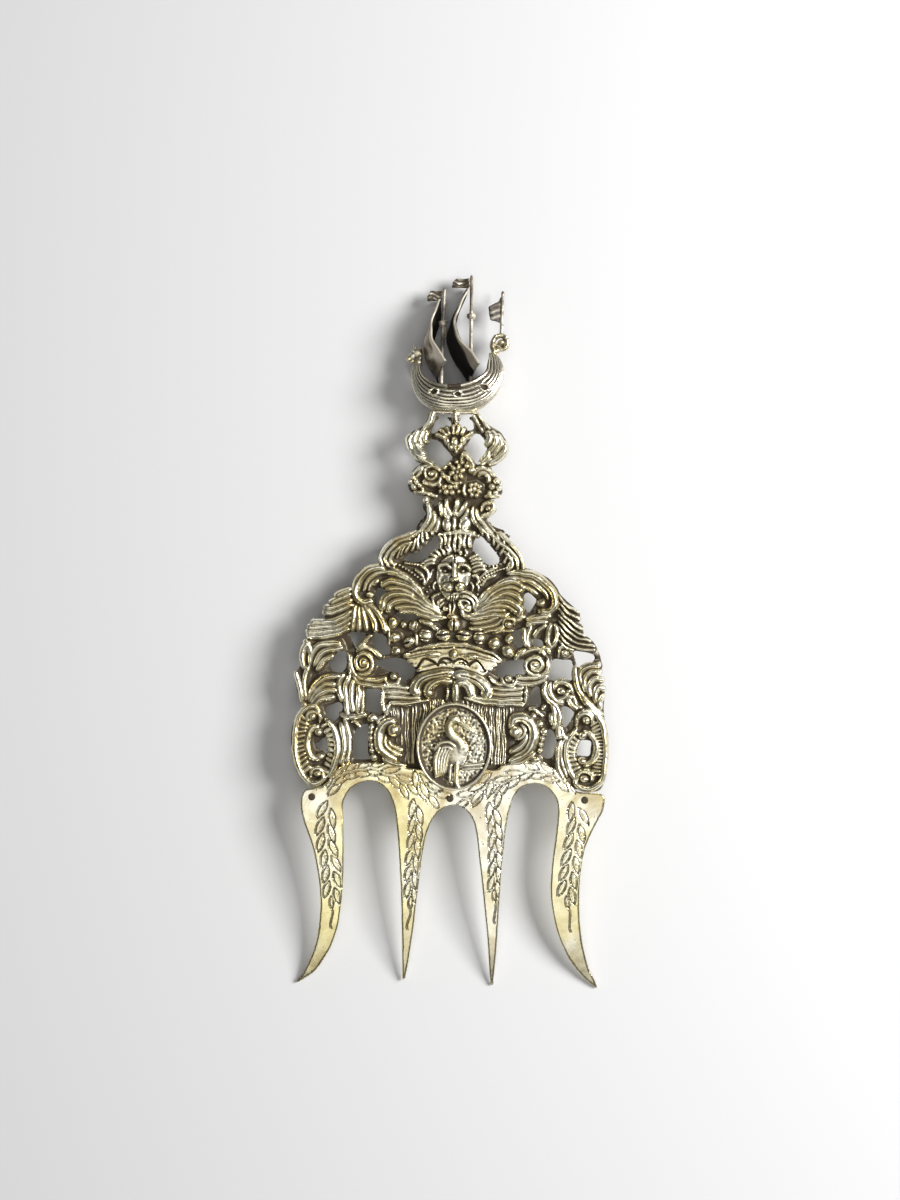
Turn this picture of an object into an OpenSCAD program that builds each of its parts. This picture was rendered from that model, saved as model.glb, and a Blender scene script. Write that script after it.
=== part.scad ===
// Oyster fork: a riveted sheet of four tines on a cast openwork cartouche, with a ship as finial.
// It lies on its back on a table, ornament up: X across, Y from the tips to the mast heads, Z up.

/* [Tines] */
// Length of the tines from the lap with the cartouche to the tips
tine_l = 56.8; // [52:0.2:62]
// Distance that the sheet's shoulders lie inside the sides of the cartouche
shoulder_inset = 1; // [0.4:0.1:2]
// Thickness of the sheet at the roots of the tines
sheet_t = 1.6; // [1.2:0.1:2]
// Thickness of the sheet at the tips
tip_t = 1; // [0.8:0.1:1.2]
// Height that the tips drop below the back of the cartouche
tip_drop = 8.2; // [7:0.2:10]
// Diameter of the rivet shanks
rivet_d = 1.4; // [1.2:0.1:1.6]
// Diameter of the rivet heads
rivet_head_d = 2.4; // [2.2:0.1:2.8]
// Height of the rivet heads
rivet_head_h = 0.7; // [0.5:0.1:1]

/* [Cartouche] */
// Width of the cast cartouche
shield_w = 88.6; // [84:0.2:94]
// Height of the cartouche from the lap with the sheet to the seam with the neck
shield_h = 72; // [66:0.5:78]
// Thickness of the pierced ground
ground_t = 1.2; // [1:0.1:1.6]
// Height of the boldest scrolls above the ground
relief_h = 2.8; // [2:0.1:3.4]
// Height of the lion mask above the ground
mask_h = 5.6; // [4:0.1:6.5]

/* [Medallion] */
// Width of the oval plaque as a share of the cartouche's width
plaque_w_share = 0.237; // [0.225:0.001:0.244]
// Height of the oval plaque as a share of the cartouche's height
plaque_h_share = 0.339; // [0.32:0.001:0.347]
// Thickness of the plaque
plaque_t = 1.1; // [0.8:0.1:1.5]
// Height of the plaque's rim above its field
rim_h = 0.8; // [0.5:0.1:1.2]
// Width of the plaque's rim
rim_w = 1.5; // [1.2:0.1:1.8]
// Height of the stork above the field
stork_h = 1.5; // [1:0.1:2]

/* [Neck] */
// Width of the neck over its arms
neck_w = 28.2; // [26:0.2:31]
// Height of the neck from the seam to the top of its arms
neck_h = 33; // [30:0.5:36]
// Height of the neck's ornament above the ground
neck_relief_h = 2.8; // [2:0.1:3.4]

/* [Ship] */
// Length of the hull over stem and stern
hull_l = 25.4; // [23:0.2:28]
// Breadth of the hull
hull_b = 15.6; // [13:0.2:16]
// Height of the ship from the keel to the mast head
ship_h = 39.4; // [36:0.2:43]
// Angle that the ship leans back
ship_lean = 8; // [5:0.5:9]
// Height of the bar under the keel
bracket_h = 1; // [0.8:0.1:1.4]
// Depth of the bar under the keel, front to back
bracket_d = 3; // [2:0.1:4]
// Diameter of the masts at the deck
mast_d = 1.2; // [1:0.1:1.5]
// Diameter of the masts at the top
mast_top_d = 0.9; // [0.7:0.1:1]
// Diameter of the fighting tops on the masts
top_d = 2.7; // [2.2:0.1:3]
// Thickness of the sails
sail_t = 0.7; // [0.5:0.1:0.9]
// Thickness of the flags
flag_t = 0.6; // [0.4:0.1:0.8]

/* [Fits] */
// Gap between parts that are soldered or riveted side by side
seat_gap = 0.1; // [0.05:0.05:0.2]

/* [Hidden] */
$fn = 48;

gilt = [0.80, 0.74, 0.55];
pale_gilt = [0.86, 0.82, 0.68];
old_silver = [0.55, 0.50, 0.44];
dark_silver = [0.42, 0.38, 0.33];

// Rows and columns of the layout grid: row 0 is near the middle of the cartouche, column 0 its axis
tip_row_share = -99.3;
bend_row_share = -50;
lap_row_share = -44;
seam_row_share = 28;
neck_row_share = 61;
keel_row_share = 62;
mast_row_share = 101;
shield_cols = 88.6;
sheet_cols = 86.6;
neck_cols = 28.2;
ship_cols = 25.4;

// Where the main pieces meet along the fork
overall_l = tine_l + shield_h + neck_h + bracket_h + ship_h * cos(ship_lean);
tip_y = -overall_l / 2;
lap_y = tip_y + tine_l;
seam_y = lap_y + shield_h;
keel_y = seam_y + neck_h + bracket_h;
ship_z = ground_t;
rest_z = tip_drop;

// The sheet and the plaque follow the cartouche that they are fixed to
sheet_w = shield_w - 2 * shoulder_inset;
plaque_w = plaque_w_share * shield_w;
plaque_h = plaque_h_share * shield_h;

// Each grid is [width of a column, height of a row, y of row 0]
shield_row_h = shield_h / (seam_row_share - lap_row_share);
shield_grid = [shield_w / shield_cols, shield_row_h, lap_y - lap_row_share * shield_row_h];
sheet_row_h = tine_l / (lap_row_share - tip_row_share);
sheet_grid = [sheet_w / sheet_cols, sheet_row_h, lap_y - lap_row_share * sheet_row_h];
neck_row_h = neck_h / (neck_row_share - seam_row_share);
neck_grid = [neck_w / neck_cols, neck_row_h, seam_y - seam_row_share * neck_row_h];
ship_row_h = ship_h / (mast_row_share - keel_row_share);
ship_grid = [hull_l / ship_cols, ship_row_h, -keel_row_share * ship_row_h];

// How a stroke of ornament is shaped: width left at its ends, flat share of its crest, steps per span
end_share = 0.35;
crest_share = 0.35;
span_steps = 1.6;
sail_steps = 2;
// Sides of a large and a small bead, of a porthole, and of the balls that are hulled into heads
bead_sides = 8;
small_bead_sides = 6;
small_bead_share = 1.05;
porthole_sides = 8;
ball_sides = 8;
// Rings of a bead as shares of its radius and height, from its foot up
dome_ring_shares = [[1, 0], [0.8, 0.6], [0.3, 1]];
// Heights of a bead and a tooth as shares of their radius
bead_rise_share = 1.1;
tooth_rise_share = 1.2;

// Outline of the sheet with its four tines, clockwise from the left shoulder
sheet_shares = [
    [-41.6, -47.5], [-41.3, -46], [-40.3, -44.5], [-37, -43.9], [-35.5, -43.5], [-34, -42],
    [-32.5, -40], [-30.5, -38], [-28, -36.8], [-13, -36.9], [-10.5, -38.2], [11.5, -38.2],
    [15, -36.7], [25, -35.6], [27.5, -36.6], [30, -38.3], [32.5, -40.5], [34.5, -42.8],
    [36, -44], [40, -44.3], [42.3, -44.5], [43.4, -45.4], [43.3, -47.5],
    [42.8, -49.5], [41.2, -52.5], [39.5, -56], [38, -60], [37.2, -65], [36.9, -70],
    [37, -76], [37.4, -81], [38.2, -86], [39.2, -90], [40.5, -94], [42.3, -97.5],
    [42.7, -99.3], [40, -97.3], [37.5, -94.8], [35, -91.5], [32.8, -87.5], [31, -83],
    [29.7, -78], [28.9, -73], [28.8, -68], [29.2, -62], [29.8, -57], [30.3, -52],
    [30.4, -49], [30, -46.6], [29, -44.8], [27, -42.8], [24.5, -41.9], [22, -42.2], [19.8, -43.3],
    [18.2, -45.5], [17.3, -48], [16.5, -51], [15.8, -56], [15.2, -62], [14.8, -68],
    [14.5, -75], [14, -88], [13.6, -94], [13.2, -98.5], [12.8, -98.9], [12.2, -96],
    [11.8, -91], [11.3, -85], [10.6, -79], [9.3, -68], [8.6, -63], [8, -58],
    [7.5, -55], [6.8, -52.5], [5.5, -50.3], [3.5, -48.7], [1.5, -48.2], [0, -48.4],
    [-2.2, -49.3], [-3.8, -51], [-5, -53], [-6.2, -56], [-7, -60], [-7.7, -65],
    [-8.9, -76], [-9.5, -82], [-10.3, -88], [-11, -93], [-11.8, -97], [-12.4, -97.7],
    [-12.6, -96], [-12.8, -85], [-13.2, -72], [-13.6, -66], [-14, -60], [-14.5, -55],
    [-15.3, -49.5], [-16.3, -46.5], [-17.5, -44.3], [-19.5, -42.5], [-22, -41.8], [-24.5, -42.2],
    [-27, -43.5], [-28.5, -45.3], [-29.5, -47.5], [-29.7, -50], [-29.5, -54], [-29.3, -60],
    [-29.3, -66], [-29.6, -72], [-30.1, -77], [-30.7, -81.5], [-31.7, -85], [-33, -88.5],
    [-35.3, -92.5], [-37.5, -95.5], [-40.5, -97.8], [-43, -99.1], [-41.5, -97.3], [-40.3, -95.3],
    [-39, -92.5], [-37.8, -89.5], [-36.8, -86], [-36.2, -82], [-35.8, -77], [-35.9, -73],
    [-36.3, -69], [-37, -65], [-37.7, -61.5], [-38.8, -58], [-40, -55], [-41, -52], [-41.5, -49.5]
];
rivet_shares = [[0.2, -46.3], [37.8, -46.2], [-38.4, -46.4]];
rivet_tab_share = 1.7;
rivet_tab_reach_share = 5;

// Lobed outline of the cartouche's ground, clockwise from the lower left corner
shield_shares = [
    [-37, -43.6], [-40, -42.5], [-42.5, -39], [-43.8, -35], [-44.3, -31.5], [-43.8, -27],
    [-42.8, -23.5], [-41.5, -21.5], [-41.8, -19], [-42, -16], [-43.3, -14], [-44, -12],
    [-42.8, -10.8], [-42, -9], [-42.2, -6], [-41.5, -4.5], [-40, -3], [-40.5, -2], [-40.3, 0.5],
    [-39, 2.5], [-37.5, 2.8], [-35.5, 3], [-35.8, 5.5], [-33.8, 7.5], [-33, 9.5], [-30.5, 11.5],
    [-28.3, 12.8], [-27.3, 14.5], [-26, 16.5], [-24, 17.5], [-20.5, 18.8], [-20.5, 21.5],
    [-19.5, 23.5], [-18, 25], [-16, 26], [-13.5, 27], [-11.8, 27.3], [-11, 28], [13.5, 28],
    [15.5, 26], [17.5, 24], [18.5, 22], [19.3, 20], [20, 18.3], [23, 17.3], [25.5, 16.3],
    [27.5, 15], [29.3, 12.8], [30.3, 11], [33, 8.5], [35.3, 6.5], [35.8, 5.5], [35.6, 3.3],
    [36.6, 2.5], [37, 0], [38.5, -1], [40, -2.5], [40.8, -4], [41.5, -5.5], [42, -7.5],
    [42.3, -9], [41.5, -10.5], [40.3, -12], [42, -13.5], [42.9, -15], [43, -17], [42.8, -20],
    [43, -23], [43.5, -26], [44, -29], [44.3, -33], [44, -37], [43.5, -40], [42.3, -43.3],
    [39.5, -44], [37, -43.5], [34, -43], [31, -41], [24, -39.8], [16, -41], [10, -43.5],
    [-10, -43.5], [-14, -41], [-22, -39.8], [-30, -41], [-33, -42.6]
];
shield_hole_shares = [
    [[-21, 11.8], [-19.5, 12], [-17.3, 10.5], [-18.5, 9], [-19.5, 7.5], [-20.3, 5.5], [-21, 7],
     [-21.5, 9]],
    [[-15.8, 5], [-14, 5.6], [-11, 5.5], [-9.5, 5], [-9, 4], [-11, 3.3], [-13, 3.2], [-14.5, 3.8]],
    [[-28.5, -0.5], [-26, -0.3], [-24.3, -0.8], [-24, -2], [-25, -3.5], [-26, -4.8], [-27, -4.5],
     [-28, -2.5]],
    [[-22, -1], [-20, -0.7], [-18, -2], [-17.2, -4], [-17, -6], [-18.5, -6.7], [-20.5, -6.7],
     [-21.5, -5.5]],
    [[-21.5, -9], [-20, -8], [-17, -7.4], [-14, -7.5], [-12, -8.5], [-10, -10.8], [-12.5, -13.8],
     [-13.8, -14.3], [-14.5, -12], [-15.5, -11.3], [-17, -11.3], [-19, -10.5]],
    [[-33.8, -8.3], [-32, -6.3], [-31, -5.2], [-29.7, -5.5], [-29.2, -7], [-29.3, -9.5], [-30, -11],
     [-31.3, -12], [-32.5, -11.7], [-34.5, -9.5]],
    [[-23.5, -16.3], [-22, -16], [-19.8, -16.3], [-19.2, -18], [-19, -20.5], [-19.2, -22.8],
     [-21, -22.9], [-24, -22], [-24, -19.5]],
    [[-34.8, -21.5], [-33, -20.6], [-31.5, -20], [-30.5, -20.5], [-30.3, -22], [-32, -25],
     [-33.5, -25.3], [-34.7, -24]],
    [[-25.5, -26.3], [-24, -26], [-22.8, -26.3], [-22.8, -29], [-23, -32], [-22.8, -34.5], [-22, -35.6],
     [-23.5, -36], [-25.5, -36], [-27, -35.6], [-27.3, -30.5], [-26.7, -28.5]],
    [[-38, -32.3], [-36.5, -31], [-35, -29.8], [-34, -30.5], [-33.7, -32], [-33.8, -34], [-34.5, -35],
     [-35.5, -33.8]],
    [[20, 10.5], [21, 11.4], [22, 11], [23.5, 9.5], [23, 8], [21.7, 6], [20.8, 6.5], [20, 8]],
    [[22.8, -1.5], [24, -1.5], [25.3, -2], [25.7, -3.5], [25, -4.8], [24, -4.8], [23, -4]],
    [[17, 0.3], [18.5, 1], [19.9, 1.3], [20.1, -1], [20, -3.5], [18.5, -4], [17.7, -3], [16.8, -2]],
    [[12.5, -9.8], [15, -8], [18, -7.5], [20.5, -7.3], [21.2, -8.5], [21, -10.5], [20.3, -11.7],
     [18, -12.3], [16.8, -11.8], [15, -12.8], [14, -12.8], [12.8, -11.5]],
    [[28, -8], [29, -7], [31, -7.2], [33.5, -7.3], [34.1, -9], [34.1, -11.5], [33.5, -13], [27.8, -13],
     [27.3, -11.5], [27.5, -9.5]],
    [[34.2, -5], [36, -4.8], [38.5, -5.2], [40, -6], [40, -7.2], [38.5, -8.3], [36.5, -9], [35.2, -9]],
    [[23.5, -15], [24.7, -15], [25, -16.5], [25.3, -19.7], [24, -20], [22.3, -19.8], [21.3, -18.5],
     [22, -17]],
    [[31, -20.6], [32.5, -20.3], [34, -21.3], [34.6, -22.3], [33.8, -24], [32.5, -26], [31.7, -26],
     [31.2, -24]],
    [[27.3, -27], [28.7, -27.2], [29.5, -29], [30, -31], [29.3, -33], [28.7, -34.6], [27.6, -35],
     [26.5, -34.8], [25.5, -33.8], [26.2, -31.5]],
    [[35.5, -30], [39.2, -29.8], [39.4, -32], [39, -34], [36.5, -34], [35.5, -33.5]],
    [[-5, 27.2], [-3.8, 25], [-4, 23.5], [-5.2, 22.5], [-6.5, 21.3], [-8, 20], [-10, 19.5],
     [-12, 19.6], [-13.8, 20.2], [-12, 21.8], [-10, 22.2], [-8.8, 23], [-7.5, 24.5], [-6, 26]],
    [[7.3, 27.2], [6.3, 26.5], [5.7, 25], [5.5, 23.5], [6.5, 22], [8.8, 19.7], [10.5, 19],
     [12.3, 19.2], [13, 20], [12.8, 21.3], [11.8, 22.8], [10.5, 24.3], [8.2, 26.8]]
];

// Outline of the neck's ground, clockwise from the seam
neck_shares = [
    [-11, 28], [-10.5, 28.5], [-10, 30], [-9, 31.5], [-7.7, 33], [-8.5, 34.5], [-8.7, 36.5],
    [-8, 37.7], [-6.5, 38.2], [-8, 38.7], [-10.5, 39], [-12, 39.2], [-12.8, 40.5], [-12.8, 41.8],
    [-11.5, 43.3], [-11.2, 44.5], [-10.5, 45.5], [-9, 46.5], [-9.8, 47.8], [-11, 49.3], [-12.3, 50.7],
    [-13, 52], [-13.4, 53.5], [-12.8, 55], [-11.5, 56.3], [-9.8, 57], [-8.3, 58.5], [-7.6, 60.3],
    [-7.4, 61], [-5.5, 61], [-4.8, 60.4], [-1.2, 60.2], [-1, 60], [1.4, 60], [1.6, 60.2], [4.6, 60.4],
    [5, 61], [6.7, 61], [7.5, 59.8],
    [9, 58.5], [10.5, 57.6], [12.5, 56.5], [13.8, 54.8], [14.8, 53], [14.8, 51], [14, 49.3],
    [12.8, 48], [11.5, 47], [10, 46.3], [11, 44.5], [12.5, 43], [13.3, 41.5], [13.6, 39.5],
    [13, 38.6], [11, 38.2], [10.2, 37.6], [11.3, 36.2], [11.7, 35], [11, 33.5], [9.3, 32.2],
    [10.3, 31], [11.5, 29.8], [13.5, 28]
];
neck_hole_shares = [
    [[-6.6, 56], [-5.5, 58.8], [-4.5, 59.9], [-3, 60], [-1.8, 59.7], [-1, 58.5], [-1.1, 57.6], [-2.5, 57.5],
     [-4, 57], [-5, 56], [-6, 55.6]],
    [[1.3, 57.5], [1.2, 59], [2, 60], [3.8, 60], [4.8, 59.3], [5.3, 58], [5.2, 57], [4, 56.5], [2.5, 56.8]],
    [[-8.3, 53], [-7.5, 53.8], [-6, 54], [-4.5, 53.5], [-3, 52], [-1.5, 50.3], [-0.5, 49], [-1.3, 48],
     [-3, 45.8], [-3.8, 45.2], [-5, 46.3], [-6.5, 47.8], [-7.7, 49], [-8.5, 51]],
    [[6, 55.8], [5, 55], [4, 53.5], [3.2, 51.5], [3.5, 50.3], [4.5, 49], [5.5, 47.8], [6.7, 47],
     [7.8, 47.8], [8.7, 49], [9.2, 50.5], [8.9, 52.5], [8.3, 54], [7.3, 55.3]],
    [[-5.1, 37.5], [-4.3, 36.4], [-5.1, 35.3], [-5.9, 36.4]]
];

// Tables of ornament. A stroke is [width, height, centre line], widths in columns, heights as shares
// of the relief. A bead is [column, row, radius] or [column, row, half width, half height].
// A row of teeth is [count, size, line].
left_c_stroke_shares = [
    [2, 1, [[-36, -21.8], [-39, -21.4], [-41.6, -23.6], [-43, -27], [-43.2, -31.5], [-42.8, -36]]],
    [2, 1, [[-42.8, -36], [-41.3, -39.8], [-39, -42], [-36.6, -42.2], [-35.2, -40.8]]],
    [1.7, 0.8, [[-34.5, -25], [-32.3, -27.5], [-31.3, -31], [-31.4, -34.5], [-32.5, -38], [-34, -40.5]]],
    [1.7, 0.8, [[-36, -27.5], [-39, -27.5], [-40.3, -30], [-40.4, -33], [-39.5, -35.5], [-37.5, -36.3],
                [-35.8, -35.5]]]
];
left_c_bead_shares = [[-38.3, -23.9, 1.5], [-37, -39.8, 1.1], [-37, -28.9, 1.4]];
left_c_tooth_shares = [
    [14, 0.5, [[-39.5, -25.6], [-41.4, -28.6], [-41.7, -32], [-41.3, -35.5], [-39.4, -38.6]]],
    [12, 0.5, [[-34.8, -27.6], [-33.2, -30], [-32.8, -33], [-33.4, -36], [-34.8, -38.8]]]
];
right_c_stroke_shares = [
    [2, 1, [[35.5, -22.2], [38, -21.4], [41.2, -22.7], [42.6, -26], [43, -31]]],
    [2, 1, [[43, -31], [42.8, -36], [42.4, -39.8], [40.8, -42.6], [38, -43], [35.6, -42]]],
    [1.7, 0.8, [[38, -26.5], [40.3, -28.5], [41, -31.5], [40.6, -34.5], [39.3, -36.5], [37.3, -37.2],
                [35.8, -35.7]]],
    [1.7, 0.8, [[35, -26.6], [33, -29.5], [32.4, -33], [33.2, -37], [34.8, -39.5]]]
];
right_c_bead_shares = [[38, -23.8, 1.6], [37.2, -28.6, 1.3], [38, -40.3, 1.3]];
right_c_tooth_shares = [
    [14, 0.5, [[40.2, -25.4], [41.4, -28], [41.9, -31.5], [41.7, -35], [41, -38.6]]],
    [12, 0.5, [[35.6, -28.4], [34.4, -31], [34, -34], [34.8, -37.4]]]
];
left_spray_stroke_shares = [
    [1.4, 0.7, [[-40.6, -19], [-41.6, -16.5], [-42.6, -14.2], [-43.1, -12.2]]],
    [1.5, 0.8, [[-40.4, -17], [-41.2, -12], [-41.5, -8], [-40.6, -4.8], [-39.2, -4.2]]],
    [1.6, 0.9, [[-40, -15], [-39.4, -10], [-38.4, -6.6], [-35.6, -4.4], [-32, -3.4]]],
    [1.5, 0.7, [[-39.4, -12], [-37.6, -9], [-35.4, -7], [-33.5, -5.4]]],
    [1.4, 0.7, [[-39.5, -16.4], [-37.5, -13.8], [-35, -12.6], [-32.8, -12.8]]],
    [1.4, 0.7, [[-39.5, -18], [-37, -15.9], [-34.5, -14.9], [-32.4, -15.6]]],
    [1.4, 0.7, [[-39.4, -19.6], [-36.5, -18.2], [-33.8, -17.4], [-31.8, -18.2]]],
    [1.3, 0.6, [[-28.4, -7], [-28, -11], [-26.8, -14], [-25.4, -17], [-24.8, -20], [-25, -23]]],
    [1.3, 0.6, [[-30.4, -13], [-29, -15.5], [-28.8, -18], [-29.4, -20.6]]],
    [1.2, 0.6, [[-29.4, -23.6], [-27, -24], [-24.4, -24.2]]],
    [1.2, 0.6, [[-30.2, -25], [-29, -28], [-28.8, -31], [-28.6, -35]]]
];
left_spray_bead_shares = [[-30.3, -28.4, 0.7], [-27, -21.4, 0.9]];
right_spray_stroke_shares = [
    [1.5, 0.9, [[34.8, -12.4], [35.2, -14], [36.4, -16.6], [38.6, -19.4], [41.6, -21.2]]],
    [1.5, 0.8, [[36.6, -14.8], [36.6, -11.2], [38.4, -9.6], [41.2, -8.6]]],
    [1.4, 0.7, [[38, -16.6], [38, -13], [39.6, -11.2], [41, -10.2]]],
    [1.4, 0.7, [[39.6, -18.6], [39.7, -15.6], [41, -14.2], [42.2, -14.6]]],
    [1.3, 0.7, [[41, -19.8], [41.4, -17.4], [42.4, -16.4]]],
    [1.3, 0.8, [[29, -14.2], [31.5, -13.7], [33.4, -14.7], [33.5, -17], [31.6, -18.6]]],
    [1.3, 0.7, [[26.4, -13.2], [26.6, -16], [28, -18.6], [30.4, -19.8]]],
    [1.3, 0.6, [[30.4, -21], [30.8, -24], [30, -26.4], [30.6, -29]]],
    [1.2, 0.6, [[26, -21], [27.2, -22.6], [28.6, -21.4]]]
];
right_spray_bead_shares = [[30.4, -16.2, 1.4], [27.8, -24.6, 1, 1.7], [31.2, -28.4, 1.1]];
left_fan_stroke_shares = [
    [1.2, 0.7, [[-28.4, 11.6], [-30.4, 10.9], [-32, 9.8]]],
    [1.2, 0.8, [[-28.4, 10.3], [-31, 9], [-33.2, 8]]],
    [1.2, 0.8, [[-28.4, 9], [-31.4, 7.4], [-34.6, 6.4]]],
    [1.3, 0.9, [[-28.4, 7.6], [-31, 5.4], [-35, 4.6]]],
    [1.3, 0.9, [[-28, 6.2], [-31, 3.6], [-34.4, 2.4], [-37.8, 2]]],
    [1.3, 0.8, [[-27.7, 5], [-30.6, 2.1], [-34.4, 0.9], [-39.4, 0.4]]],
    [1.3, 0.8, [[-27.8, 3.6], [-30.4, 0.8], [-34.6, -0.6], [-39.6, -1]]],
    [1.2, 0.7, [[-28.6, 0.4], [-31, -1], [-34.4, -2]]],
    [1.3, 0.9, [[-26.6, 6.4], [-27, 3.6], [-26.6, 0.8]]],
    [1.3, 0.9, [[-25.6, 6.4], [-24.6, 3.4], [-22.8, 0.8]]],
    [1.3, 0.9, [[-25.2, 6.8], [-22.4, 4.2], [-20, 0.8]]]
];
left_fan_bead_shares = [[-37.4, -3, 0.9]];
right_fan_stroke_shares = [
    [1.2, 0.7, [[29.9, 10.2], [31.8, 8.6], [34.4, 6.8]]],
    [1.2, 0.8, [[30, 8.8], [32.4, 6.6], [35.2, 5.2]]],
    [1.2, 0.8, [[30, 7.3], [32.6, 4.8], [35.6, 3.4]]],
    [1.3, 0.9, [[30, 5.8], [32.8, 3], [36.3, 1.8]]],
    [1.3, 0.9, [[30, 4.3], [32.8, 1.5], [36.4, 0.2]]],
    [1.3, 0.8, [[30, 2.9], [33, 0], [36.4, -1.2], [39.2, -2.4]]],
    [1.3, 0.8, [[30.2, 1.4], [32.6, -1.6], [36, -3.2], [39.6, -4.2]]],
    [1.3, 0.9, [[27.4, 2.6], [27, -0.4], [27.6, -3]]],
    [1.3, 0.9, [[28.7, 2.4], [29.3, -0.6], [28.6, -4]]],
    [1.3, 0.8, [[26, 4.6], [23.6, 4.4], [21.4, 3.6]]],
    [1.3, 0.8, [[25.4, 3.6], [23, 2.2], [21.4, 0.2]]]
];
right_fan_bead_shares = [[32, -5.4, 1.5]];
left_volute_stroke_shares = [
    [2, 1, [[-19.8, 17.4], [-23.4, 16.7], [-26, 14.4], [-26.8, 11.5], [-26.2, 9.2], [-24.4, 8]]],
    [1.4, 0.8, [[-15, 16.4], [-19, 16.2], [-22.4, 15.2], [-24.6, 13], [-24.4, 11]]],
    [1.4, 0.9, [[-5, 8.6], [-9.6, 11.6], [-14, 13.6], [-17.6, 14.2], [-19.6, 13.6]]],
    [1.4, 0.9, [[-5, 7.2], [-9.4, 10.2], [-13.4, 11.9], [-16.6, 12.2], [-18.6, 11.6]]],
    [1.4, 0.9, [[-4, 5.8], [-9, 8.8], [-13, 10.3], [-16.2, 9.8], [-18.6, 7.6]]],
    [1.4, 0.9, [[-3, 4.9], [-8, 7.4], [-12, 8.6], [-15, 7.8], [-17.4, 6.2]]],
    [1.4, 0.9, [[-1.4, 4.2], [-6, 5.4], [-10, 6.7], [-14.6, 6.8]]]
];
left_volute_bead_shares = [[-22.4, 13.2, 1], [-24, 9.9, 1.2], [-22.6, 7.4, 0.9]];
right_volute_stroke_shares = [
    [2, 1, [[19.6, 16.9], [23, 16.4], [26.2, 14], [28.3, 11.2], [28.4, 8], [26.8, 6.4]]],
    [1.4, 0.8, [[16, 15.6], [20, 15.2], [24, 13.4], [26.2, 10.8], [26, 8.6]]],
    [1.4, 0.9, [[4.6, 7.4], [8.8, 10.8], [13, 13], [17, 13.6], [19.4, 12.5]]],
    [1.4, 0.9, [[5, 6.2], [9.4, 9.4], [13.6, 11.2], [17, 10.6], [19.2, 8.6]]],
    [1.4, 0.9, [[4.6, 5], [9, 7.6], [13.2, 9], [16.6, 7.8], [18.6, 6]]],
    [1.4, 0.9, [[3, 4.2], [7.6, 5.8], [12, 6.8], [16, 6]]]
];
right_volute_bead_shares = [[25, 7.8, 1.2], [23.8, 11.8, 1]];
left_horn_stroke_shares = [
    [1.6, 1, [[-9.6, 27], [-14.4, 25.8], [-18.2, 23.6], [-19.6, 20.8], [-18.4, 18.6]]],
    [1.5, 0.9, [[-8.4, 27.2], [-11.4, 24.6], [-15, 23.6], [-17.6, 21.6], [-17.4, 19.6]]],
    [1.3, 0.8, [[-17.6, 18.6], [-13, 18], [-9.4, 17.2], [-7.6, 15.6], [-7.6, 13.6]]]
];
left_horn_bead_shares = [[-15.8, 21.6, 0.8], [-14.4, 19.2, 0.7]];
right_horn_stroke_shares = [
    [1.6, 1, [[12.6, 27.4], [15.6, 25], [18, 22], [18.6, 19.2], [17, 17.4]]],
    [1.5, 0.9, [[10.6, 27], [13.6, 23.6], [15.8, 21], [15.6, 18.6]]],
    [1.3, 0.8, [[14.8, 17.6], [12.4, 17], [9.4, 17.2], [7.6, 15.4], [7.4, 13.6]]]
];
right_horn_bead_shares = [[16.6, 23, 0.7], [17, 20.4, 0.7]];
crown_stroke_shares = [
    [1.1, 0.8, [[-13.4, -5.8], [-7, -4], [0, -3.4], [7, -4.1], [13.6, -6.2]]],
    [1.1, 0.8, [[-9.2, -10.1], [-4.6, -9], [0, -8.6], [4.8, -9.2], [9.4, -10.4]]],
    [0.9, 0.6, [[-12.6, -6.9], [-6.4, -6.2], [0, -5.8], [6.6, -6.4], [12.4, -7.4]]],
    [0.9, 0.6, [[-9, -8.6], [-7.6, -7.6], [-5.6, -8.4]]],
    [0.9, 0.6, [[-2.6, -8], [-0.6, -7], [2.6, -8]]],
    [0.9, 0.6, [[5.6, -8.6], [7.6, -7.7], [9.2, -8.8]]],
    [1.6, 0.9, [[-22.2, -11.4], [-23.6, -12], [-25.6, -11], [-26, -8.6], [-24, -7.4], [-22.6, -8.6]]],
    [1.3, 0.7, [[-25.2, -13.2], [-23, -13.9], [-20, -13.5], [-18, -14]]],
    [1.3, 0.7, [[-17.6, -12.6], [-16.2, -12.9], [-15.2, -13.8], [-16.4, -14.8], [-18.4, -14.9]]],
    [1.6, 0.9, [[21.8, -11.4], [24, -11.6], [25.4, -10], [24.6, -7.8], [22.8, -7.9]]],
    [1.3, 0.7, [[26.2, -12.2], [22, -13.3], [19, -13.2]]],
    [1.3, 0.7, [[17.6, -13.6], [15.4, -14.1], [13, -14.2]]]
];
crown_bead_shares = [
    [-9.4, -5.1, 0.9, 0.6], [-4.2, -4.8, 1, 0.7], [1, -7, 0.7], [5.8, -5.4, 1.4, 0.7],
    [10.6, -6.3, 0.9, 0.6]
];
pearl_shares = [
    [-15.2, -5.4, 1.3], [-15.7, -2, 1.7], [-12.2, -3, 1.3], [-7, -1.1, 1.8], [-2.2, -0.5, 2, 1.3],
    [3.3, -0.7, 2, 1.4], [0.8, 2.1, 1.5], [8, -1.2, 1.8], [12.1, -2.6, 1.7], [16.1, -5, 1.9, 1.5],
    [-13.3, 2, 0.9], [-16.8, 2.2, 1.3, 1.6], [-11, 1.4, 1.2, 1.6]
];
pearl_stroke_shares = [
    [1.3, 0.7, [[5.4, 1.6], [9, 2.2], [12.6, 3.6], [16, 3.9]]],
    [1.2, 0.6, [[9.6, 1.2], [13, 1.7], [15.6, 2.6]]],
    [1.2, 0.6, [[-8.6, 3.2], [-6.4, 2.2], [-4.4, 1.6]]]
];
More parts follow.
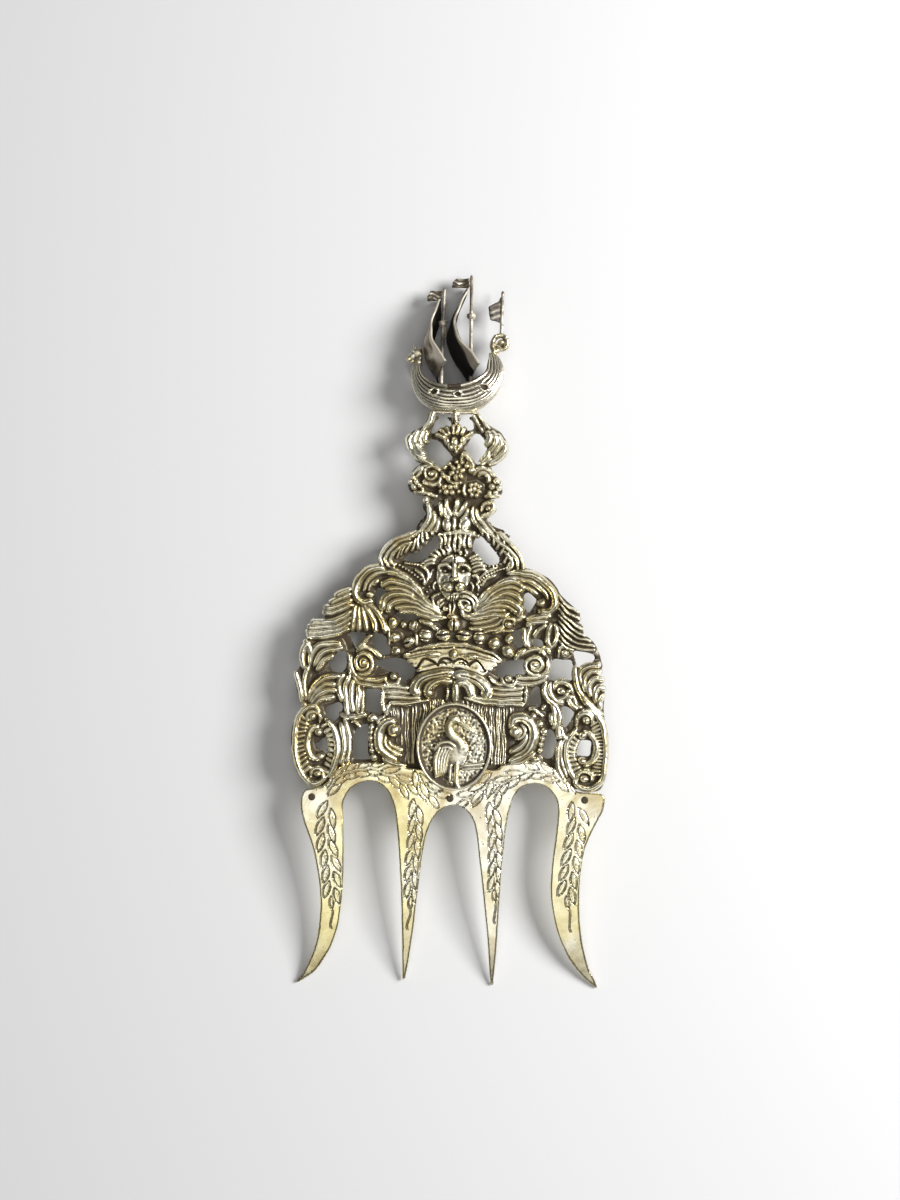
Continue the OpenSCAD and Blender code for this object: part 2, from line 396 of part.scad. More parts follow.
mantling_stroke_shares = [
    [1.5, 0.8, [[-0.4, -12], [-4, -11.7], [-8, -12.6], [-11, -15]]],
    [1.4, 0.8, [[-1.4, -13.8], [-4, -13.8], [-6.6, -15.2], [-8, -16.8]]],
    [1.5, 0.8, [[1.6, -12.6], [5, -12.6], [9, -14], [11, -16]]],
    [1.4, 0.8, [[2.6, -14.4], [5, -14.4], [7.4, -15.8], [8.6, -17]]],
    [1.3, 0.7, [[0.8, -14.6], [0.8, -16.4], [0.8, -18.6]]],
    [1.3, 0.7, [[-12.4, -16.2], [-15, -15.8], [-18, -16]]],
    [1.3, 0.7, [[-11.6, -17.8], [-15, -17.5], [-18.4, -17.8]]],
    [1.3, 0.7, [[-10.6, -19.4], [-14, -19.2], [-17.6, -19.4]]],
    [1.3, 0.7, [[12.4, -16.4], [15.4, -16], [18.6, -16.4]]],
    [1.3, 0.7, [[11.6, -18], [15.4, -17.6], [19.4, -18]]],
    [1.3, 0.7, [[12, -19.6], [15.4, -19.2], [19.6, -19.7]]]
];
mantling_bead_shares = [[-10.6, -16.4, 1], [10.8, -17, 1]];
drapery_stroke_shares = [
    [1.3, 0.7, [[-16.8, -21], [-17.3, -22.6], [-17.2, -24]]],
    [1.4, 0.8, [[-14.6, -21], [-14.9, -23], [-14.6, -24.6]]],
    [1.4, 0.8, [[-12.4, -21], [-12.4, -24], [-11.9, -26.6]]],
    [1.2, 0.7, [[-10.5, -21], [-10.7, -23.6], [-10.3, -25.6]]],
    [1.4, 0.8, [[-12.4, -28.4], [-12, -31], [-12.4, -34]]],
    [1.2, 0.7, [[-10.8, -29.4], [-10.6, -31.6], [-10.9, -34.4]]],
    [1.2, 0.7, [[12.6, -21], [12.8, -23.6], [12.8, -25.6]]],
    [1.4, 0.8, [[14.5, -21], [14.9, -23], [14.8, -25.4]]],
    [1.3, 0.7, [[16.6, -21], [17, -21.9], [16.9, -22.8]]],
    [1.3, 0.7, [[19, -21], [19.2, -21.4], [18.8, -21.9]]],
    [1.4, 0.8, [[13.8, -28], [14, -31], [13.6, -34.4]]],
    [1.2, 0.7, [[15.6, -29], [15.8, -31.4], [15.5, -33.6]]]
];
left_side_stroke_shares = [
    [1.7, 1, [[-14.2, -26.6], [-14.8, -25.6], [-16.6, -25.3], [-19, -26], [-20.2, -28.4], [-20.2, -31]]],
    [1.7, 1, [[-20.2, -31], [-19, -33.6], [-16.8, -35.2], [-14, -35.6]]],
    [1.2, 0.7, [[-18.4, -29], [-18.2, -31], [-16.4, -33], [-14, -34]]]
];
left_side_bead_shares = [
    [-16, -28, 1.3], [-21.4, -24.3, 1.1, 0.8], [-22, -27, 0.8], [-22.2, -29, 0.8], [-22.2, -31.2, 0.8],
    [-21.6, -33.6, 0.8], [-20.8, -35.4, 0.9]
];
right_side_stroke_shares = [
    [1.7, 1, [[16.7, -26.6], [16.8, -24.9], [18.6, -23.7], [21, -23.8], [22.8, -25.4], [23.7, -28]]],
    [1.7, 1, [[23.7, -28], [23.5, -31], [21.8, -33.2], [19.4, -34.8], [17, -35.2]]],
    [1.2, 0.7, [[20.6, -27], [21.8, -29], [21, -31.4], [18.4, -33.2]]]
];
right_side_bead_shares = [
    [18.6, -27, 1.4], [24, -22.6, 0.9], [25.4, -25, 0.9], [25.8, -27.4, 0.8], [25.5, -29.6, 0.7],
    [25.1, -31.4, 0.7], [23.6, -34.4, 1, 0.7]
];
medallion_centre_shares = [1.1, -31.7];
plaque_pad_row_share = -37.6;
plaque_pad_share = 0.8;
stork_stroke_shares = [
    [0.2, 1, [[0.02, 0.62], [-0.1, 0.42], [0.12, 0.22], [0.3, 0.05], [0.22, -0.12]]],
    [0.1, 0.8, [[0.04, 0.64], [0.28, 0.52], [0.5, 0.4]]],
    [0.44, 1, [[0.3, 0.02], [0.1, -0.04], [-0.2, -0.2], [-0.42, -0.42]]],
    [0.24, 0.9, [[0, 0.06], [-0.26, -0.08], [-0.46, -0.3], [-0.56, -0.52]]],
    [0.1, 0.6, [[0.1, -0.22], [0.1, -0.46], [0.06, -0.72]]],
    [0.1, 0.6, [[0.2, -0.2], [0.3, -0.44], [0.24, -0.72]]],
    [0.1, 0.5, [[-0.1, -0.76], [0.16, -0.74], [0.44, -0.76]]]
];
mask_dome_shares = [
    [0.3, 16.4, 4.6, 5, 0.55], [0.4, 18.4, 3.8, 2.6, 0.75], [0.5, 15.4, 1.3, 2.8, 0.95],
    [-1.2, 12.7, 1.7, 1.7, 0.85], [2, 12.7, 1.7, 1.7, 0.85], [0.4, 10.6, 1.7, 1.5, 0.6],
    [-2.6, 18.8, 1.7, 0.8, 0.88], [3.4, 18.8, 1.7, 0.8, 0.88]
];
mask_lock_shares = [
    [1.3, 0.4, [[-4.6, 18.8], [-6.2, 19.6], [-8.4, 18.8]]],
    [1.3, 0.4, [[-4, 20], [-5.2, 21], [-6.8, 20.6]]],
    [1.3, 0.45, [[-3, 20.8], [-3.6, 22.2], [-4.8, 22.2]]],
    [1.3, 0.45, [[-1.6, 21.4], [-1.8, 23.2], [-2.8, 24.2]]],
    [1.3, 0.45, [[0, 21.6], [-0.4, 23.6], [-1, 25.6]]],
    [1.3, 0.45, [[1.4, 21.6], [1.8, 23.6], [1.8, 25.8]]],
    [1.3, 0.45, [[2.8, 21.2], [3.6, 22.8], [4.2, 24.6]]],
    [1.3, 0.45, [[4, 20.4], [5, 21.4], [6, 21.2]]],
    [1.3, 0.4, [[4.8, 19.2], [6.4, 19.6], [8, 18.8]]],
    [1.3, 0.4, [[5, 17.8], [6.4, 17.8], [8, 17.4]]],
    [1.3, 0.4, [[-5, 17.2], [-5.6, 16], [-5.4, 13.8]]],
    [1.3, 0.4, [[5.2, 16.2], [5.8, 14.6], [5.4, 13]]],
    [1.3, 0.35, [[-3.4, 12.2], [-4.8, 11], [-4.6, 9.2]]],
    [1.3, 0.35, [[3.6, 12], [5, 11.2], [5.6, 9.8]]]
];
plume_stroke_shares = [
    [1.2, 0.8, [[0.4, 28.8], [0.3, 32.5], [0.8, 37.2]]],
    [1.3, 0.9, [[-1.2, 33.4], [-1.8, 35.4], [-3.2, 37.6]]],
    [1.3, 0.9, [[2.1, 33.2], [2.8, 35.4], [4.4, 36.6]]],
    [1.2, 0.7, [[-3.6, 33], [-4.4, 34.4], [-6.6, 34.8]]],
    [1.2, 0.7, [[4.6, 32.6], [6.6, 33.4], [9, 34.8]]],
    [1.4, 0.8, [[-5.4, 29], [-7.4, 30.2], [-7.2, 32.6]]],
    [1.4, 0.8, [[6.2, 29], [8.2, 29.8], [7.6, 31.4]]]
];
plume_bead_shares = [[-2.5, 30, 1.1, 1.6], [3, 29.8, 1.1, 1.6], [0.4, 32.6, 1]];
cluster_bead_shares = [
    [1.2, 44.5, 1.5], [1.2, 46.9, 0.9], [3.4, 45.7, 0.9], [3.4, 43.3, 0.9], [1.2, 42.1, 0.9],
    [-1, 43.3, 0.9], [-1, 45.7, 0.9], [-6, 44.1, 1.1], [-11.9, 41.5, 0.8], [-10.2, 42.6, 0.8],
    [-9.4, 41.1, 0.8], [-10.8, 40, 0.8], [5.6, 41.4, 1], [7.3, 40.5, 1], [5.9, 39.4, 1],
    [11.4, 42, 0.9], [12.2, 40.3, 0.9], [9.8, 40, 0.9]
];
cluster_stroke_shares = [
    [1.3, 0.8, [[-4, 42.6], [-6, 41.9], [-8, 43.2], [-7.8, 45.6], [-6, 46.2]]],
    [1.3, 0.7, [[-2.8, 41], [-5, 39.8], [-7.6, 40]]],
    [1.3, 0.8, [[6.6, 43.2], [8.4, 42.2], [10, 43.6], [9, 45.2], [7.2, 45]]],
    [1.2, 0.7, [[-2.4, 39.4], [0, 38.8], [3, 39.2]]]
];
arm_stroke_shares = [
    [1.8, 1, [[-6.6, 60.6], [-7.4, 58.6], [-9.6, 56.2], [-11.6, 54.4]]],
    [1.8, 1, [[-11.6, 54.4], [-12.2, 52.6], [-10.8, 50.2], [-9.2, 48.2]]],
    [1.2, 0.7, [[-6.6, 56.6], [-8.6, 55], [-9.9, 53], [-9.6, 51], [-8, 49]]],
    [1.1, 0.6, [[-8.6, 48.3], [-7, 47.3], [-5.2, 46.5]]],
    [1.8, 1, [[6, 60.6], [7.2, 58.6], [9.8, 56.6], [12.6, 54.6]]],
    [1.8, 1, [[12.6, 54.6], [13.6, 52.4], [12.6, 50.2], [10.6, 48]]],
    [1.2, 0.7, [[6.6, 56.8], [8.8, 55.2], [10.6, 53.4], [10.8, 51], [9.6, 49]]],
    [1.1, 0.6, [[8.6, 47.6], [7.4, 46.4], [6, 46]]]
];
palmette_stroke_shares = [
    [1, 0.8, [[0.2, 50.6], [-2.2, 53.4], [-4, 55.2]]],
    [1, 0.8, [[0.5, 50.8], [-1.2, 54], [-2.6, 56.6]]],
    [1, 0.9, [[0.7, 51], [-0.1, 54.2], [-1, 57]]],
    [1, 0.9, [[1, 51], [0.9, 54.4], [0.5, 57.2]]],
    [1, 0.9, [[1.2, 51], [1.7, 54.2], [2.1, 56.5]]],
    [1, 0.8, [[1.5, 50.8], [2.6, 53.6], [3.8, 55.8]]],
    [1.1, 0.7, [[0.8, 49.8], [1.9, 48.9], [3.4, 47.8]]]
];
palmette_bead_shares = [[0.9, 52.6, 0.7], [0.3, 58.8, 0.8]];

// Hull: the middle that its ribs point away from, then [angle, keel radius, gunwale radius, half breadth]
hull_mid_shares = [0.6, 75.2];
hull_rib_shares = [
    [180, 12.4, 10.4, 0.16], [200, 13.5, 10.6, 0.5], [222, 14.5, 9.5, 0.78], [245, 14.1, 8.1, 0.94],
    [268, 13.2, 7.4, 1], [292, 13.7, 7.3, 1], [315, 13.6, 7.6, 0.94], [337, 13.2, 8.3, 0.8],
    [358, 12.6, 8.3, 0.56], [379, 10.6, 9.2, 0.2]
];
strakes = 5;
quarter_turn = 90;
strake_lap_share = 0.05;
bilge_share = 0.75;
bulwark_share = 0.84;
deck_drop_share = 1.2;
hull_steps = 2;
// Portholes as [column, row, half width, half height, place of the frame as a share of the half breadth]
porthole_shares = [[-6, 65.9, 0.9, 0.7, 0.78], [0.5, 65, 0.9, 0.6, 0.66], [7.6, 67.4, 0.9, 0.8, 0.76]];
frame_w_share = 0.5;
frame_rise_share = 0.16;
mast_step_share = 1.8;
mast_step_rows_share = 1.2;
step_sides = 16;
ring_rows_share = 1.4;
head_gap_angle = 0.5;
head_foot_angle = 3;
bow_ball_shares = [
    [-11, 76.4, 0, 1.1], [-11.2, 78.2, 0, 1.7], [-11.6, 79.4, 0.9, 0.6], [-11.6, 79.4, -0.9, 0.6],
    [-13.2, 76.4, 0, 0.6], [-12.4, 76, 0, 0.5]
];
bow_joint_shares = [[0, 1], [1, 2], [1, 3], [1, 4], [0, 5], [0, 4]];
stern_ball_shares = [
    [11.2, 79.9, 0, 1.2], [12.4, 81.3, 0, 2], [14, 81.4, 0, 0.8], [12.2, 83.1, 0, 0.8],
    [10.7, 81.6, 0.8, 0.8], [10.7, 81.6, -0.8, 0.8], [13.5, 80.2, 0, 0.9]
];
stern_joint_shares = [[0, 1], [1, 2], [1, 3], [0, 4], [0, 5], [1, 6], [0, 6]];

// Bracket: knob on the neck's grid, then foot and saddle as [column, share of the bar's height]
knob_shares = [[-1.2, 61.2], [-0.9, 60], [1.3, 60], [1.6, 61.2]];
foot_shares = [[-7.3, 0.1], [-6.9, 0.5], [6.5, 0.5], [6.8, 0.1]];
saddle_shares = [[-6.6, -0.6], [-5.8, -0.1], [0, 0], [5.6, -0.1], [6.4, -0.6]];

// Masts as [column at the deck, row at the deck, column at the top, row at the top, row of the ring]
fore_mast_shares = [-4.1, 67.4, -3.5, 97.3, 86.8];
main_mast_shares = [4.3, 68.3, 4.1, 101, 89];
staff_shares = [12.7, 84, 13, 96.5];
brace_shares = [[-4, 82.2], [-2.9, 82.6], [-2.7, 86.2], [-3.8, 86.6]];
// Sails, one line per row: [row, column of the near edge, belly, half width]
fore_sail_shares = [
    [94, -4.7, 0.2, 3.4], [90.5, -6.1, 1, 4.8], [86.4, -7.1, 1.8, 5.7], [83, -6.8, 3, 6.3],
    [79.6, -5, 4.2, 6.7], [76.5, -2.8, 6, 7]
];
main_sail_shares = [
    [97.2, 3.2, 0.5, 3.2], [93.5, 1.5, 0.9, 4.5], [89.5, -0.1, 1.4, 5.3], [86, -0.3, 2.2, 5.8],
    [82.4, 1.3, 4.2, 6.4], [79, 4.4, 6.6, 6.9], [76, 6.6, 8.6, 7.2]
];
sail_cols = 6;
fore_flag_shares = [[0, 96.1], [-3.6, 96.3], [-4.3, 94.4], [-4, 93.2], [0, 93.9]];
main_flag_shares = [[0, 99.9], [-3.7, 99.9], [-4.6, 98.9], [-4.8, 97.4], [0, 97.5]];
ensign_shares = [[0, 93.9], [-1.6, 93], [-3.2, 92.4], [-3.4, 91], [-2.9, 88.5], [-2, 87.7], [0, 87.7]];

// A point, a line of points and a row number of a grid, in millimetres
function spot(p, grid) = [p[0] * grid[0], grid[2] + p[1] * grid[1]];
function spots(line, grid) = [for (p = line) spot(p, grid)];
function row_y(row, grid) = grid[2] + row * grid[1];

// Smooth curve through the points of a line, at t spans from its start
function curve_at(line, t) =
    let (last = len(line) - 1, i = min(floor(t), last - 1), f = t - i)
    let (a = line[max(i - 1, 0)], b = line[i], c = line[i + 1], d = line[min(i + 2, last)])
    b + (c - a) * f / 2 + (2 * a - 5 * b + 4 * c - d) * f * f / 2 + (3 * b - a - 3 * c + d) * f * f * f / 2;
function curve(line, steps) =
    let (spans = len(line) - 1, n = ceil(spans * steps))
    [for (k = [0:n]) curve_at(line, k * spans / n)];
function swell(s) = end_share + (1 - end_share) * sqrt(max(0, sin(180 * s)));

// Places on the layout grid as points above the ground
function raised(p, z, grid) = let (q = spot(p, grid)) [q[0], q[1], z];

// One cross section of a stroke: its base corners and the corners of its crest
function section(line, k, w, h, grid, even = false) =
    let (last = len(line) - 1, a = line[max(k - 1, 0)], b = line[min(k + 1, last)], c = line[k])
    let (size = even ? 1 : swell(k / last), rise = h * size)
    let (along = (b - a) / norm(b - a), side = [-along[1], along[0]] * w * size / 2)
    [raised(c - side, 0, grid), raised(c - side * crest_share, rise, grid),
     raised(c + side * crest_share, rise, grid), raised(c + side, 0, grid)];

// The solid that spans a cloud of points
module span(points) hull() polyhedron(points, [[for (i = [0:len(points) - 1]) i]]);

module stroke(line, w, h, grid) {
    fine = curve(line, span_steps);
    for (k = [0:len(fine) - 2])
        span(concat(section(fine, k, w, h, grid), section(fine, k + 1, w, h, grid)));
}

module dome(p, rx, ry, h, grid) {
    sides = min(rx, ry) < small_bead_share ? small_bead_sides : bead_sides;
    turns = [for (a = [0:360 / sides:359]) [cos(a), sin(a)]];
    span([for (ring = dome_ring_shares, u = turns)
        raised(p + [u[0] * rx, u[1] * ry] * ring[0], h * ring[1], grid)]);
}

module teeth(count, size, line, h, grid) {
    for (k = [0:count - 1]) {
        c = curve_at(line, k * (len(line) - 1) / (count - 1));
        foot = [for (u = [[1, 0], [0, 1], [-1, 0], [0, -1]]) raised(c + u * size, 0, grid)];
        span(concat(foot, [raised(c, h, grid)]));
    }
}

module strokes(rows, h, grid) for (r = rows) stroke(r[2], r[0], r[1] * h, grid);

// A bead keeps its own height, so that pearls stand as balls do
module beads(rows, grid)
    for (b = rows) dome([b[0], b[1]], b[2], b[len(b) - 1], bead_rise_share * b[2] * grid[0], grid);

module toothed(rows, grid)
    for (r = rows) teeth(r[0], r[1], r[2], tooth_rise_share * r[1] * grid[0], grid);

// Lifts a piece so that the fork rests on its tips
module resting(z) translate([0, 0, rest_z + z]) children();

// Puts a piece of the ship on the keel's line and leans it back
module aboard() resting(ship_z) translate([0, keel_y, 0]) rotate([-ship_lean, 0, 0]) children();

module on_shield(stroke_rows, bead_rows = [], tooth_rows = [], finish = gilt)
    color(finish) resting(ground_t) {
        strokes(stroke_rows, relief_h, shield_grid);
        beads(bead_rows, shield_grid);
        toothed(tooth_rows, shield_grid);
    }

module on_neck(stroke_rows, bead_rows = []) color(gilt) resting(ground_t) {
    strokes(stroke_rows, neck_relief_h, neck_grid);
    beads(bead_rows, neck_grid);
}

// Rows above the lap follow the cartouche, rows below it the tines
function sheet_spot(p) = p[1] > lap_row_share ? spot(p, shield_grid) : spot(p, sheet_grid);

module rivet_holes() for (p = rivet_shares) translate(spot(p, shield_grid)) circle(d = rivet_d + seat_gap);

// Side view of the bent sheet: flat at the lap, then curving down to the tips
bend_y = row_y(bend_row_share, sheet_grid);
bend_steps = 8;
function bent_z(s) = ground_t - (ground_t + tip_drop) * s * s;
function bent_t(s) = sheet_t + (tip_t - sheet_t) * s;
function bent_y(s) = bend_y + (tip_y - bend_y) * s;
sheet_under = [for (k = [0:bend_steps]) let (s = k / bend_steps) [bent_y(s), bent_z(s)]];
sheet_over = [for (k = [bend_steps:-1:0]) let (s = k / bend_steps) [bent_y(s), bent_z(s) + bent_t(s)]];
sheet_side = concat([[seam_y, ground_t]], sheet_under, sheet_over, [[seam_y, ground_t + sheet_t]]);

module tine_plate() color(pale_gilt) resting(0) intersection() {
    translate([0, 0, -tip_drop]) linear_extrude(tip_drop + ground_t + sheet_t) difference() {
        polygon([for (p = sheet_shares) sheet_spot(p)]);
        rivet_holes();
    }
    translate([-sheet_w, 0, 0]) rotate([90, 0, 90]) linear_extrude(2 * sheet_w) polygon(sheet_side);
}

module rivet() {
    cylinder(d = rivet_d, h = ground_t + sheet_t);
    translate([0, 0, ground_t + sheet_t]) rotate_extrude()
        polygon(concat([[0, 0]], [for (a = [0:15:90]) [rivet_head_d / 2 * cos(a), rivet_head_h * sin(a)]]));
}

module rivets() color(old_silver) resting(0) for (p = rivet_shares) translate(spot(p, shield_grid)) rivet();

// The ground reaches under the sheet at each rivet
module rivet_tab() {
    tab_r = rivet_tab_share * shield_grid[0];
    cylinder(r = tab_r, h = ground_t);
    translate([-tab_r, 0, 0]) cube([2 * tab_r, rivet_tab_reach_share * shield_grid[1], ground_t]);
}

module shield_plate() color(old_silver) resting(0) difference() {
    union() {
        linear_extrude(ground_t) difference() {
            polygon(spots(shield_shares, shield_grid));
            for (hole = shield_hole_shares) polygon(spots(hole, shield_grid));
        }
        for (p = rivet_shares) translate(spot(p, shield_grid)) rivet_tab();
    }
    translate([0, 0, -seat_gap]) linear_extrude(ground_t + 2 * seat_gap) rivet_holes();
}

module neck_plate() color(old_silver) resting(0) linear_extrude(ground_t) difference() {
    polygon(spots(neck_shares, neck_grid));
    for (hole = neck_hole_shares) polygon(spots(hole, neck_grid));
}

module left_c_scroll() on_shield(left_c_stroke_shares, left_c_bead_shares, left_c_tooth_shares);
module right_c_scroll() on_shield(right_c_stroke_shares, right_c_bead_shares, right_c_tooth_shares);
module left_leaf_spray() on_shield(left_spray_stroke_shares, left_spray_bead_shares);
module right_leaf_spray() on_shield(right_spray_stroke_shares, right_spray_bead_shares);
module left_fan() on_shield(left_fan_stroke_shares, left_fan_bead_shares);
module right_fan() on_shield(right_fan_stroke_shares, right_fan_bead_shares);
module left_volute() on_shield(left_volute_stroke_shares, left_volute_bead_shares);
module right_volute() on_shield(right_volute_stroke_shares, right_volute_bead_shares);
module left_horn() on_shield(left_horn_stroke_shares, left_horn_bead_shares);
module right_horn() on_shield(right_horn_stroke_shares, right_horn_bead_shares);
module crown() on_shield(crown_stroke_shares, crown_bead_shares);
module crown_pearls() on_shield(pearl_stroke_shares, pearl_shares, finish = pale_gilt);
module mantling() on_shield(mantling_stroke_shares, mantling_bead_shares);
module drapery() on_shield(drapery_stroke_shares);
module left_side_scroll() on_shield(left_side_stroke_shares, left_side_bead_shares);
module right_side_scroll() on_shield(right_side_stroke_shares, right_side_bead_shares);
module plume() on_neck(plume_stroke_shares, plume_bead_shares);
module flower_cluster() on_neck(cluster_stroke_shares, cluster_bead_shares);
module upper_arms() on_neck(arm_stroke_shares);
module fan_palmette() on_neck(palmette_stroke_shares, palmette_bead_shares);

// The plaque lies over the lap: its back is level with the front of the sheet
plaque_z = ground_t + sheet_t;
plaque_spot = spot(medallion_centre_shares, shield_grid);
module oval(w, h) polygon([for (a = [0:360 / $fn:359]) [w / 2 * cos(a), h / 2 * sin(a)]]);

module medallion() color(gilt) resting(0) translate(plaque_spot) {
    translate([0, 0, plaque_z]) {
        linear_extrude(plaque_t) oval(plaque_w, plaque_h);
        translate([0, 0, plaque_t]) linear_extrude(rim_h) difference() {
            oval(plaque_w, plaque_h);
            oval(plaque_w - 2 * rim_w, plaque_h - 2 * rim_w);
        }
    }
    pad_y = row_y(plaque_pad_row_share, shield_grid) - plaque_spot[1];
    translate([0, 0, ground_t]) linear_extrude(sheet_t) intersection() {
        oval(plaque_w * plaque_pad_share, plaque_h * plaque_pad_share);
        translate([-plaque_w, pad_y]) square([2 * plaque_w, plaque_h]);
    }
}

// The stork is laid out on the plaque's own half widths
plaque_grid = [(plaque_w - 2 * rim_w) / 2, (plaque_h - 2 * rim_w) / 2, 0];
module stork() color(pale_gilt) resting(plaque_z + plaque_t) translate(plaque_spot)
    strokes(stork_stroke_shares, stork_h, plaque_grid);

module lion_mask() color(gilt) resting(ground_t) {
    for (d = mask_dome_shares) dome([d[0], d[1]], d[2], d[3], d[4] * mask_h, shield_grid);
    strokes(mask_lock_shares, mask_h, shield_grid);
}

// The bar carries the keel: its foot and knob stand on the neck, its saddle leans with the ship
module ship_bracket() color(old_silver) {
    resting(0) linear_extrude(ground_t) polygon(spots(knob_shares, neck_grid));
    resting(0) translate([0, row_y(neck_row_share, neck_grid)]) linear_extrude(ground_t)
        polygon([for (p = foot_shares) [p[0] * neck_grid[0], p[1] * bracket_h]]);
    aboard() translate([0, 0, -bracket_d / 2]) linear_extrude(bracket_d)
        polygon([for (p = saddle_shares) [p[0] * neck_grid[0], p[1] * bracket_h - seat_gap]]);
}

// Hull: clinker strakes from each gunwale down to the keel, and a sunk deck
function hull_spot(angle, r, z) = raised(hull_mid_shares + r * [cos(angle), sin(angle)], z, ship_grid);
function across(p) = [p[0], p[1], -p[2]];
function strake_edge(rib, turn, lap) =
    let (reach = pow(sin(turn), bilge_share) * (1 + lap), half = rib[3] * hull_b / 2 * (1 + lap))
    hull_spot(rib[0], rib[2] + (rib[1] - rib[2]) * reach, half * cos(turn));
function rib_side(rib) = [
    for (k = [0:strakes - 1]) let (lap = k < strakes - 1 ? strake_lap_share : 0)
        each [strake_edge(rib, quarter_turn * k / strakes, 0),
              strake_edge(rib, quarter_turn * (k + 1) / strakes, lap)]
];
function rib_deck(rib) =
    let (half = bulwark_share * rib[3] * hull_b / 2, deck_r = rib[2] + deck_drop_share * rib[3])
    [hull_spot(rib[0], rib[2], -half), hull_spot(rib[0], deck_r, -half),
     hull_spot(rib[0], deck_r, half), hull_spot(rib[0], rib[2], half)];
function rib_ring(rib) =
    let (near = rib_side(rib), far = [for (k = [len(near) - 2:-1:0]) across(near[k])])
    concat(near, far, rib_deck(rib));

// A solid through a row of rings that have the same number of corners
module loft(rings) {
    n = len(rings);
    m = len(rings[0]);
    sides = [for (i = [0:n - 2], j = [0:m - 1]) let (a = i * m + j, b = i * m + (j + 1) % m)
        each [[a, a + m, b], [b, a + m, b + m]]];
    ends = [[for (j = [0:m - 1]) j], [for (j = [m - 1:-1:0]) (n - 1) * m + j]];
    polyhedron([for (r = rings) each r], concat(sides, ends));
}

// A cylinder along the ship's height between two rows
module upright(col, low_row, high_row, d) {
    foot = spot([col, low_row], ship_grid);
    reach = row_y(high_row, ship_grid) - foot[1];
    translate([foot[0], foot[1], 0]) rotate([-90, 0, 0]) cylinder(d = d, h = reach);
}

// Raised oval frame of a porthole
module porthole(p) translate([0, 0, p[4] * hull_b / 2]) {
    ring = [for (a = [0:360 / porthole_sides:360]) [p[0] + p[2] * cos(a), p[1] + p[3] * sin(a)]];
    rise = frame_rise_share * hull_b / 2;
    for (k = [0:len(ring) - 2])
        span([for (i = [k, k + 1]) each section(ring, i, frame_w_share, rise, ship_grid, even = true)]);
}

module ship_hull() color(old_silver) aboard() {
    loft([for (rib = curve(hull_rib_shares, hull_steps)) rib_ring(rib)]);
    for (m = [fore_mast_shares, main_mast_shares])
        upright(m[0], m[1] - mast_step_rows_share, m[1], mast_step_share * mast_d, $fn = step_sides);
    for (p = porthole_shares) porthole(p);
}

// Cast heads: balls joined two by two, on a foot that lies on the end of the hull
module ball(b) translate(raised([b[0], b[1]], b[2] * ship_grid[0], ship_grid))
    sphere(b[3] * ship_grid[0], $fn = ball_sides);
module head(balls, joints, end, side) {
    rib = hull_rib_shares[end];
    turns = [head_gap_angle, head_gap_angle + head_foot_angle];
    foot = [for (turn = turns, r = [rib[2], rib[1]], z = [-1, 1])
        hull_spot(rib[0] + side * turn, r, z * rib[3] * hull_b / 2)];
    hull() {
        span(foot);
        ball(balls[0]);
    }
    for (j = joints) hull() {
        ball(balls[j[0]]);
        ball(balls[j[1]]);
    }
}

module bow_head() color(gilt) aboard() head(bow_ball_shares, bow_joint_shares, 0, -1);
module stern_head() color(gilt) aboard()
    head(stern_ball_shares, stern_joint_shares, len(hull_rib_shares) - 1, 1);

// A tapered spar from [column, row] to [column, row]
module spar(m) {
    foot = spot([m[0], m[1]], ship_grid) + [0, seat_gap];
    reach = spot([m[2], m[3]], ship_grid) - foot;
    translate([foot[0], foot[1], 0]) rotate([0, 0, atan2(reach[1], reach[0])]) rotate([0, 90, 0])
        cylinder(d1 = mast_d, d2 = mast_top_d, h = norm(reach));
}

module mast_ring(m)
    upright((m[0] + m[2]) / 2, m[4] - ring_rows_share / 2, m[4] + ring_rows_share / 2, top_d);

module fore_mast() color(dark_silver) aboard() {
    spar(fore_mast_shares);
    mast_ring(fore_mast_shares);
    translate([0, 0, -mast_top_d / 2]) linear_extrude(mast_top_d) polygon(spots(brace_shares, ship_grid));
}

module main_mast() color(dark_silver) aboard() {
    spar(main_mast_shares);
    mast_ring(main_mast_shares);
}

module ensign_staff() color(dark_silver) aboard() spar(staff_shares);

// A sail's cross section at one row: deepest in the middle, so that the sheet bellies forward
function sail_line(r, off) = [
    for (k = [0:sail_cols]) let (s = 2 * k / sail_cols - 1)
        raised([r[1] - r[2] * (1 - s * s), r[0]], s * r[3] * ship_grid[0], ship_grid) + [off, 0, 0]
];
function backward(line) = [for (k = [len(line) - 1:-1:0]) line[k]];
module sail(rows) loft([
    for (r = curve(rows, sail_steps)) concat(sail_line(r, -sail_t / 2), backward(sail_line(r, sail_t / 2)))
]);

module fore_sail() color(dark_silver) aboard() sail(fore_sail_shares);
module main_sail() color(dark_silver) aboard() sail(main_sail_shares);

// A flag's outline starts at its mast
module flag(outline, mast_col) {
    edge_x = mast_col * ship_grid[0] - mast_d / 2 - seat_gap;
    translate([edge_x, 0, -flag_t / 2]) linear_extrude(flag_t) polygon(spots(outline, ship_grid));
}

module fore_flag() color(old_silver) aboard() flag(fore_flag_shares, fore_mast_shares[2]);
module main_flag() color(old_silver) aboard() flag(main_flag_shares, main_mast_shares[2]);
module ensign() color(dark_silver) aboard() flag(ensign_shares, staff_shares[0]);

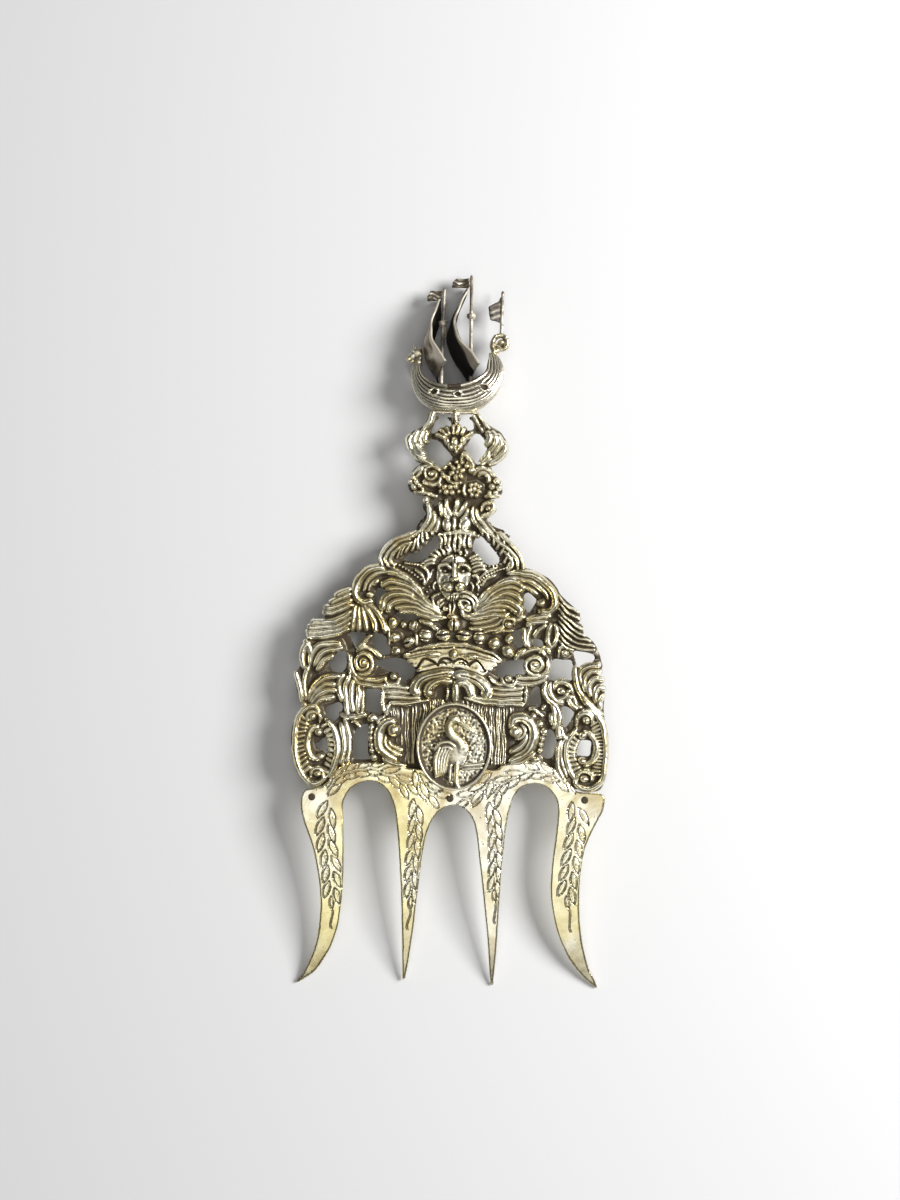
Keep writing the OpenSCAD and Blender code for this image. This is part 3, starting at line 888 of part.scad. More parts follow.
tine_plate();
rivets();
shield_plate();
neck_plate();
left_c_scroll();
right_c_scroll();
left_leaf_spray();
right_leaf_spray();
left_fan();
right_fan();
left_volute();
right_volute();
left_horn();
right_horn();
crown();
crown_pearls();
mantling();
drapery();
left_side_scroll();
right_side_scroll();
medallion();
stork();
lion_mask();
plume();
flower_cluster();
upper_arms();
fan_palmette();
ship_bracket();
ship_hull();
bow_head();
stern_head();
fore_mast();
main_mast();
ensign_staff();
fore_sail();
main_sail();
fore_flag();
main_flag();
ensign();
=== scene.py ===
import math

import bpy
import bmesh
import numpy as np
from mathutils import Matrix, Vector


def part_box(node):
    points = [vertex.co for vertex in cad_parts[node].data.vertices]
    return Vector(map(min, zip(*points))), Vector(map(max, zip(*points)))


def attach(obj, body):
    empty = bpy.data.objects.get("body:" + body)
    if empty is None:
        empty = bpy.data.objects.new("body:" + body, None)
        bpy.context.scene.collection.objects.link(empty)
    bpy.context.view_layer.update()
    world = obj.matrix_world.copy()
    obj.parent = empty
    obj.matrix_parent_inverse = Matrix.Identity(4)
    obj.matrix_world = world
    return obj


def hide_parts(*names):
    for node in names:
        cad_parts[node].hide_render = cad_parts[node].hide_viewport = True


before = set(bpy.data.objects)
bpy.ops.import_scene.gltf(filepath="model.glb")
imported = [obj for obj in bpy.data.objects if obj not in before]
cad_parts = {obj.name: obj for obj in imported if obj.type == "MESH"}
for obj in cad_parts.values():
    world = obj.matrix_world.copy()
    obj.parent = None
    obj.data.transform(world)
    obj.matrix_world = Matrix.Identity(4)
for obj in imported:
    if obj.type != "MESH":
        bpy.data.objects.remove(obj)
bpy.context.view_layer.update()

bl_info = {
    "name": "Oyster fork castings",
    "version": (1, 0, 0),
    "blender": (4, 5, 0),
    "location": "3D view > Sidebar > Oyster fork",
    "description": "Builds the cast, chased and gilt pieces of an oyster fork on its frame",
    "category": "Object",
}

MM = 0.001

# Crest value of backs and other faces that no tool or hand has worn
PLAIN_CREST = 0.62
# Relief lower than this, in millimetres, belongs to no piece of ornament
LOWEST_RELIEF = 0.15
# How deep a piece is sunk into what carries it, and how deep ornament is rooted in its ground
SUNK = 0.1
RELIEF_ROOT = 0.3


def box_mm(node):
    """Lowest and highest corner of a CAD node in millimetres."""
    low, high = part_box(node)
    return np.array(low) / MM, np.array(high) / MM


# Heights in millimetres that every piece shares, read from the frame
BACK_Z = box_mm("shield_plate")[0][2]
GROUND_Z = box_mm("shield_plate")[1][2]
SHEET_Z = box_mm("tine_plate")[1][2]
FIELD_Z = box_mm("stork")[0][2]
KEEL_Z = GROUND_Z
SEAM_Y = box_mm("shield_plate")[1][1]
TIP_Y = box_mm("tine_plate")[0][1]
KEEL_Y = box_mm("neck_plate")[1][1] + 1

# Rows of the layout grid: its columns are millimetres, and its rows are nearly so
SEAM_ROW = 28
LAP_ROW = -44
TIP_ROW = -99.3
BEND_ROW = -50
KEEL_ROW = 62
# Millimetres to a row of the ship and of the tines, and the y of the lap
SHIP_ROW = 39.4 / 39
SHEET_ROW = 1.0271
SHEET_LAP_Y = -44.11
SHIP_LEAN = math.radians(8)
BEND_Y = SHEET_LAP_Y + (BEND_ROW - LAP_ROW) * SHEET_ROW


def points_of(line):
    """The points of a line as an array. A line may be written as "x,row x,row x,row"."""
    if isinstance(line, str):
        line = [[float(value) for value in point.split(",")] for point in line.split()]
    return np.array(line, float)


def stretches(before, start, end, after, step):
    """Points of a smooth line from each start to its end, about a step apart."""
    out = []
    for a, b, c, d in zip(before, start, end, after):
        count = max(1, math.ceil(np.linalg.norm(c - b) / step))
        t = (np.arange(count) / count)[:, None]
        cubic = (2 * a - 5 * b + 4 * c - d) * t**2 + (3 * b - a - 3 * c + d) * t**3
        out.append(b + ((c - a) * t + cubic) / 2)
    return out


def curve(line, step=0.35):
    """Points of a smooth line through the given ones, about a step apart."""
    p = points_of(line)
    p = np.vstack([2 * p[0] - p[1], p, 2 * p[-1] - p[-2]])
    return np.vstack(stretches(p, p[1:], p[2:], p[3:], step) + [p[-2:-1]])


def closed_curve(line, step=0.35):
    """A smooth closed line through the given points."""
    p = points_of(line)
    return np.vstack(stretches(*(np.roll(p, k, axis=0) for k in (1, 0, -1, -2)), step))


def blurred(field, radius):
    """The field averaged three times over a square of this radius in cells."""
    for _ in range(3):
        for axis in (0, 1):
            pad = [(0, 0), (0, 0)]
            pad[axis] = (radius + 1, radius)
            total = np.cumsum(np.pad(field, pad, mode="edge"), axis=axis)
            n = total.shape[axis]
            high = np.take(total, range(2 * radius + 1, n), axis=axis)
            low = np.take(total, range(0, n - 2 * radius - 1), axis=axis)
            field = (high - low) / (2 * radius + 1)
    return field


def grain(shape, radius, seed):
    """Seeded noise from -1 to 1 with spots of this radius in cells."""
    noise = blurred(np.random.default_rng(seed).standard_normal(shape), radius)
    return np.clip(noise / (2.2 * noise.std()), -1, 1)


def sampled(field, rows, cols):
    """The field read at places between its points."""
    high, wide = field.shape
    r = np.clip(rows, 0, high - 1.001)
    c = np.clip(cols, 0, wide - 1.001)
    i, j = r.astype(int), c.astype(int)
    r, c = r - i, c - j
    upper = field[i, j] * (1 - c) + field[i, j + 1] * c
    lower = field[i + 1, j] * (1 - c) + field[i + 1, j + 1] * c
    return upper * (1 - r) + lower * r


def cells_at(cells):
    """For every corner, how many of the marked cells meet there."""
    count = np.zeros((cells.shape[0] + 1, cells.shape[1] + 1), int)
    for rows in (slice(None, -1), slice(1, None)):
        for cols in (slice(None, -1), slice(1, None)):
            count[rows, cols] += cells
    return count


class Canvas:
    """Height field of a casting over its ground. Lengths are in millimetres, points are [x, row].
    inside is the distance to the nearest edge, and is negative outside. bold widens all its ribs."""

    # Distance to the edge where nothing has been marked yet, and the longest one that is measured
    FAR_OUT = -2.0
    LONGEST = 4.0
    # A blur reaches this many times its radius
    BLUR_REACH = 1.7
    # The casting: how far metal fills in between ribs, how far their feet spread, how far its lines
    # wander and over what length, and the width of its waves and of its grain
    BED, FOOT, WANDER, WANDER_SPOT, WAVE_SPOT, GRAIN_SPOT = 0.75, 1.3, 0.26, 0.9, 1.3, 0.45
    # Waves as a share of the height, and the heights of grain and of pits
    WAVES, GRAIN, PITS = 0.14, 0.07, 0.03
    # How near and how far round a place its crest value looks
    FINE, WIDE = 0.35, 1.2

    def __init__(self, left, low, right, high, cell, shift=0.0):
        self.cell = cell
        self.x = np.arange(left, right + cell, cell)
        self.y = np.arange(low, high + cell, cell)
        self.shift = shift
        self.height = np.zeros((len(self.y), len(self.x)))
        self.inside = np.full(self.height.shape, self.FAR_OUT)
        self.owner = np.zeros(self.height.shape, int)
        self.names = [""]
        self.bold = 1.12

    def cells_in(self, length):
        """A length as a whole number of cells, at least one."""
        return max(1, round(length / self.cell))

    def window(self, x_low, x_high, y_low, y_high):
        """The rows and columns between these places, with their x and y."""
        cols = slice(*np.searchsorted(self.x, [x_low, x_high]))
        rows = slice(*np.searchsorted(self.y, [y_low, y_high]))
        return rows, cols, self.x[cols][None, :], self.y[rows][:, None]

    def stamp(self, rows, cols, height, inside, owner, carve=False):
        """Raises the surface to these heights where they are higher, or carves them out of it."""
        if carve:
            self.height[rows, cols] = np.maximum(self.height[rows, cols] - height, 0)
            return
        here = self.height[rows, cols]
        higher = height > here
        here[higher] = height[higher]
        self.owner[rows, cols][higher] = owner
        edge = self.inside[rows, cols]
        np.maximum(edge, inside, out=edge)

    def sweep(self, line, half, rise, shape, owner, carve=False):
        """Stamps a profile along a line. half and rise have one value per point."""
        steps = np.linalg.norm(np.diff(line, axis=0), axis=1)
        along = np.concatenate([[0], np.cumsum(steps)])
        for k, length in enumerate(steps):
            if length < 1e-6:
                continue
            a, b = line[k], line[k + 1]
            reach = max(half[k], half[k + 1]) + 2 * self.cell
            low, high = np.minimum(a, b) - reach, np.maximum(a, b) + reach
            rows, cols, x, y = self.window(low[0], high[0], low[1], high[1])
            u = (b - a) / length
            dx, dy = x - a[0], y - a[1]
            t = np.clip((dx * u[0] + dy * u[1]) / length, 0, 1)
            ox, oy = dx - t * length * u[0], dy - t * length * u[1]
            far = np.hypot(ox, oy)
            width = half[k] + (half[k + 1] - half[k]) * t
            side = np.sign(u[0] * dy - u[1] * dx)
            q = np.clip(far / width, 0, 1)
            top = (rise[k] + (rise[k + 1] - rise[k]) * t) * shape(q, side, along[k] + t * length)
            top = np.where(far < width, top, 0)
            self.stamp(rows, cols, top, width - far, owner, carve)

    def rib(self, owner, width, rise, line, ends=(0.4, 0.4), base=0.32, flutes=1, rope=0):
        """A raised band with a rounded crest. ends are the shares of width left at its ends."""
        fine = curve(line)
        s = np.linspace(0, 1, len(fine))
        start, end = np.minimum(1, s * 3), np.minimum(1, (1 - s) * 3)
        share = (ends[0] + (1 - ends[0]) * np.sqrt(start * (2 - start)))
        share = share * (ends[1] + (1 - ends[1]) * np.sqrt(end * (2 - end)))

        def shape(q, side, along):
            crest = 0.8 * np.sqrt(np.maximum(0, 1 - q * q)) + 0.2 * (1 - q)
            if flutes > 1:
                crest = crest * (0.45 + 0.55 * np.abs(np.sin(flutes * math.pi * (1 + side * q) / 2)))
            if rope:
                crest = crest * (0.5 + 0.5 * np.abs(np.sin(math.pi * (along / rope + side * q * 0.4))))
            return base + (1 - base) * crest

        self.sweep(fine, width * self.bold / 2 * share, rise * (0.55 + 0.45 * share), shape, owner)

    def groove(self, owner, width, depth, line):
        """A line cut into what is there."""
        fine = curve(line)
        full = np.ones(len(fine))
        self.sweep(fine, width / 2 * full, depth * full, lambda q, side, along: 1 - q * q, owner, True)

    def teeth(self, owner, count, length, width, rise, line, lean=0.0):
        """Short lobes that point to the left of a line, or to its right where the length is negative."""
        fine = curve(line, 0.2)
        for s in np.linspace(0, len(fine) - 2, count):
            k = int(s)
            u = fine[k + 1] - fine[k]
            u = u / np.linalg.norm(u)
            foot = fine[k] + (s - k) * (fine[k + 1] - fine[k])
            tip = foot + (np.array([-u[1], u[0]]) + lean * u) * length
            self.rib(owner, width, rise, [foot, (foot + tip) / 2, tip], (1, 0.6), 0.3)

    def beading(self, owner, count, radius, rise, line):
        """A row of equal pearls along a line."""
        fine = curve(line, 0.1)
        for s in np.linspace(0, len(fine) - 1, count):
            self.knob(owner, fine[int(s)][0], fine[int(s)][1], radius, radius, rise)

    def knob(self, owner, x, y, rx, ry, rise, turn=0, slots=0, slot_turn=0):
        """A boss, pearl or lobe, turned by so many degrees, with slots cut across it."""
        reach = max(rx, ry) + 2 * self.cell
        rows, cols, gx, gy = self.window(x - reach, x + reach, y - reach, y + reach)
        c, s = math.cos(math.radians(turn)), math.sin(math.radians(turn))
        u = ((gx - x) * c + (gy - y) * s) / rx
        v = ((gy - y) * c - (gx - x) * s) / ry
        q = np.hypot(u, v)
        top = 0.3 + 0.7 * np.sqrt(np.maximum(0, 1 - q * q))
        if slots:
            c, s = math.cos(math.radians(slot_turn)), math.sin(math.radians(slot_turn))
            w = (v * c + u * s) * slots
            top = top * (0.45 + 0.55 * np.clip(np.abs(np.cos(w * math.pi / 2)) * 1.7, 0, 1))
        top = np.where(q < 1, top * rise, 0)
        self.stamp(rows, cols, top, (1 - q) * min(rx, ry), owner)

    def swell(self, owner, x, y, rx, ry, rise, turn=0):
        """A soft swelling of what is there, or a hollow where the rise is negative."""
        reach = 2.2 * max(rx, ry)
        rows, cols, gx, gy = self.window(x - reach, x + reach, y - reach, y + reach)
        c, s = math.cos(math.radians(turn)), math.sin(math.radians(turn))
        u = ((gx - x) * c + (gy - y) * s) / rx
        v = ((gy - y) * c - (gx - x) * s) / ry
        part = self.height[rows, cols]
        np.maximum(part + rise * np.exp(-(u * u + v * v)), 0, out=part)

    def coil(self, owner, x, y, radius, turns, start, width, rise, ball, spin=1):
        """A spiral band that winds in from its radius to a ball."""
        n = max(6, int(abs(turns) * 14))
        line = []
        for k in range(n + 1):
            s = k / n
            r = radius + (ball - radius) * s
            a = math.radians(start) + spin * 2 * math.pi * turns * s
            line.append([x + r * math.cos(a), y + r * math.sin(a)])
        self.rib(owner, width, rise, line, (0.8, 0.5))
        if ball > 0.3:
            self.knob(owner, x, y, ball, ball, rise + 0.4 * ball)

    def outline(self, loops):
        """Marks what lies inside the first loop and outside the others, by distance to the edge."""
        gx, gy = self.x[None, :], self.y[:, None]
        crossed = np.zeros(self.height.shape, bool)
        near = np.full(self.height.shape, self.LONGEST)
        for loop in loops:
            p = closed_curve(loop, 0.5)
            for a, b in zip(p, np.roll(p, -1, axis=0)):
                low, high = np.minimum(a, b) + self.FAR_OUT, np.maximum(a, b) - self.FAR_OUT
                if a[1] != b[1]:
                    rows = slice(*np.searchsorted(self.y, sorted([a[1], b[1]])))
                    y = self.y[rows][:, None]
                    crossed[rows] ^= gx < a[0] + (y - a[1]) * (b[0] - a[0]) / (b[1] - a[1])
                rows, cols, x, y = self.window(low[0], high[0], low[1], high[1])
                length = np.linalg.norm(b - a)
                u = (b - a) / max(length, 1e-6)
                t = np.clip((x - a[0]) * u[0] + (y - a[1]) * u[1], 0, length)
                far = np.hypot(x - a[0] - t * u[0], y - a[1] - t * u[1])
                edge = near[rows, cols]
                np.minimum(edge, far, out=edge)
        self.inside = np.maximum(self.inside, np.where(crossed, near, -near))

    def carve(self, ornament):
        """Stamps each piece's marks. A mark is the name of a method and its arguments."""
        for name, marks in ornament.items():
            if name not in self.names:
                self.names.append(name)
            owner = self.names.index(name)
            for mark in marks:
                getattr(self, mark[0])(owner, *mark[1:])

    def settle(self, bed_share=0.68, seed=1):
        """Fills the gaps between neighbouring ribs as a casting does, and softens the surface."""
        solid = self.inside > 0
        bed = blurred(np.where(solid, self.height, 0), self.cells_in(self.BED / self.BLUR_REACH))
        self.height = np.maximum(self.height, bed * bed_share)
        for _ in range(int(self.FOOT / self.cell)):
            for shift in ((0, 1), (0, -1), (1, 0), (-1, 0)):
                near = np.roll(self.owner, shift, (0, 1))
                free = (self.owner == 0) & (self.height > LOWEST_RELIEF)
                self.owner = np.where(free, near, self.owner)
        shape = self.height.shape
        rows, cols = np.indices(shape)
        wander = self.WANDER / self.cell
        bend = max(2, self.cells_in(self.WANDER_SPOT))
        rows = rows + wander * grain(shape, bend, seed + 2)
        cols = cols + wander * grain(shape, bend, seed + 3)
        self.height = sampled(self.height, rows, cols)
        self.height *= 1 + self.WAVES * grain(shape, max(2, self.cells_in(self.WAVE_SPOT)), seed + 4)
        rough = self.GRAIN * grain(shape, self.cells_in(self.GRAIN_SPOT), seed)
        rough += self.PITS * grain(shape, 1, seed + 1)
        self.height += np.where(self.height > LOWEST_RELIEF, rough, 0.3 * rough)

    def places(self, step=1):
        """X and Y of every corner, with the ones beside the edge moved onto it."""
        inside = self.inside[::step, ::step]
        cell = self.cell * step
        gy, gx = np.gradient(inside, cell)
        size = np.maximum(gx * gx + gy * gy, 0.3)
        solid = inside > 0
        cells = solid[:-1, :-1] & solid[1:, :-1] & solid[:-1, 1:] & solid[1:, 1:]
        count = cells_at(cells)
        rim = (np.abs(inside) < 1.2 * cell) & (count > 0) & (count < 4)
        x = self.x[None, ::step] - np.where(rim, inside * gx / size, 0)
        y = self.y[::step, None] - np.where(rim, inside * gy / size, 0)
        return x, y + self.shift, cells

    def crest(self):
        """How far each place stands out from what is round it, from 0 in a recess to 1 on a crest."""
        h = self.height
        fine = (h - blurred(h, self.cells_in(self.FINE / self.BLUR_REACH))) / 0.5
        wide = (h - blurred(h, self.cells_in(self.WIDE / self.BLUR_REACH))) / 1.6
        return np.clip(0.5 + 0.55 * fine + 0.45 * wide, 0, 1)


def mesh_from(name, verts, loops, starts, crest):
    """A mesh from flat arrays, in millimetres, with its crest value at each point."""
    mesh = bpy.data.meshes.new(name)
    mesh.vertices.add(len(verts))
    mesh.vertices.foreach_set("co", (np.asarray(verts) * MM).astype(np.float32).ravel())
    mesh.loops.add(len(loops))
    mesh.loops.foreach_set("vertex_index", np.asarray(loops, np.int32))
    mesh.polygons.add(len(starts))
    mesh.polygons.foreach_set("loop_start", np.asarray(starts, np.int32))
    mesh.polygons.foreach_set("use_smooth", np.ones(len(starts), bool))
    mesh.update(calc_edges=True)
    layer = mesh.attributes.new("crest", "FLOAT", "POINT")
    layer.data.foreach_set("value", np.asarray(crest, np.float32))
    obj = bpy.data.objects.new(name, mesh)
    bpy.context.scene.collection.objects.link(obj)
    return obj


def field_piece(name, place, cells, top, bottom, crest, block=8):
    """A closed solid over the marked cells, from its bottom heights to its top heights. Its flat
    underside has one face for each full block of cells."""
    gx, gy = place
    rows, cols = cells.shape
    used = cells_at(cells) > 0
    upper = np.full(used.shape, -1)
    upper[used] = np.arange(used.sum())
    lower = np.where(used, upper + used.sum(), -1)
    i, j = np.nonzero(cells)
    quads = [np.stack([upper[i, j], upper[i, j + 1], upper[i + 1, j + 1], upper[i + 1, j]], 1)]
    ring = np.pad(cells, 1)
    for di, dj, a, b in (
        (-1, 0, (0, 0), (0, 1)),
        (0, 1, (0, 1), (1, 1)),
        (1, 0, (1, 1), (1, 0)),
        (0, -1, (1, 0), (0, 0)),
    ):
        open_side = cells & ~ring[1 + di : rows + 1 + di, 1 + dj : cols + 1 + dj]
        i, j = np.nonzero(open_side)
        p, q = (i + a[0], j + a[1]), (i + b[0], j + b[1])
        quads.append(np.stack([upper[q], upper[p], lower[p], lower[q]], 1))
    whole = np.zeros((rows // block + 2, cols // block + 2), bool)
    inner = cells[: rows // block * block, : cols // block * block]
    tiles = inner.reshape(rows // block, block, cols // block, block).all(axis=(1, 3))
    whole[1 : 1 + tiles.shape[0], 1 : 1 + tiles.shape[1]] = tiles
    covered = np.zeros_like(cells)
    covered[: inner.shape[0], : inner.shape[1]] = np.kron(tiles, np.ones((block, block), bool))
    i, j = np.nonzero(cells & ~covered)
    quads.append(np.stack([lower[i, j], lower[i + 1, j], lower[i + 1, j + 1], lower[i, j + 1]], 1))
    polygons = []
    every, first = range(block), (0,)
    for bi, bj in zip(*np.nonzero(tiles)):
        i, j = bi * block, bj * block
        rim = [lower[i + k, j] for k in (first if whole[bi + 1, bj] else every)]
        rim += [lower[i + block, j + k] for k in (first if whole[bi + 2, bj + 1] else every)]
        rim += [lower[i + block - k, j + block] for k in (first if whole[bi + 1, bj + 2] else every)]
        rim += [lower[i, j + block - k] for k in (first if whole[bi, bj + 1] else every)]
        polygons.append(rim)
    quads = np.vstack(quads)
    loops = np.concatenate([quads.ravel()] + [np.array(p) for p in polygons])
    sizes = np.concatenate([np.full(len(quads), 4), [len(p) for p in polygons]]).astype(int)
    keep, loops = np.unique(loops, return_inverse=True)
    xy = np.stack([gx[used], gy[used]], 1)
    points = np.vstack([np.column_stack([xy, top[used]]), np.column_stack([xy, bottom[used]])])
    values = np.concatenate([crest[used], np.full(used.sum(), PLAIN_CREST)])
    starts = np.concatenate([[0], np.cumsum(sizes)[:-1]])
    return mesh_from(name, points[keep], loops.ravel(), starts, values[keep])


def fit_piece(obj, node, material):
    """Puts a piece in its node's place."""
    obj.data.materials.append(material)
    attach(obj, "root")
    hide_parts(node)
    return obj


# Outlines and holes as "x,row" points
SHEET_OUTLINE = """
    -41.6,-47.5 -41.3,-46 -40.3,-44.5 -37,-43.9 -35.5,-43.5 -34,-42 -32.5,-40 -30.5,-38 -28,-36.8
    -13,-36.9 -10.5,-38.2 11.5,-38.2 15,-36.7 25,-35.6 27.5,-36.6 30,-38.3 32.5,-40.5 34.5,-42.8 36,-44
    40,-44.3 42.3,-44.5 43.4,-45.4 43.3,-47.5 42.8,-49.5 41.2,-52.5 39.5,-56 38,-60 37.2,-65 36.9,-70
    37,-76 37.4,-81 38.2,-86 39.2,-90 40.5,-94 42.3,-97.5 42.7,-99.3 40,-97.3 37.5,-94.8 35,-91.5
    32.8,-87.5 31,-83 29.7,-78 28.9,-73 28.8,-68 29.2,-62 29.8,-57 30.3,-52 30.4,-49 30,-46.6 29,-44.8
    27,-42.8 24.5,-41.9 22,-42.2 19.8,-43.3 18.2,-45.5 17.3,-48 16.5,-51 15.8,-56 15.2,-62 14.8,-68
    14.5,-75 14,-88 13.6,-94 13.2,-98.5 12.8,-98.9 12.2,-96 11.8,-91 11.3,-85 10.6,-79 9.3,-68 8.6,-63
    8,-58 7.5,-55 6.8,-52.5 5.5,-50.3 3.5,-48.7 1.5,-48.2 0,-48.4 -2.2,-49.3 -3.8,-51 -5,-53 -6.2,-56
    -7,-60 -7.7,-65 -8.9,-76 -9.5,-82 -10.3,-88 -11,-93 -11.8,-97 -12.4,-97.7 -12.6,-96 -12.8,-85
    -13.2,-72 -13.6,-66 -14,-60 -14.5,-55 -15.3,-49.5 -16.3,-46.5 -17.5,-44.3 -19.5,-42.5 -22,-41.8
    -24.5,-42.2 -27,-43.5 -28.5,-45.3 -29.5,-47.5 -29.7,-50 -29.5,-54 -29.3,-60 -29.3,-66 -29.6,-72
    -30.1,-77 -30.7,-81.5 -31.7,-85 -33,-88.5 -35.3,-92.5 -37.5,-95.5 -40.5,-97.8 -43,-99.1 -41.5,-97.3
    -40.3,-95.3 -39,-92.5 -37.8,-89.5 -36.8,-86 -36.2,-82 -35.8,-77 -35.9,-73 -36.3,-69 -37,-65
    -37.7,-61.5 -38.8,-58 -40,-55 -41,-52 -41.5,-49.5
"""
SHIELD_OUTLINE = """
    -37,-43.6 -40,-42.5 -42.5,-39 -43.8,-35 -44.3,-31.5 -43.8,-27 -42.8,-23.5 -41.5,-21.5 -41.8,-19
    -42,-16 -43.3,-14 -44,-12 -42.8,-10.8 -42,-9 -42.2,-6 -41.5,-4.5 -40,-3 -40.5,-2 -40.3,0.5 -39,2.5
    -37.5,2.8 -35.5,3 -35.8,5.5 -33.8,7.5 -33,9.5 -30.5,11.5 -28.3,12.8 -27.3,14.5 -26,16.5 -24,17.5
    -20.5,18.8 -20.5,21.5 -19.5,23.5 -18,25 -16,26 -13.5,27 -11.8,27.3 -11,28 13.5,28 15.5,26 17.5,24
    18.5,22 19.3,20 20,18.3 23,17.3 25.5,16.3 27.5,15 29.3,12.8 30.3,11 33,8.5 35.3,6.5 35.8,5.5
    35.6,3.3 36.6,2.5 37,0 38.5,-1 40,-2.5 40.8,-4 41.5,-5.5 42,-7.5 42.3,-9 41.5,-10.5 40.3,-12
    42,-13.5 42.9,-15 43,-17 42.8,-20 43,-23 43.5,-26 44,-29 44.3,-33 44,-37 43.5,-40 42.3,-43.3
    39.5,-44 37,-43.5 34,-43 31,-41 24,-39.8 16,-41 10,-43.5 -10,-43.5 -14,-41 -22,-39.8 -30,-41
    -33,-42.6
"""
SHIELD_HOLES = [
    "-21,11.8 -19.5,12 -17.3,10.5 -18.5,9 -19.5,7.5 -20.3,5.5 -21,7 -21.5,9",
    "-15.8,5 -14,5.6 -11,5.5 -9.5,5 -9,4 -11,3.3 -13,3.2 -14.5,3.8",
    "-28.5,-0.5 -26,-0.3 -24.3,-0.8 -24,-2 -25,-3.5 -26,-4.8 -27,-4.5 -28,-2.5",
    "-22,-1 -20,-0.7 -18,-2 -17.2,-4 -17,-6 -18.5,-6.7 -20.5,-6.7 -21.5,-5.5",
    "-21.5,-9 -20,-8 -17,-7.4 -14,-7.5 -12,-8.5 -10,-10.8 -12.5,-13.8 -13.8,-14.3 -14.5,-12 "
        "-15.5,-11.3 -17,-11.3 -19,-10.5",
    "-33.8,-8.3 -32,-6.3 -31,-5.2 -29.7,-5.5 -29.2,-7 -29.3,-9.5 -30,-11 -31.3,-12 -32.5,-11.7 "
        "-34.5,-9.5",
    "-23.5,-16.3 -22,-16 -19.8,-16.3 -19.2,-18 -19,-20.5 -19.2,-22.8 -21,-22.9 -24,-22 -24,-19.5",
    "-34.8,-21.5 -33,-20.6 -31.5,-20 -30.5,-20.5 -30.3,-22 -32,-25 -33.5,-25.3 -34.7,-24",
    "-25.5,-26.3 -24,-26 -22.8,-26.3 -22.8,-29 -23,-32 -22.8,-34.5 -22,-35.6 -23.5,-36 -25.5,-36 "
        "-27,-35.6 -27.3,-30.5 -26.7,-28.5",
    "-38,-32.3 -36.5,-31 -35,-29.8 -34,-30.5 -33.7,-32 -33.8,-34 -34.5,-35 -35.5,-33.8",
    "20,10.5 21,11.4 22,11 23.5,9.5 23,8 21.7,6 20.8,6.5 20,8",
    "22.8,-1.5 24,-1.5 25.3,-2 25.7,-3.5 25,-4.8 24,-4.8 23,-4",
    "17,0.3 18.5,1 19.9,1.3 20.1,-1 20,-3.5 18.5,-4 17.7,-3 16.8,-2",
    "12.5,-9.8 15,-8 18,-7.5 20.5,-7.3 21.2,-8.5 21,-10.5 20.3,-11.7 18,-12.3 16.8,-11.8 15,-12.8 "
        "14,-12.8 12.8,-11.5",
    "28,-8 29,-7 31,-7.2 33.5,-7.3 34.1,-9 34.1,-11.5 33.5,-13 27.8,-13 27.3,-11.5 27.5,-9.5",
    "34.2,-5 36,-4.8 38.5,-5.2 40,-6 40,-7.2 38.5,-8.3 36.5,-9 35.2,-9",
    "23.5,-15 24.7,-15 25,-16.5 25.3,-19.7 24,-20 22.3,-19.8 21.3,-18.5 22,-17",
    "31,-20.6 32.5,-20.3 34,-21.3 34.6,-22.3 33.8,-24 32.5,-26 31.7,-26 31.2,-24",
    "27.3,-27 28.7,-27.2 29.5,-29 30,-31 29.3,-33 28.7,-34.6 27.6,-35 26.5,-34.8 25.5,-33.8 26.2,-31.5",
    "35.5,-30 39.2,-29.8 39.4,-32 39,-34 36.5,-34 35.5,-33.5",
    "-5,27.2 -3.8,25 -4,23.5 -5.2,22.5 -6.5,21.3 -8,20 -10,19.5 -12,19.6 -13.8,20.2 -12,21.8 -10,22.2 "
        "-8.8,23 -7.5,24.5 -6,26",
    "7.3,27.2 6.3,26.5 5.7,25 5.5,23.5 6.5,22 8.8,19.7 10.5,19 12.3,19.2 13,20 12.8,21.3 11.8,22.8 "
        "10.5,24.3 8.2,26.8",
]
NECK_OUTLINE = """
    -11,28 -10.5,28.5 -10,30 -9,31.5 -7.7,33 -8.5,34.5 -8.7,36.5 -8,37.7 -6.5,38.2 -8,38.7 -10.5,39
    -12,39.2 -12.8,40.5 -12.8,41.8 -11.5,43.3 -11.2,44.5 -10.5,45.5 -9,46.5 -9.8,47.8 -11,49.3
    -12.3,50.7 -13,52 -13.4,53.5 -12.8,55 -11.5,56.3 -9.8,57 -8.3,58.5 -7.6,60.3 -7.4,61 -5.5,61
    -4.8,60.4 -1.2,60.2 -1,60 1.4,60 1.6,60.2 4.6,60.4 5,61 6.7,61 7.5,59.8 9,58.5 10.5,57.6 12.5,56.5
    13.8,54.8 14.8,53 14.8,51 14,49.3 12.8,48 11.5,47 10,46.3 11,44.5 12.5,43 13.3,41.5 13.6,39.5
    13,38.6 11,38.2 10.2,37.6 11.3,36.2 11.7,35 11,33.5 9.3,32.2 10.3,31 11.5,29.8 13.5,28
"""
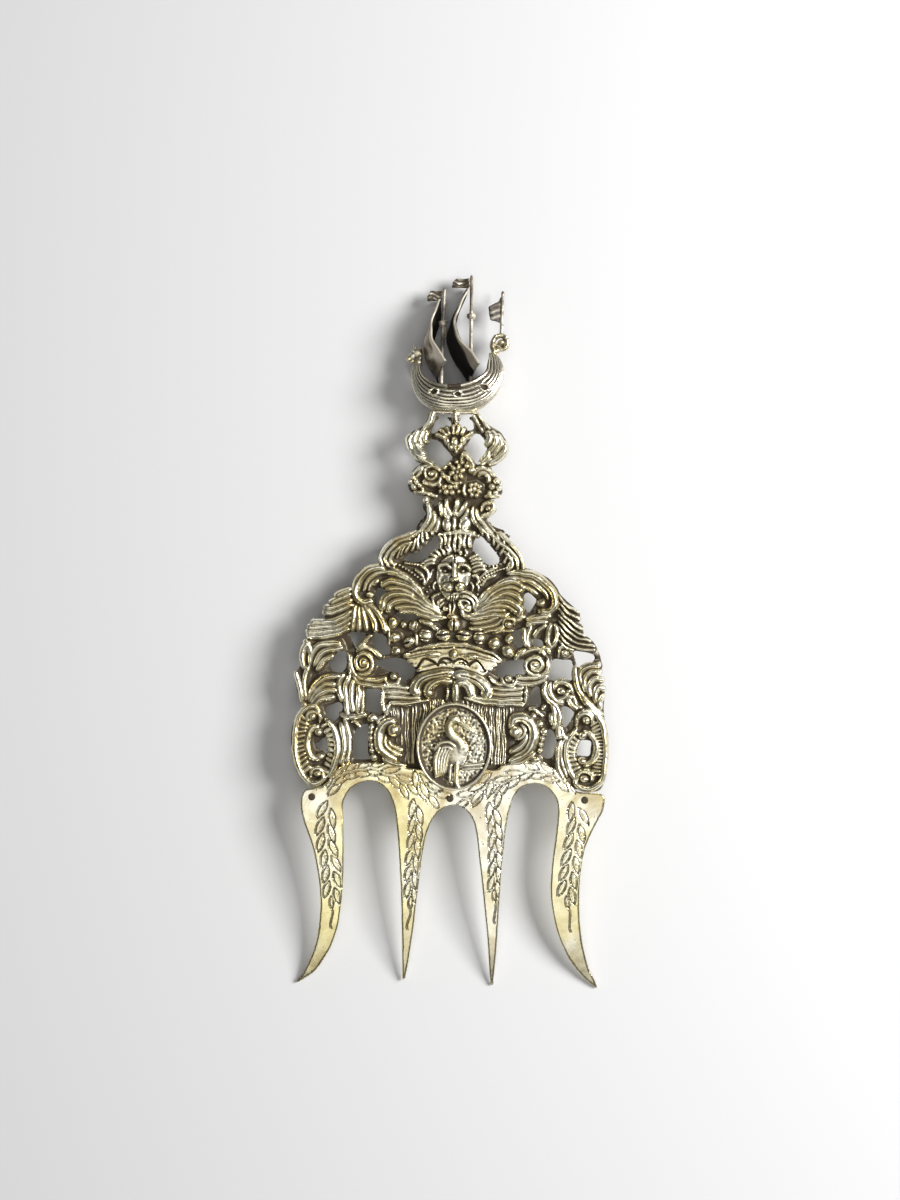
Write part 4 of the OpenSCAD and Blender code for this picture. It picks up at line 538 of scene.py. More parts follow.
NECK_HOLES = [
    "-6.6,56 -5.5,58.8 -4.5,59.9 -3,60 -1.8,59.7 -1,58.5 -1.1,57.6 -2.5,57.5 -4,57 -5,56 -6,55.6",
    "1.3,57.5 1.2,59 2,60 3.8,60 4.8,59.3 5.3,58 5.2,57 4,56.5 2.5,56.8",
    "-8.3,53 -7.5,53.8 -6,54 -4.5,53.5 -3,52 -1.5,50.3 -0.5,49 -1.3,48 -3,45.8 -3.8,45.2 -5,46.3 "
        "-6.5,47.8 -7.7,49 -8.5,51",
    "6,55.8 5,55 4,53.5 3.2,51.5 3.5,50.3 4.5,49 5.5,47.8 6.7,47 7.8,47.8 8.7,49 9.2,50.5 8.9,52.5 "
        "8.3,54 7.3,55.3",
    "-5.1,37.5 -4.3,36.4 -5.1,35.3 -5.9,36.4",
]
PLAQUE = (1.1, -31.7)
PLAQUE_HALF = (10.5, 12.2)


# Ornament. Each mark is the name of a Canvas method and its arguments: a rib has (width, rise, line,
# ends), a knob (x, row, half width, half height, rise, turn, slots, slot turn). Lines are "x,row" points.


def ribs(width, rise, *lines, ends=(0.45, 0.9)):
    """Ribs of one size."""
    return [("rib", width, rise, line, ends) for line in lines]


def grooves(width, depth, *lines):
    """Grooves of one size."""
    return [("groove", width, depth, line) for line in lines]


def balls(rise, *spots):
    """Round bosses as (x, row, radius)."""
    return [("knob", x, y, r, r, rise) for x, y, r in spots]


LEFT_C_SCROLL = [
    ("rib", 1.9, 2.6, "-36.6,-22.4 -38.4,-21.2 -40.6,-22 -42.4,-24.6 -43.3,-28 -43.4,-32 -42.8,-36.4 "
        "-41.2,-40.2 -39,-42.3 -36.6,-42.6 -35,-41.3 -35.4,-39.6", (0.6, 0.6)),
    ("rib", 2.0, 2.4, "-34.8,-24.6 -32.7,-27.3 -31.5,-31 -31.5,-34.5 -32.5,-38 -33.9,-40.8"),
    ("teeth", 12, 2.1, 1.25, 2.1, "-40.9,-24.4 -42.3,-27.5 -42.6,-31.5 -42.2,-35.5 -40.4,-39.4", -0.2),
    ("teeth", 10, -1.9, 1.2, 1.9, "-34.2,-26.2 -32.7,-29 -32.2,-32 -32.5,-35.5 -34.1,-39.6", 0.1),
    ("rib", 2.4, 2.2, "-37,-26.9 -38.8,-27.6 -39.8,-29.8 -39.9,-32.2 -38.9,-34.6 -37,-35.8",
        (0.5, 0.6)),
    ("groove", 0.5, 1.2, "-38.2,-28.6 -38.6,-31 -38,-33.4"), ("knob", -36.8, -28.3, 1.25, 1.1, 2.9),
    ("knob", -36.2, -35, 1.2, 1.0, 2.7), ("knob", -38.3, -24, 1.15, 1.05, 3.0),
    ("knob", -36.9, -39.8, 1.2, 1.05, 2.9),
    ("rib", 1.3, 2.5, "-40,-25.4 -39.6,-23.2 -37.8,-22.6 -36.2,-23.9 -36.4,-25.6"),
    ("rib", 1.3, 2.4, "-38.8,-41 -38.4,-38.8 -36.8,-38.2 -35.4,-39.2"),
]
RIGHT_C_SCROLL = [
    ("rib", 1.7, 2.5, "36,-22.4 38,-21.3 40.2,-22.1 42.2,-24.6 43.1,-28 43.3,-32.5 43.1,-37 42.4,-40.6 "
        "40.4,-42.8 37.4,-43 35.3,-41.6 35.4,-39.7", (0.6, 0.6)),
    ("rib", 1.7, 2.3, "35.4,-26.2 33.4,-29.3 32.5,-33 33.2,-37 34.9,-40"),
    ("rib", 1.2, 2.0, "33.2,-27.8 31.2,-31.4 31.2,-35.4 33,-39.6"),
    ("teeth", 16, -2.1, 0.95, 1.8, "41.2,-24.4 42.2,-27 42.6,-31 42.4,-35.5 41.6,-39.4", -0.1),
    ("teeth", 10, 2.0, 1.15, 1.8, "35.2,-27.6 33.8,-30.4 33.2,-33.6 33.9,-37 35.2,-39.2", 0.1),
    ("rib", 1.9, 2.2, "37.6,-27 39.6,-28.2 40.8,-30.6 40.8,-33 39.6,-35.4 37.6,-36.6", (0.5, 0.6)),
    ("groove", 0.5, 1.2, "39.2,-29.4 39.8,-31.6 39.2,-34"), ("knob", 37, -28.3, 1.3, 1.15, 2.9),
    ("knob", 36.9, -35.3, 1.25, 1.1, 2.7), ("knob", 38, -24, 1.2, 1.1, 3.0),
    ("knob", 37.6, -40.3, 1.3, 1.15, 2.9),
    ("rib", 1.4, 2.5, "39.8,-25.2 39.6,-22.9 37.6,-22.1 35.6,-23.4 35.2,-25.6"),
    ("rib", 1.4, 2.5, "35.6,-41 36,-38.8 38,-38 39.8,-39 39.6,-41"),
]
LEFT_LEAF_SPRAY = ribs(
    1.7, 2.3, "-41.5,-20 -42.3,-16 -43.2,-12.2", "-40.5,-19.4 -40.9,-14.8 -40,-10.4",
    "-41.2,-10.6 -41.6,-7.2 -41,-4.6 -39.8,-3.5", "-39.4,-9.6 -39,-6 -36.4,-3.9 -31.2,-3.5",
    "-38.2,-10 -36.6,-6.6 -34,-5.2 -30.6,-4.8", "-37.4,-11.4 -35.8,-8.7 -33.4,-7.1",
    "-40,-19.4 -38.2,-15.8 -35,-12.9 -31.4,-12.6", "-39.6,-20 -38,-17.6 -35.4,-15 -32.8,-14.8",
    "-39.1,-20.4 -37.6,-18.6 -35,-16.7 -32.6,-16.4", "-38.2,-20.8 -36,-19.2 -33.2,-18.6",
    "-29.9,-12.1 -31.2,-14 -31.4,-16.7 -30.6,-18.8", "-28.3,-12.4 -29.5,-15.8 -29.2,-19.5 -29,-22.6",
    "-27.3,-13.6 -27.8,-17.6 -27.4,-22", "-26,-15.2 -25.6,-18.8 -26.2,-22.4",
    "-30.8,-23.2 -27.6,-23.8 -24,-23.4", "-29.8,-24.4 -28.4,-28.2 -28,-31.9 -28.6,-36",
    "-30.8,-25.6 -29.9,-28.7 -29.5,-32.4 -30.3,-36.6",
) + ribs(
    1.2, 2.0, "-24.8,-16.2 -24.3,-20 -25,-23", "-28.9,-6 -28.4,-9.4 -28.2,-12",
    "-27.6,-25.2 -26.4,-25.4 -25.4,-26.8",
) + balls(1.9, (-40.8, -20.8, 0.8))
RIGHT_LEAF_SPRAY = ribs(
    1.7, 2.3, "34.6,-9 34.7,-12 35.8,-15.6 38.4,-18.9 41.8,-22.2",
    "36.4,-14 35.9,-11.2 37.6,-9.1 41,-8.4", "37.6,-15.8 37.2,-12.6 38.8,-10.5 41.4,-10.2",
    "39,-17.4 38.6,-14.4 40.2,-12.4 42.2,-12.6", "40.4,-19 40.2,-16.2 41.4,-14.6 42.6,-15",
    "41.6,-20.8 41.6,-18.6 42.4,-17", "36.2,-17 38.6,-20 41.8,-23.4",
    "26.4,-13.6 26.1,-15.8 27,-18.4 29.4,-20.2 30.6,-23 30.2,-26 30.4,-28.6",
    "27.8,-13.8 27.7,-16 29,-18.2 31,-19.2",
) + ribs(
    1.5, 2.2, "29,-15.4 29.6,-13.7 31.6,-13.2 33.2,-14.2 33.9,-16.2", "34,-17 34.8,-19 36.4,-20.4",
    "28.2,-19.6 29.2,-22.4 28.9,-26", "32.4,-17.8 33.6,-19.4 35.4,-20.6",
    "29.6,-18.2 31.4,-17.9 32.4,-16.4", "32.6,-29.4 31.4,-27.6 31,-26.2",
    "31.2,-29.6 30.1,-32.6 30.3,-37 31.8,-40",
) + balls(2.6, (30.9, -15.8, 1.2), (32.8, -15.8, 0.8), (33.2, -17.6, 0.8)) + balls(
    2.2, (31, -28.1, 1.15), (34.6, -18.3, 0.8), (26.2, -20.6, 0.8),
) + [("knob", 28.1, -23.8, 0.9, 1.8, 1.9)]
LEFT_FAN = ribs(
    1.75, 2.5, "-28.1,11.9 -29.9,11.2 -32.2,10", "-28.1,10.6 -30.1,9.6 -33.6,8.2",
    "-27.9,9 -30,8 -32.4,6.9 -35,6.5", "-27.7,7.5 -30.4,6.2 -33.1,5.2 -35.4,5.1",
    "-27.6,5.9 -30.6,3.8 -34.2,2.5 -38.6,2.4", "-27.8,4.2 -30.8,2.2 -34.8,1.1 -39.6,1.1",
    "-28.1,2.6 -31.2,0.7 -35.4,-0.3 -40,-0.3", "-28.8,0.8 -32,-0.8 -36.2,-1.6 -39.8,-1.5",
) + ribs(
    1.75, 2.4, "-27.1,7.4 -27.6,4.2 -27.8,0.9", "-26.2,6.9 -26.2,3.8 -26,0.7",
    "-25.3,6.9 -24.6,4.1 -23.9,0.9", "-24.8,7.3 -23,5 -21.6,2.2 -21.2,0.5",
    "-24.4,7.8 -22.1,6.4 -19.8,3.6 -18.5,0.4", "-41,-3 -39.8,-4.3 -39.6,-6",
)
RIGHT_FAN = ribs(
    0.8, 2.5, "29.7,11 30.8,9.1 32.7,7.5 35.2,5.9", "29.7,9.1 31.4,6.9 33.6,5.2 35.7,4.1",
    "29.7,7.3 31.7,4.7 34,3 36.4,1.6", "29.7,5.5 32,2.8 34.5,1.1 37.2,-0.5",
    "29.8,3.6 32.2,0.9 35,-0.8 38.6,-2", "29.9,1.8 32.2,-0.8 35.4,-2.4 39.8,-3.2",
    "30,0.1 31.9,-2.3 35,-3.7 39.8,-4.3", "30.2,-1.8 31.5,-3.4 33.8,-4.3",
) + ribs(
    1.5, 2.2, "27.6,2.8 26.8,0.4 26.9,-2.2 28,-3.7", "28.6,2.6 29.4,0.2 29.2,-2.4 28.3,-3.6",
    "27.8,5 24.6,4.9 21.4,3.9", "26.6,3.3 24,3.3 21.4,2.6", "26.2,2.2 24.4,1 23.4,-0.4",
    "22.2,2 21.3,-0.4 21.5,-3.4", "20.2,1.6 20.4,-1 20.9,-3",
) + balls(2.3, (31.8, -5.4, 1.2)) + [("rib", 1.1, 2.0, "29.8,-6.4 30.4,-4 32.6,-3.8 33.8,-5.6")]
LEFT_VOLUTE = [
    ("rib", 2.3, 2.9, "-19,17.7 -21,17.9 -24,16.7 -26.2,14.2 -27,11.4 -26.4,9.2 -24.6,8 -22.6,8.2",
        (0.5, 0.7)),
    ("rib", 1.5, 2.5, "-14,15.9 -18,16.7 -21.6,15.9 -24,13.8 -24.8,11.4"),
    ("rib", 1.3, 2.2, "-20.4,14.6 -22.6,13.2 -23.4,11.4"), ("knob", -22.7, 10.1, 1.4, 0.9, 2.3, -10),
    ("knob", -21.3, 13.7, 1.4, 0.9, 2.3, 40),
    ("rib", 1.3, 2.1, "-18.6,16 -14.8,15.6 -12,14 -8.8,10.4 -5.6,7.4 -2.4,5.6"),
    ("rib", 2.0, 2.8, "-3.4,5.8 -6.9,8.3 -11,11.9 -14.3,13.6 -17.3,14 -19.1,13.1", (0.4, 0.95)),
    ("rib", 1.8, 2.5, "-4.4,5.8 -7.4,7.6 -11.2,10.4 -14.4,12 -17.8,11.7", (0.4, 0.95)),
    ("rib", 2.1, 2.8, "-3,5.2 -6.2,6.7 -9.8,9 -13.4,10.5 -16.8,10.3 -19,8.6 -19.6,6.6", (0.4, 0.95)),
    ("rib", 1.8, 2.5, "-4.6,5 -8,6.8 -11.2,8.5 -14.6,8.9 -17.2,7.6 -17.9,6", (0.4, 0.95)),
    ("rib", 1.6, 2.3, "-2.8,4.3 -6,5.1 -9.2,6.5 -12.2,7.3 -15.4,6.8", (0.4, 0.9)),
    ("rib", 1.5, 2.2, "-1.4,4 -5,3.9 -8.2,4.9 -11.2,5.9 -14,5.8", (0.4, 0.9)),
] + ribs(1.6, 2.1, "-19.8,5.4 -20,4 -18.8,2.2 -17.4,0.4")
RIGHT_VOLUTE = [
    ("rib", 2.3, 2.9, "15.8,16.6 18.4,17 22,16.6 25.6,14.4 28.2,11.4 28.7,8.4 27.2,6.5 24.8,6.2",
        (0.5, 0.7)),
    ("rib", 1.6, 2.5, "15.4,15.1 18.4,15.4 22,14.5 25.2,12.2 26.6,9.6"),
    ("rib", 1.4, 2.3, "18.6,13.6 21.8,12.6 24,10.8"), ("knob", 24.8, 8.7, 1.3, 1.2, 2.7, 0, 1, 90),
    ("rib", 1.9, 2.7, "5.4,7 7.8,9 10.1,11.6 13.3,13.7 16.1,14.6 18.4,14.1 19.7,12.8", (0.4, 0.95)),
    ("rib", 1.6, 2.4, "6,6.6 8.8,8.6 11.4,11 14,12.5 16.8,12.9 19.2,12", (0.4, 0.95)),
    ("rib", 1.9, 2.7, "6.4,6.2 9.4,8 12,9.9 14.9,11.2 17.6,10.8 19.3,9.3", (0.4, 0.95)),
    ("rib", 2.2, 2.8, "6.2,5.8 8.9,7.2 11.6,8.7 14.5,9.4 17.2,8.6 19,6.7 18.8,5.4", (0.4, 0.95)),
    ("rib", 1.6, 2.4, "5.8,5.4 9.6,6.7 13,7.8 15.8,7.3 17.6,5.9", (0.4, 0.95)),
    ("rib", 1.5, 2.2, "4.8,5.2 8.4,5.5 12,6.4 15,6.4"),
    ("rib", 1.6, 2.4, "2.6,6.4 3.4,4.9 6.4,4.2 10.1,4.7 13.8,5 16,5.6"),
    ("rib", 1.4, 2.2, "2.2,8.6 2.8,6.8 4,6.2"), ("rib", 1.5, 1.9, "16,4.4 18.4,4 20.6,4.8"),
]
LEFT_HORN = ribs(
    1.3, 2.6, "-7.6,33 -9,30 -11,27.7 -14,26.4 -17,25 -19.4,22.8 -20.3,20.4 -19.6,18.6",
    "-7.2,31.6 -9,28.6 -12,26.2 -15.4,24.6 -18,22.3 -18.9,20.2 -17.8,18.5",
    "-11.4,25 -14.6,23.6 -16.8,21.8 -17.4,20 -16.2,18.6",
    "-17.8,18.2 -15,16.8 -12,14.8 -9.6,12.4 -8.2,10", "-16.4,17.6 -13,15.6 -10.4,13 -8.6,11",
) + ribs(
    0.95, 2.2, "-13.4,24 -14.8,22.6 -15.6,20.8", "-12.4,24.6 -13.6,23.2 -14.4,21.4",
    "-11.4,25.2 -12.4,23.6 -13,22", "-10.4,26 -11,24.2 -11.4,22.6", "-9.4,27.4 -9.9,25.4 -9.9,23.2",
    "-8.4,29.6 -8.7,27.2 -8.4,24.9", "-7.4,30.8 -7.8,28.6 -7.2,26.2", "-6.4,32 -6.7,29.8 -6,27.4",
    "-5.4,33 -5.7,30.8 -4.9,28.6", "-9.4,19 -8,18 -6.9,16.4 -6.9,14.8 -7.8,13.4",
    "-10.4,17.6 -9,16.4 -8,14.9 -8.1,13.6",
) + [
    ("beading", 11, 0.42, 2.1, "-17.6,19.6 -14.6,18.4 -11.4,16.6 -9,14.8"),
    ("beading", 9, 0.4, 2.0, "-13.4,19.2 -10.6,18.7 -7.4,19.2"),
]
RIGHT_HORN = ribs(
    1.3, 2.6, "7.2,33 9.4,30.6 12.4,28.2 15.2,25.6 17.8,23 19.2,20.4 19.6,18.4",
    "7,31 9.4,28.8 12.8,25.6 15.8,23 17.8,20.6 18,18.2", "14.4,22.6 16.2,20.8 16.4,18.8 15.4,17.6",
) + ribs(
    0.95, 2.2, "6.4,31 7.4,29 8.4,27.6", "8.6,29.6 9.6,27.6 10,26", "10.2,29 11.4,27 11.4,25",
    "12,28 12.8,25.8 12.4,23.8", "13.8,26.4 14.2,24.2 13.4,22", "15.4,24.6 15.5,22.4 14.2,20",
    "16.7,22.8 16.6,20.8 15.2,18.8", "12.6,18.4 9.6,17 7.8,15.4 7.1,13.8",
    "12.4,16.2 9.8,15.2 8.4,13.2",
) + [
    ("beading", 12, 0.42, 2.1, "15.6,18.6 12.6,17.4 9.6,16 7.8,14.2"),
    ("beading", 9, 0.4, 2.0, "14.4,19.8 11.6,18.8 8.4,18.4 6,18"),
]
CROWN = [
    ("rib", 2.2, 1.7, "-12.9,-6.9 -7,-5.1 0,-4.4 7,-5.1 13.7,-7.7", (0.4, 0.4), 0.9),
    ("rib", 2.2, 1.7, "-11.8,-8 -6,-6.6 0,-6 6,-6.7 12.4,-8.9", (0.4, 0.4), 0.9),
    ("rib", 2.2, 1.7, "-10.6,-9.2 -6,-8 0,-7.4 6,-8.1 11.2,-10", (0.4, 0.4), 0.9),
    ("rib", 2.0, 1.7, "-9,-10.2 -5,-9 0,-8.6 5,-9.1 9.6,-10.9", (0.4, 0.4), 0.9),
    ("rib", 1.0, 2.4, "-13.4,-6.5 -9,-4.5 -3.6,-3.3 0.7,-3 6.5,-3.9 10.8,-5.3 14.3,-7.4"),
    ("rib", 1.5, 2.5, "-9.4,-10.8 -5.4,-9.7 -1.8,-9.1 2.2,-9.3 5.4,-10.1 9.2,-11.4",
        (0.5, 0.5), 0.5, 2),
    *ribs(0.7, 2.3, "-12.8,-7.3 -8,-6.3 -3.6,-6 -1,-6.1", "2,-6.1 7,-6.5 12.6,-8", ends=(0.5, 0.5)),
    ("knob", 0.5, -6, 1.3, 1.3, 3.2, 45), ("knob", -5.2, -6.2, 2.4, 0.85, 3.0, 2),
    ("knob", 5.7, -6.6, 2.2, 0.9, 3.0, -4),
    *grooves(0.45, 1.2, "-12.2,-5.7 -8.6,-5.1 -3.8,-4.4 0,-4.1", "0.9,-4.1 5.8,-4.7 10,-5.8 13,-7.2"),
    *grooves(0.7, 1.6, "-9.4,-10 -8.2,-8 -7.2,-7.4 -5.4,-8.2 -4,-9.2", "-4,-9 -2.6,-7.4 -1,-7.4 "
        "0.4,-8.4", "0.4,-8.4 2.2,-7.3 3.8,-7.8 5,-9.2", "5,-9 6.8,-7.8 8,-8.4 9.2,-10.6"),
    *grooves(0.4, 1.0, "-3.2,-8.6 -2.4,-8.2 -1.6,-8.8", "2.2,-8.6 3,-8.3 3.8,-9"),
    ("coil", -24.7, -8.9, 3.2, 1.35, -110, 1.4, 2.4, 1.4), ("knob", -24.6, -8.8, 1.45, 1.4, 3.2),
    ("coil", 23.4, -8.9, 2.9, 1.2, -70, 1.4, 2.4, 1.3, -1), ("knob", 23.3, -8.8, 1.35, 1.2, 3.0),
] + ribs(
    1.5, 2.1, "-28.2,-6.6 -28.2,-9.6 -27,-12 -24.4,-13.4 -21,-13.6 -18.4,-13",
    "-27.6,-12.4 -25.6,-14.6 -22,-15.3 -18.6,-14.9", "-26.4,-5.6 -24,-4.6 -21.8,-5.4 -19.8,-7",
    "-26.4,-4.8 -24.2,-3 -22.6,-1.4", "26.9,-6.6 26.9,-9.8 25.2,-11.8 21.4,-12.4 18.6,-12.2",
    "26.8,-11.6 24.6,-13.6 20.8,-14.2 17.4,-13.6", "26.4,-6 24.8,-4.6 22,-4.6 20,-5.6",
    "27.6,-5.4 26.4,-4 24.6,-5.2", "20.8,-4.4 19.2,-5.4 18.2,-6.8",
) + [
    ("rib", 1.2, 2.2, "-18.6,-13.4 -17.4,-14.6 -15.4,-14.6 -14.2,-13"),
    ("knob", -16.1, -12.7, 1.15, 1.05, 2.8), ("rib", 1.2, 2.2, "18.4,-13 17,-14.4 15,-14.2 14,-12.6"),
    ("knob", 15.9, -12.6, 1.15, 1.05, 2.8),
] + ribs(
    1.2, 1.9, "-19,-16 -19,-19 -18.6,-22", "10.6,-12.2 13,-14 14.4,-14.2",
    "20.8,-15 21.2,-17 20.6,-19.4",
)
PEARLS = [
    ("knob", -15.8, -1.6, 1.75, 1.6, 2.8, 0, 1, -42), ("knob", -15.5, -5.3, 1.7, 1.4, 2.7, 20, 1, 40),
    ("knob", -11.9, -2.9, 1.7, 1.3, 2.7, 20), ("groove", 0.5, 1.6, "-13.8,-4.2 -13.2,-3.4 -12,-3"),
    ("knob", -7.2, -1, 1.9, 1.75, 2.7, 0, 2, 4), ("knob", -2.1, -0.7, 2.3, 1.65, 2.9, 6),
    ("knob", 3.3, -0.9, 2.2, 1.65, 2.9, -6), ("knob", 0.6, 2.2, 1.8, 1.9, 3.0),
    *grooves(0.6, 2, "-4,-0.7 -2,-0.6 0.4,-0.1", "5,-0.9 3,-0.7 0.9,-0.1", "0.6,3.4 0.6,1.8 0.65,-0.1"),
    ("knob", 7.8, -1.3, 1.9, 1.8, 2.8, 0, 2, 0), ("knob", 12, -2.8, 1.9, 1.8, 2.8, 0, 1, -35),
    ("knob", 15.9, -4.9, 2.1, 1.6, 2.8, -35, 1, -35), ("knob", 16.2, -1.6, 1.4, 1.5, 2.5, 0, 1, 60),
    ("knob", -13.3, 2, 0.95, 1.0, 2.4), ("knob", -10.6, 1.8, 1.3, 1.6, 2.4, -15, 2, 80),
    ("knob", -16.4, 2.4, 1.5, 1.6, 2.6, 40), ("rib", 1.2, 2.3, "14.2,2.2 14.8,4.2 17,4.2 17.4,2.4"),
    ("knob", 15.9, 2.6, 1.1, 1.0, 2.7), ("knob", -6.4, 2.6, 2.1, 0.8, 2.0, -24),
] + ribs(
    1.4, 2.0, "4.8,1.4 8,1.4 12,2.6 14.6,4.4", "5.4,2.8 9,3 12.6,4.4", "9,0.4 12,1 14.4,2",
    "-9,3.4 -6,2.2 -4,1",
) + ribs(1.1, 1.8, "11.4,-0.2 13.6,0.6 16.8,0.8", "-17.4,0.4 -17.6,-3.4", "-9.8,-0.8 -9.8,-3.4")
MANTLING = [
    ("rib", 2.9, 2.9, "0.3,-11.2 -3,-11.4 -6.2,-12.1 -9,-13.6 -10.3,-15.6 -9.8,-16.6", (0.5, 1.0)),
    ("rib", 2.6, 2.7, "0,-13.7 -2.8,-13.5 -5,-14.6 -6.5,-16.2 -6,-17", (0.5, 1.0)),
    ("rib", 2.9, 2.9, "0.7,-11.7 3.6,-11.8 6.6,-12.6 9,-14.2 10.4,-16 10,-17", (0.5, 1.0)),
    ("rib", 2.6, 2.7, "1.4,-14 3.6,-13.8 5.3,-15 5.9,-16.6", (0.5, 1.0)),
    *grooves(0.35, 0.7, "-1,-11.6 -5,-12.1 -8.2,-13.8 -9.6,-15.6", "2.4,-12 6.2,-12.8 8.7,-14.6 "
        "9.8,-16.2"),
    ("rib", 1.7, 2.3, "1.2,-13.8 1.6,-16.4 1.2,-19.6"), ("rib", 1.0, 1.5, "-0.8,-15.4 -0.6,-17 -1,-19"),
] + ribs(
    1.45, 1.9, "-11.8,-15.6 -15,-15.4 -18.6,-15.1", "-11,-17 -15,-16.9 -18.4,-16.6",
    "-8.6,-18.3 -12,-18.4 -18,-18.1", "-6,-18.9 -11,-19.8 -16.6,-20", "11.2,-15.4 15,-15.5 19.8,-15.3",
    "10.8,-17 15,-16.9 19.8,-16.8", "6,-17.8 12,-18.5 19.6,-18.3", "4,-18 10,-19.5 20,-19.8",
)
LEFT_SIDE_SCROLL = [
    ("rib", 2.6, 2.7, "-15.6,-25.4 -17,-25 -19,-26.2 -20,-28.7 -19.8,-31.6 -18.2,-34 -14.8,-35.8",
        (0.4, 0.3)),
    ("rib", 1.5, 2.3, "-18.2,-28.6 -18,-31.2 -16.4,-33.2 -13.4,-34.6"),
    ("rib", 1.4, 2.1, "-17,-30 -16.2,-31.6 -13.2,-33.2"),
    ("rib", 1.6, 2.3, "-18.6,-35.6 -16,-36.8 -13,-37.2", (0.6, 0.3)),
    ("knob", -15.9, -27.4, 1.9, 1.8, 3.4), ("rib", 1.3, 2.0, "-18.4,-23.3 -17.6,-21.4 -17,-20.6"),
    ("knob", -21.9, -24.2, 1.6, 1.1, 2.2, 20), ("rib", 1.2, 1.9, "-20.4,-25.6 -20,-24.4 -18.8,-23.6"),
] + balls(
    2.1, (-22.1, -26.6, 0.95), (-22.2, -28.3, 0.9), (-22.2, -30, 0.9), (-22, -31.6, 0.9),
    (-21.8, -33.2, 0.95), (-21.2, -35.2, 1.1),
)
RIGHT_SIDE_SCROLL = [
    ("rib", 2.7, 2.7, "17,-26 17.7,-23.9 20,-23.3 22.4,-25 23.4,-28 22.6,-31.4 20.2,-34 16.8,-35.8",
        (0.5, 0.3)),
    ("rib", 1.7, 2.4, "21.4,-28 20.8,-30 18.8,-32.2 16.8,-33.4"),
    ("rib", 1.3, 2.2, "19.6,-25.2 20.8,-27 20,-28.8 18.2,-29.4"), ("knob", 18.4, -27.3, 1.8, 1.7, 3.4),
    ("rib", 1.4, 2.0, "23.8,-33 20.8,-35.6 17,-36.8"), ("knob", 23.9, -35, 1.7, 1.0, 2.1, -10),
    ("rib", 1.2, 1.9, "21.6,-21.2 23.8,-21.2 26,-23.2"),
] + balls(
    2.2, (23.2, -23.1, 1.15), (24.9, -25.1, 1.15), (26, -27.3, 1.2), (25.6, -29.3, 0.9),
    (25.3, -31, 0.85), (25.1, -32.7, 0.85),
)


def drapery_folds():
    """Hanging folds round the medallion: fine ribs that waver a little."""
    rng = np.random.default_rng(11)
    marks = []
    for x in np.arange(-17.4, 20.4, 0.62):
        low = -37.0 if -15.5 < x < 15.8 else -24.4
        beside = 1 - ((x - PLAQUE[0]) / PLAQUE_HALF[0]) ** 2
        if beside > 0:
            low = PLAQUE[1] + PLAQUE_HALF[1] * math.sqrt(beside) - 0.8
        rows = np.linspace(-18.6 - 0.1 * abs(x), low, 6)
        line = [(x + rng.uniform(-0.22, 0.22), row) for row in rows]
        marks.append(("rib", rng.uniform(0.4, 0.75), rng.uniform(0.45, 1.0), line, (0.7, 0.6), 0.1))
    return marks


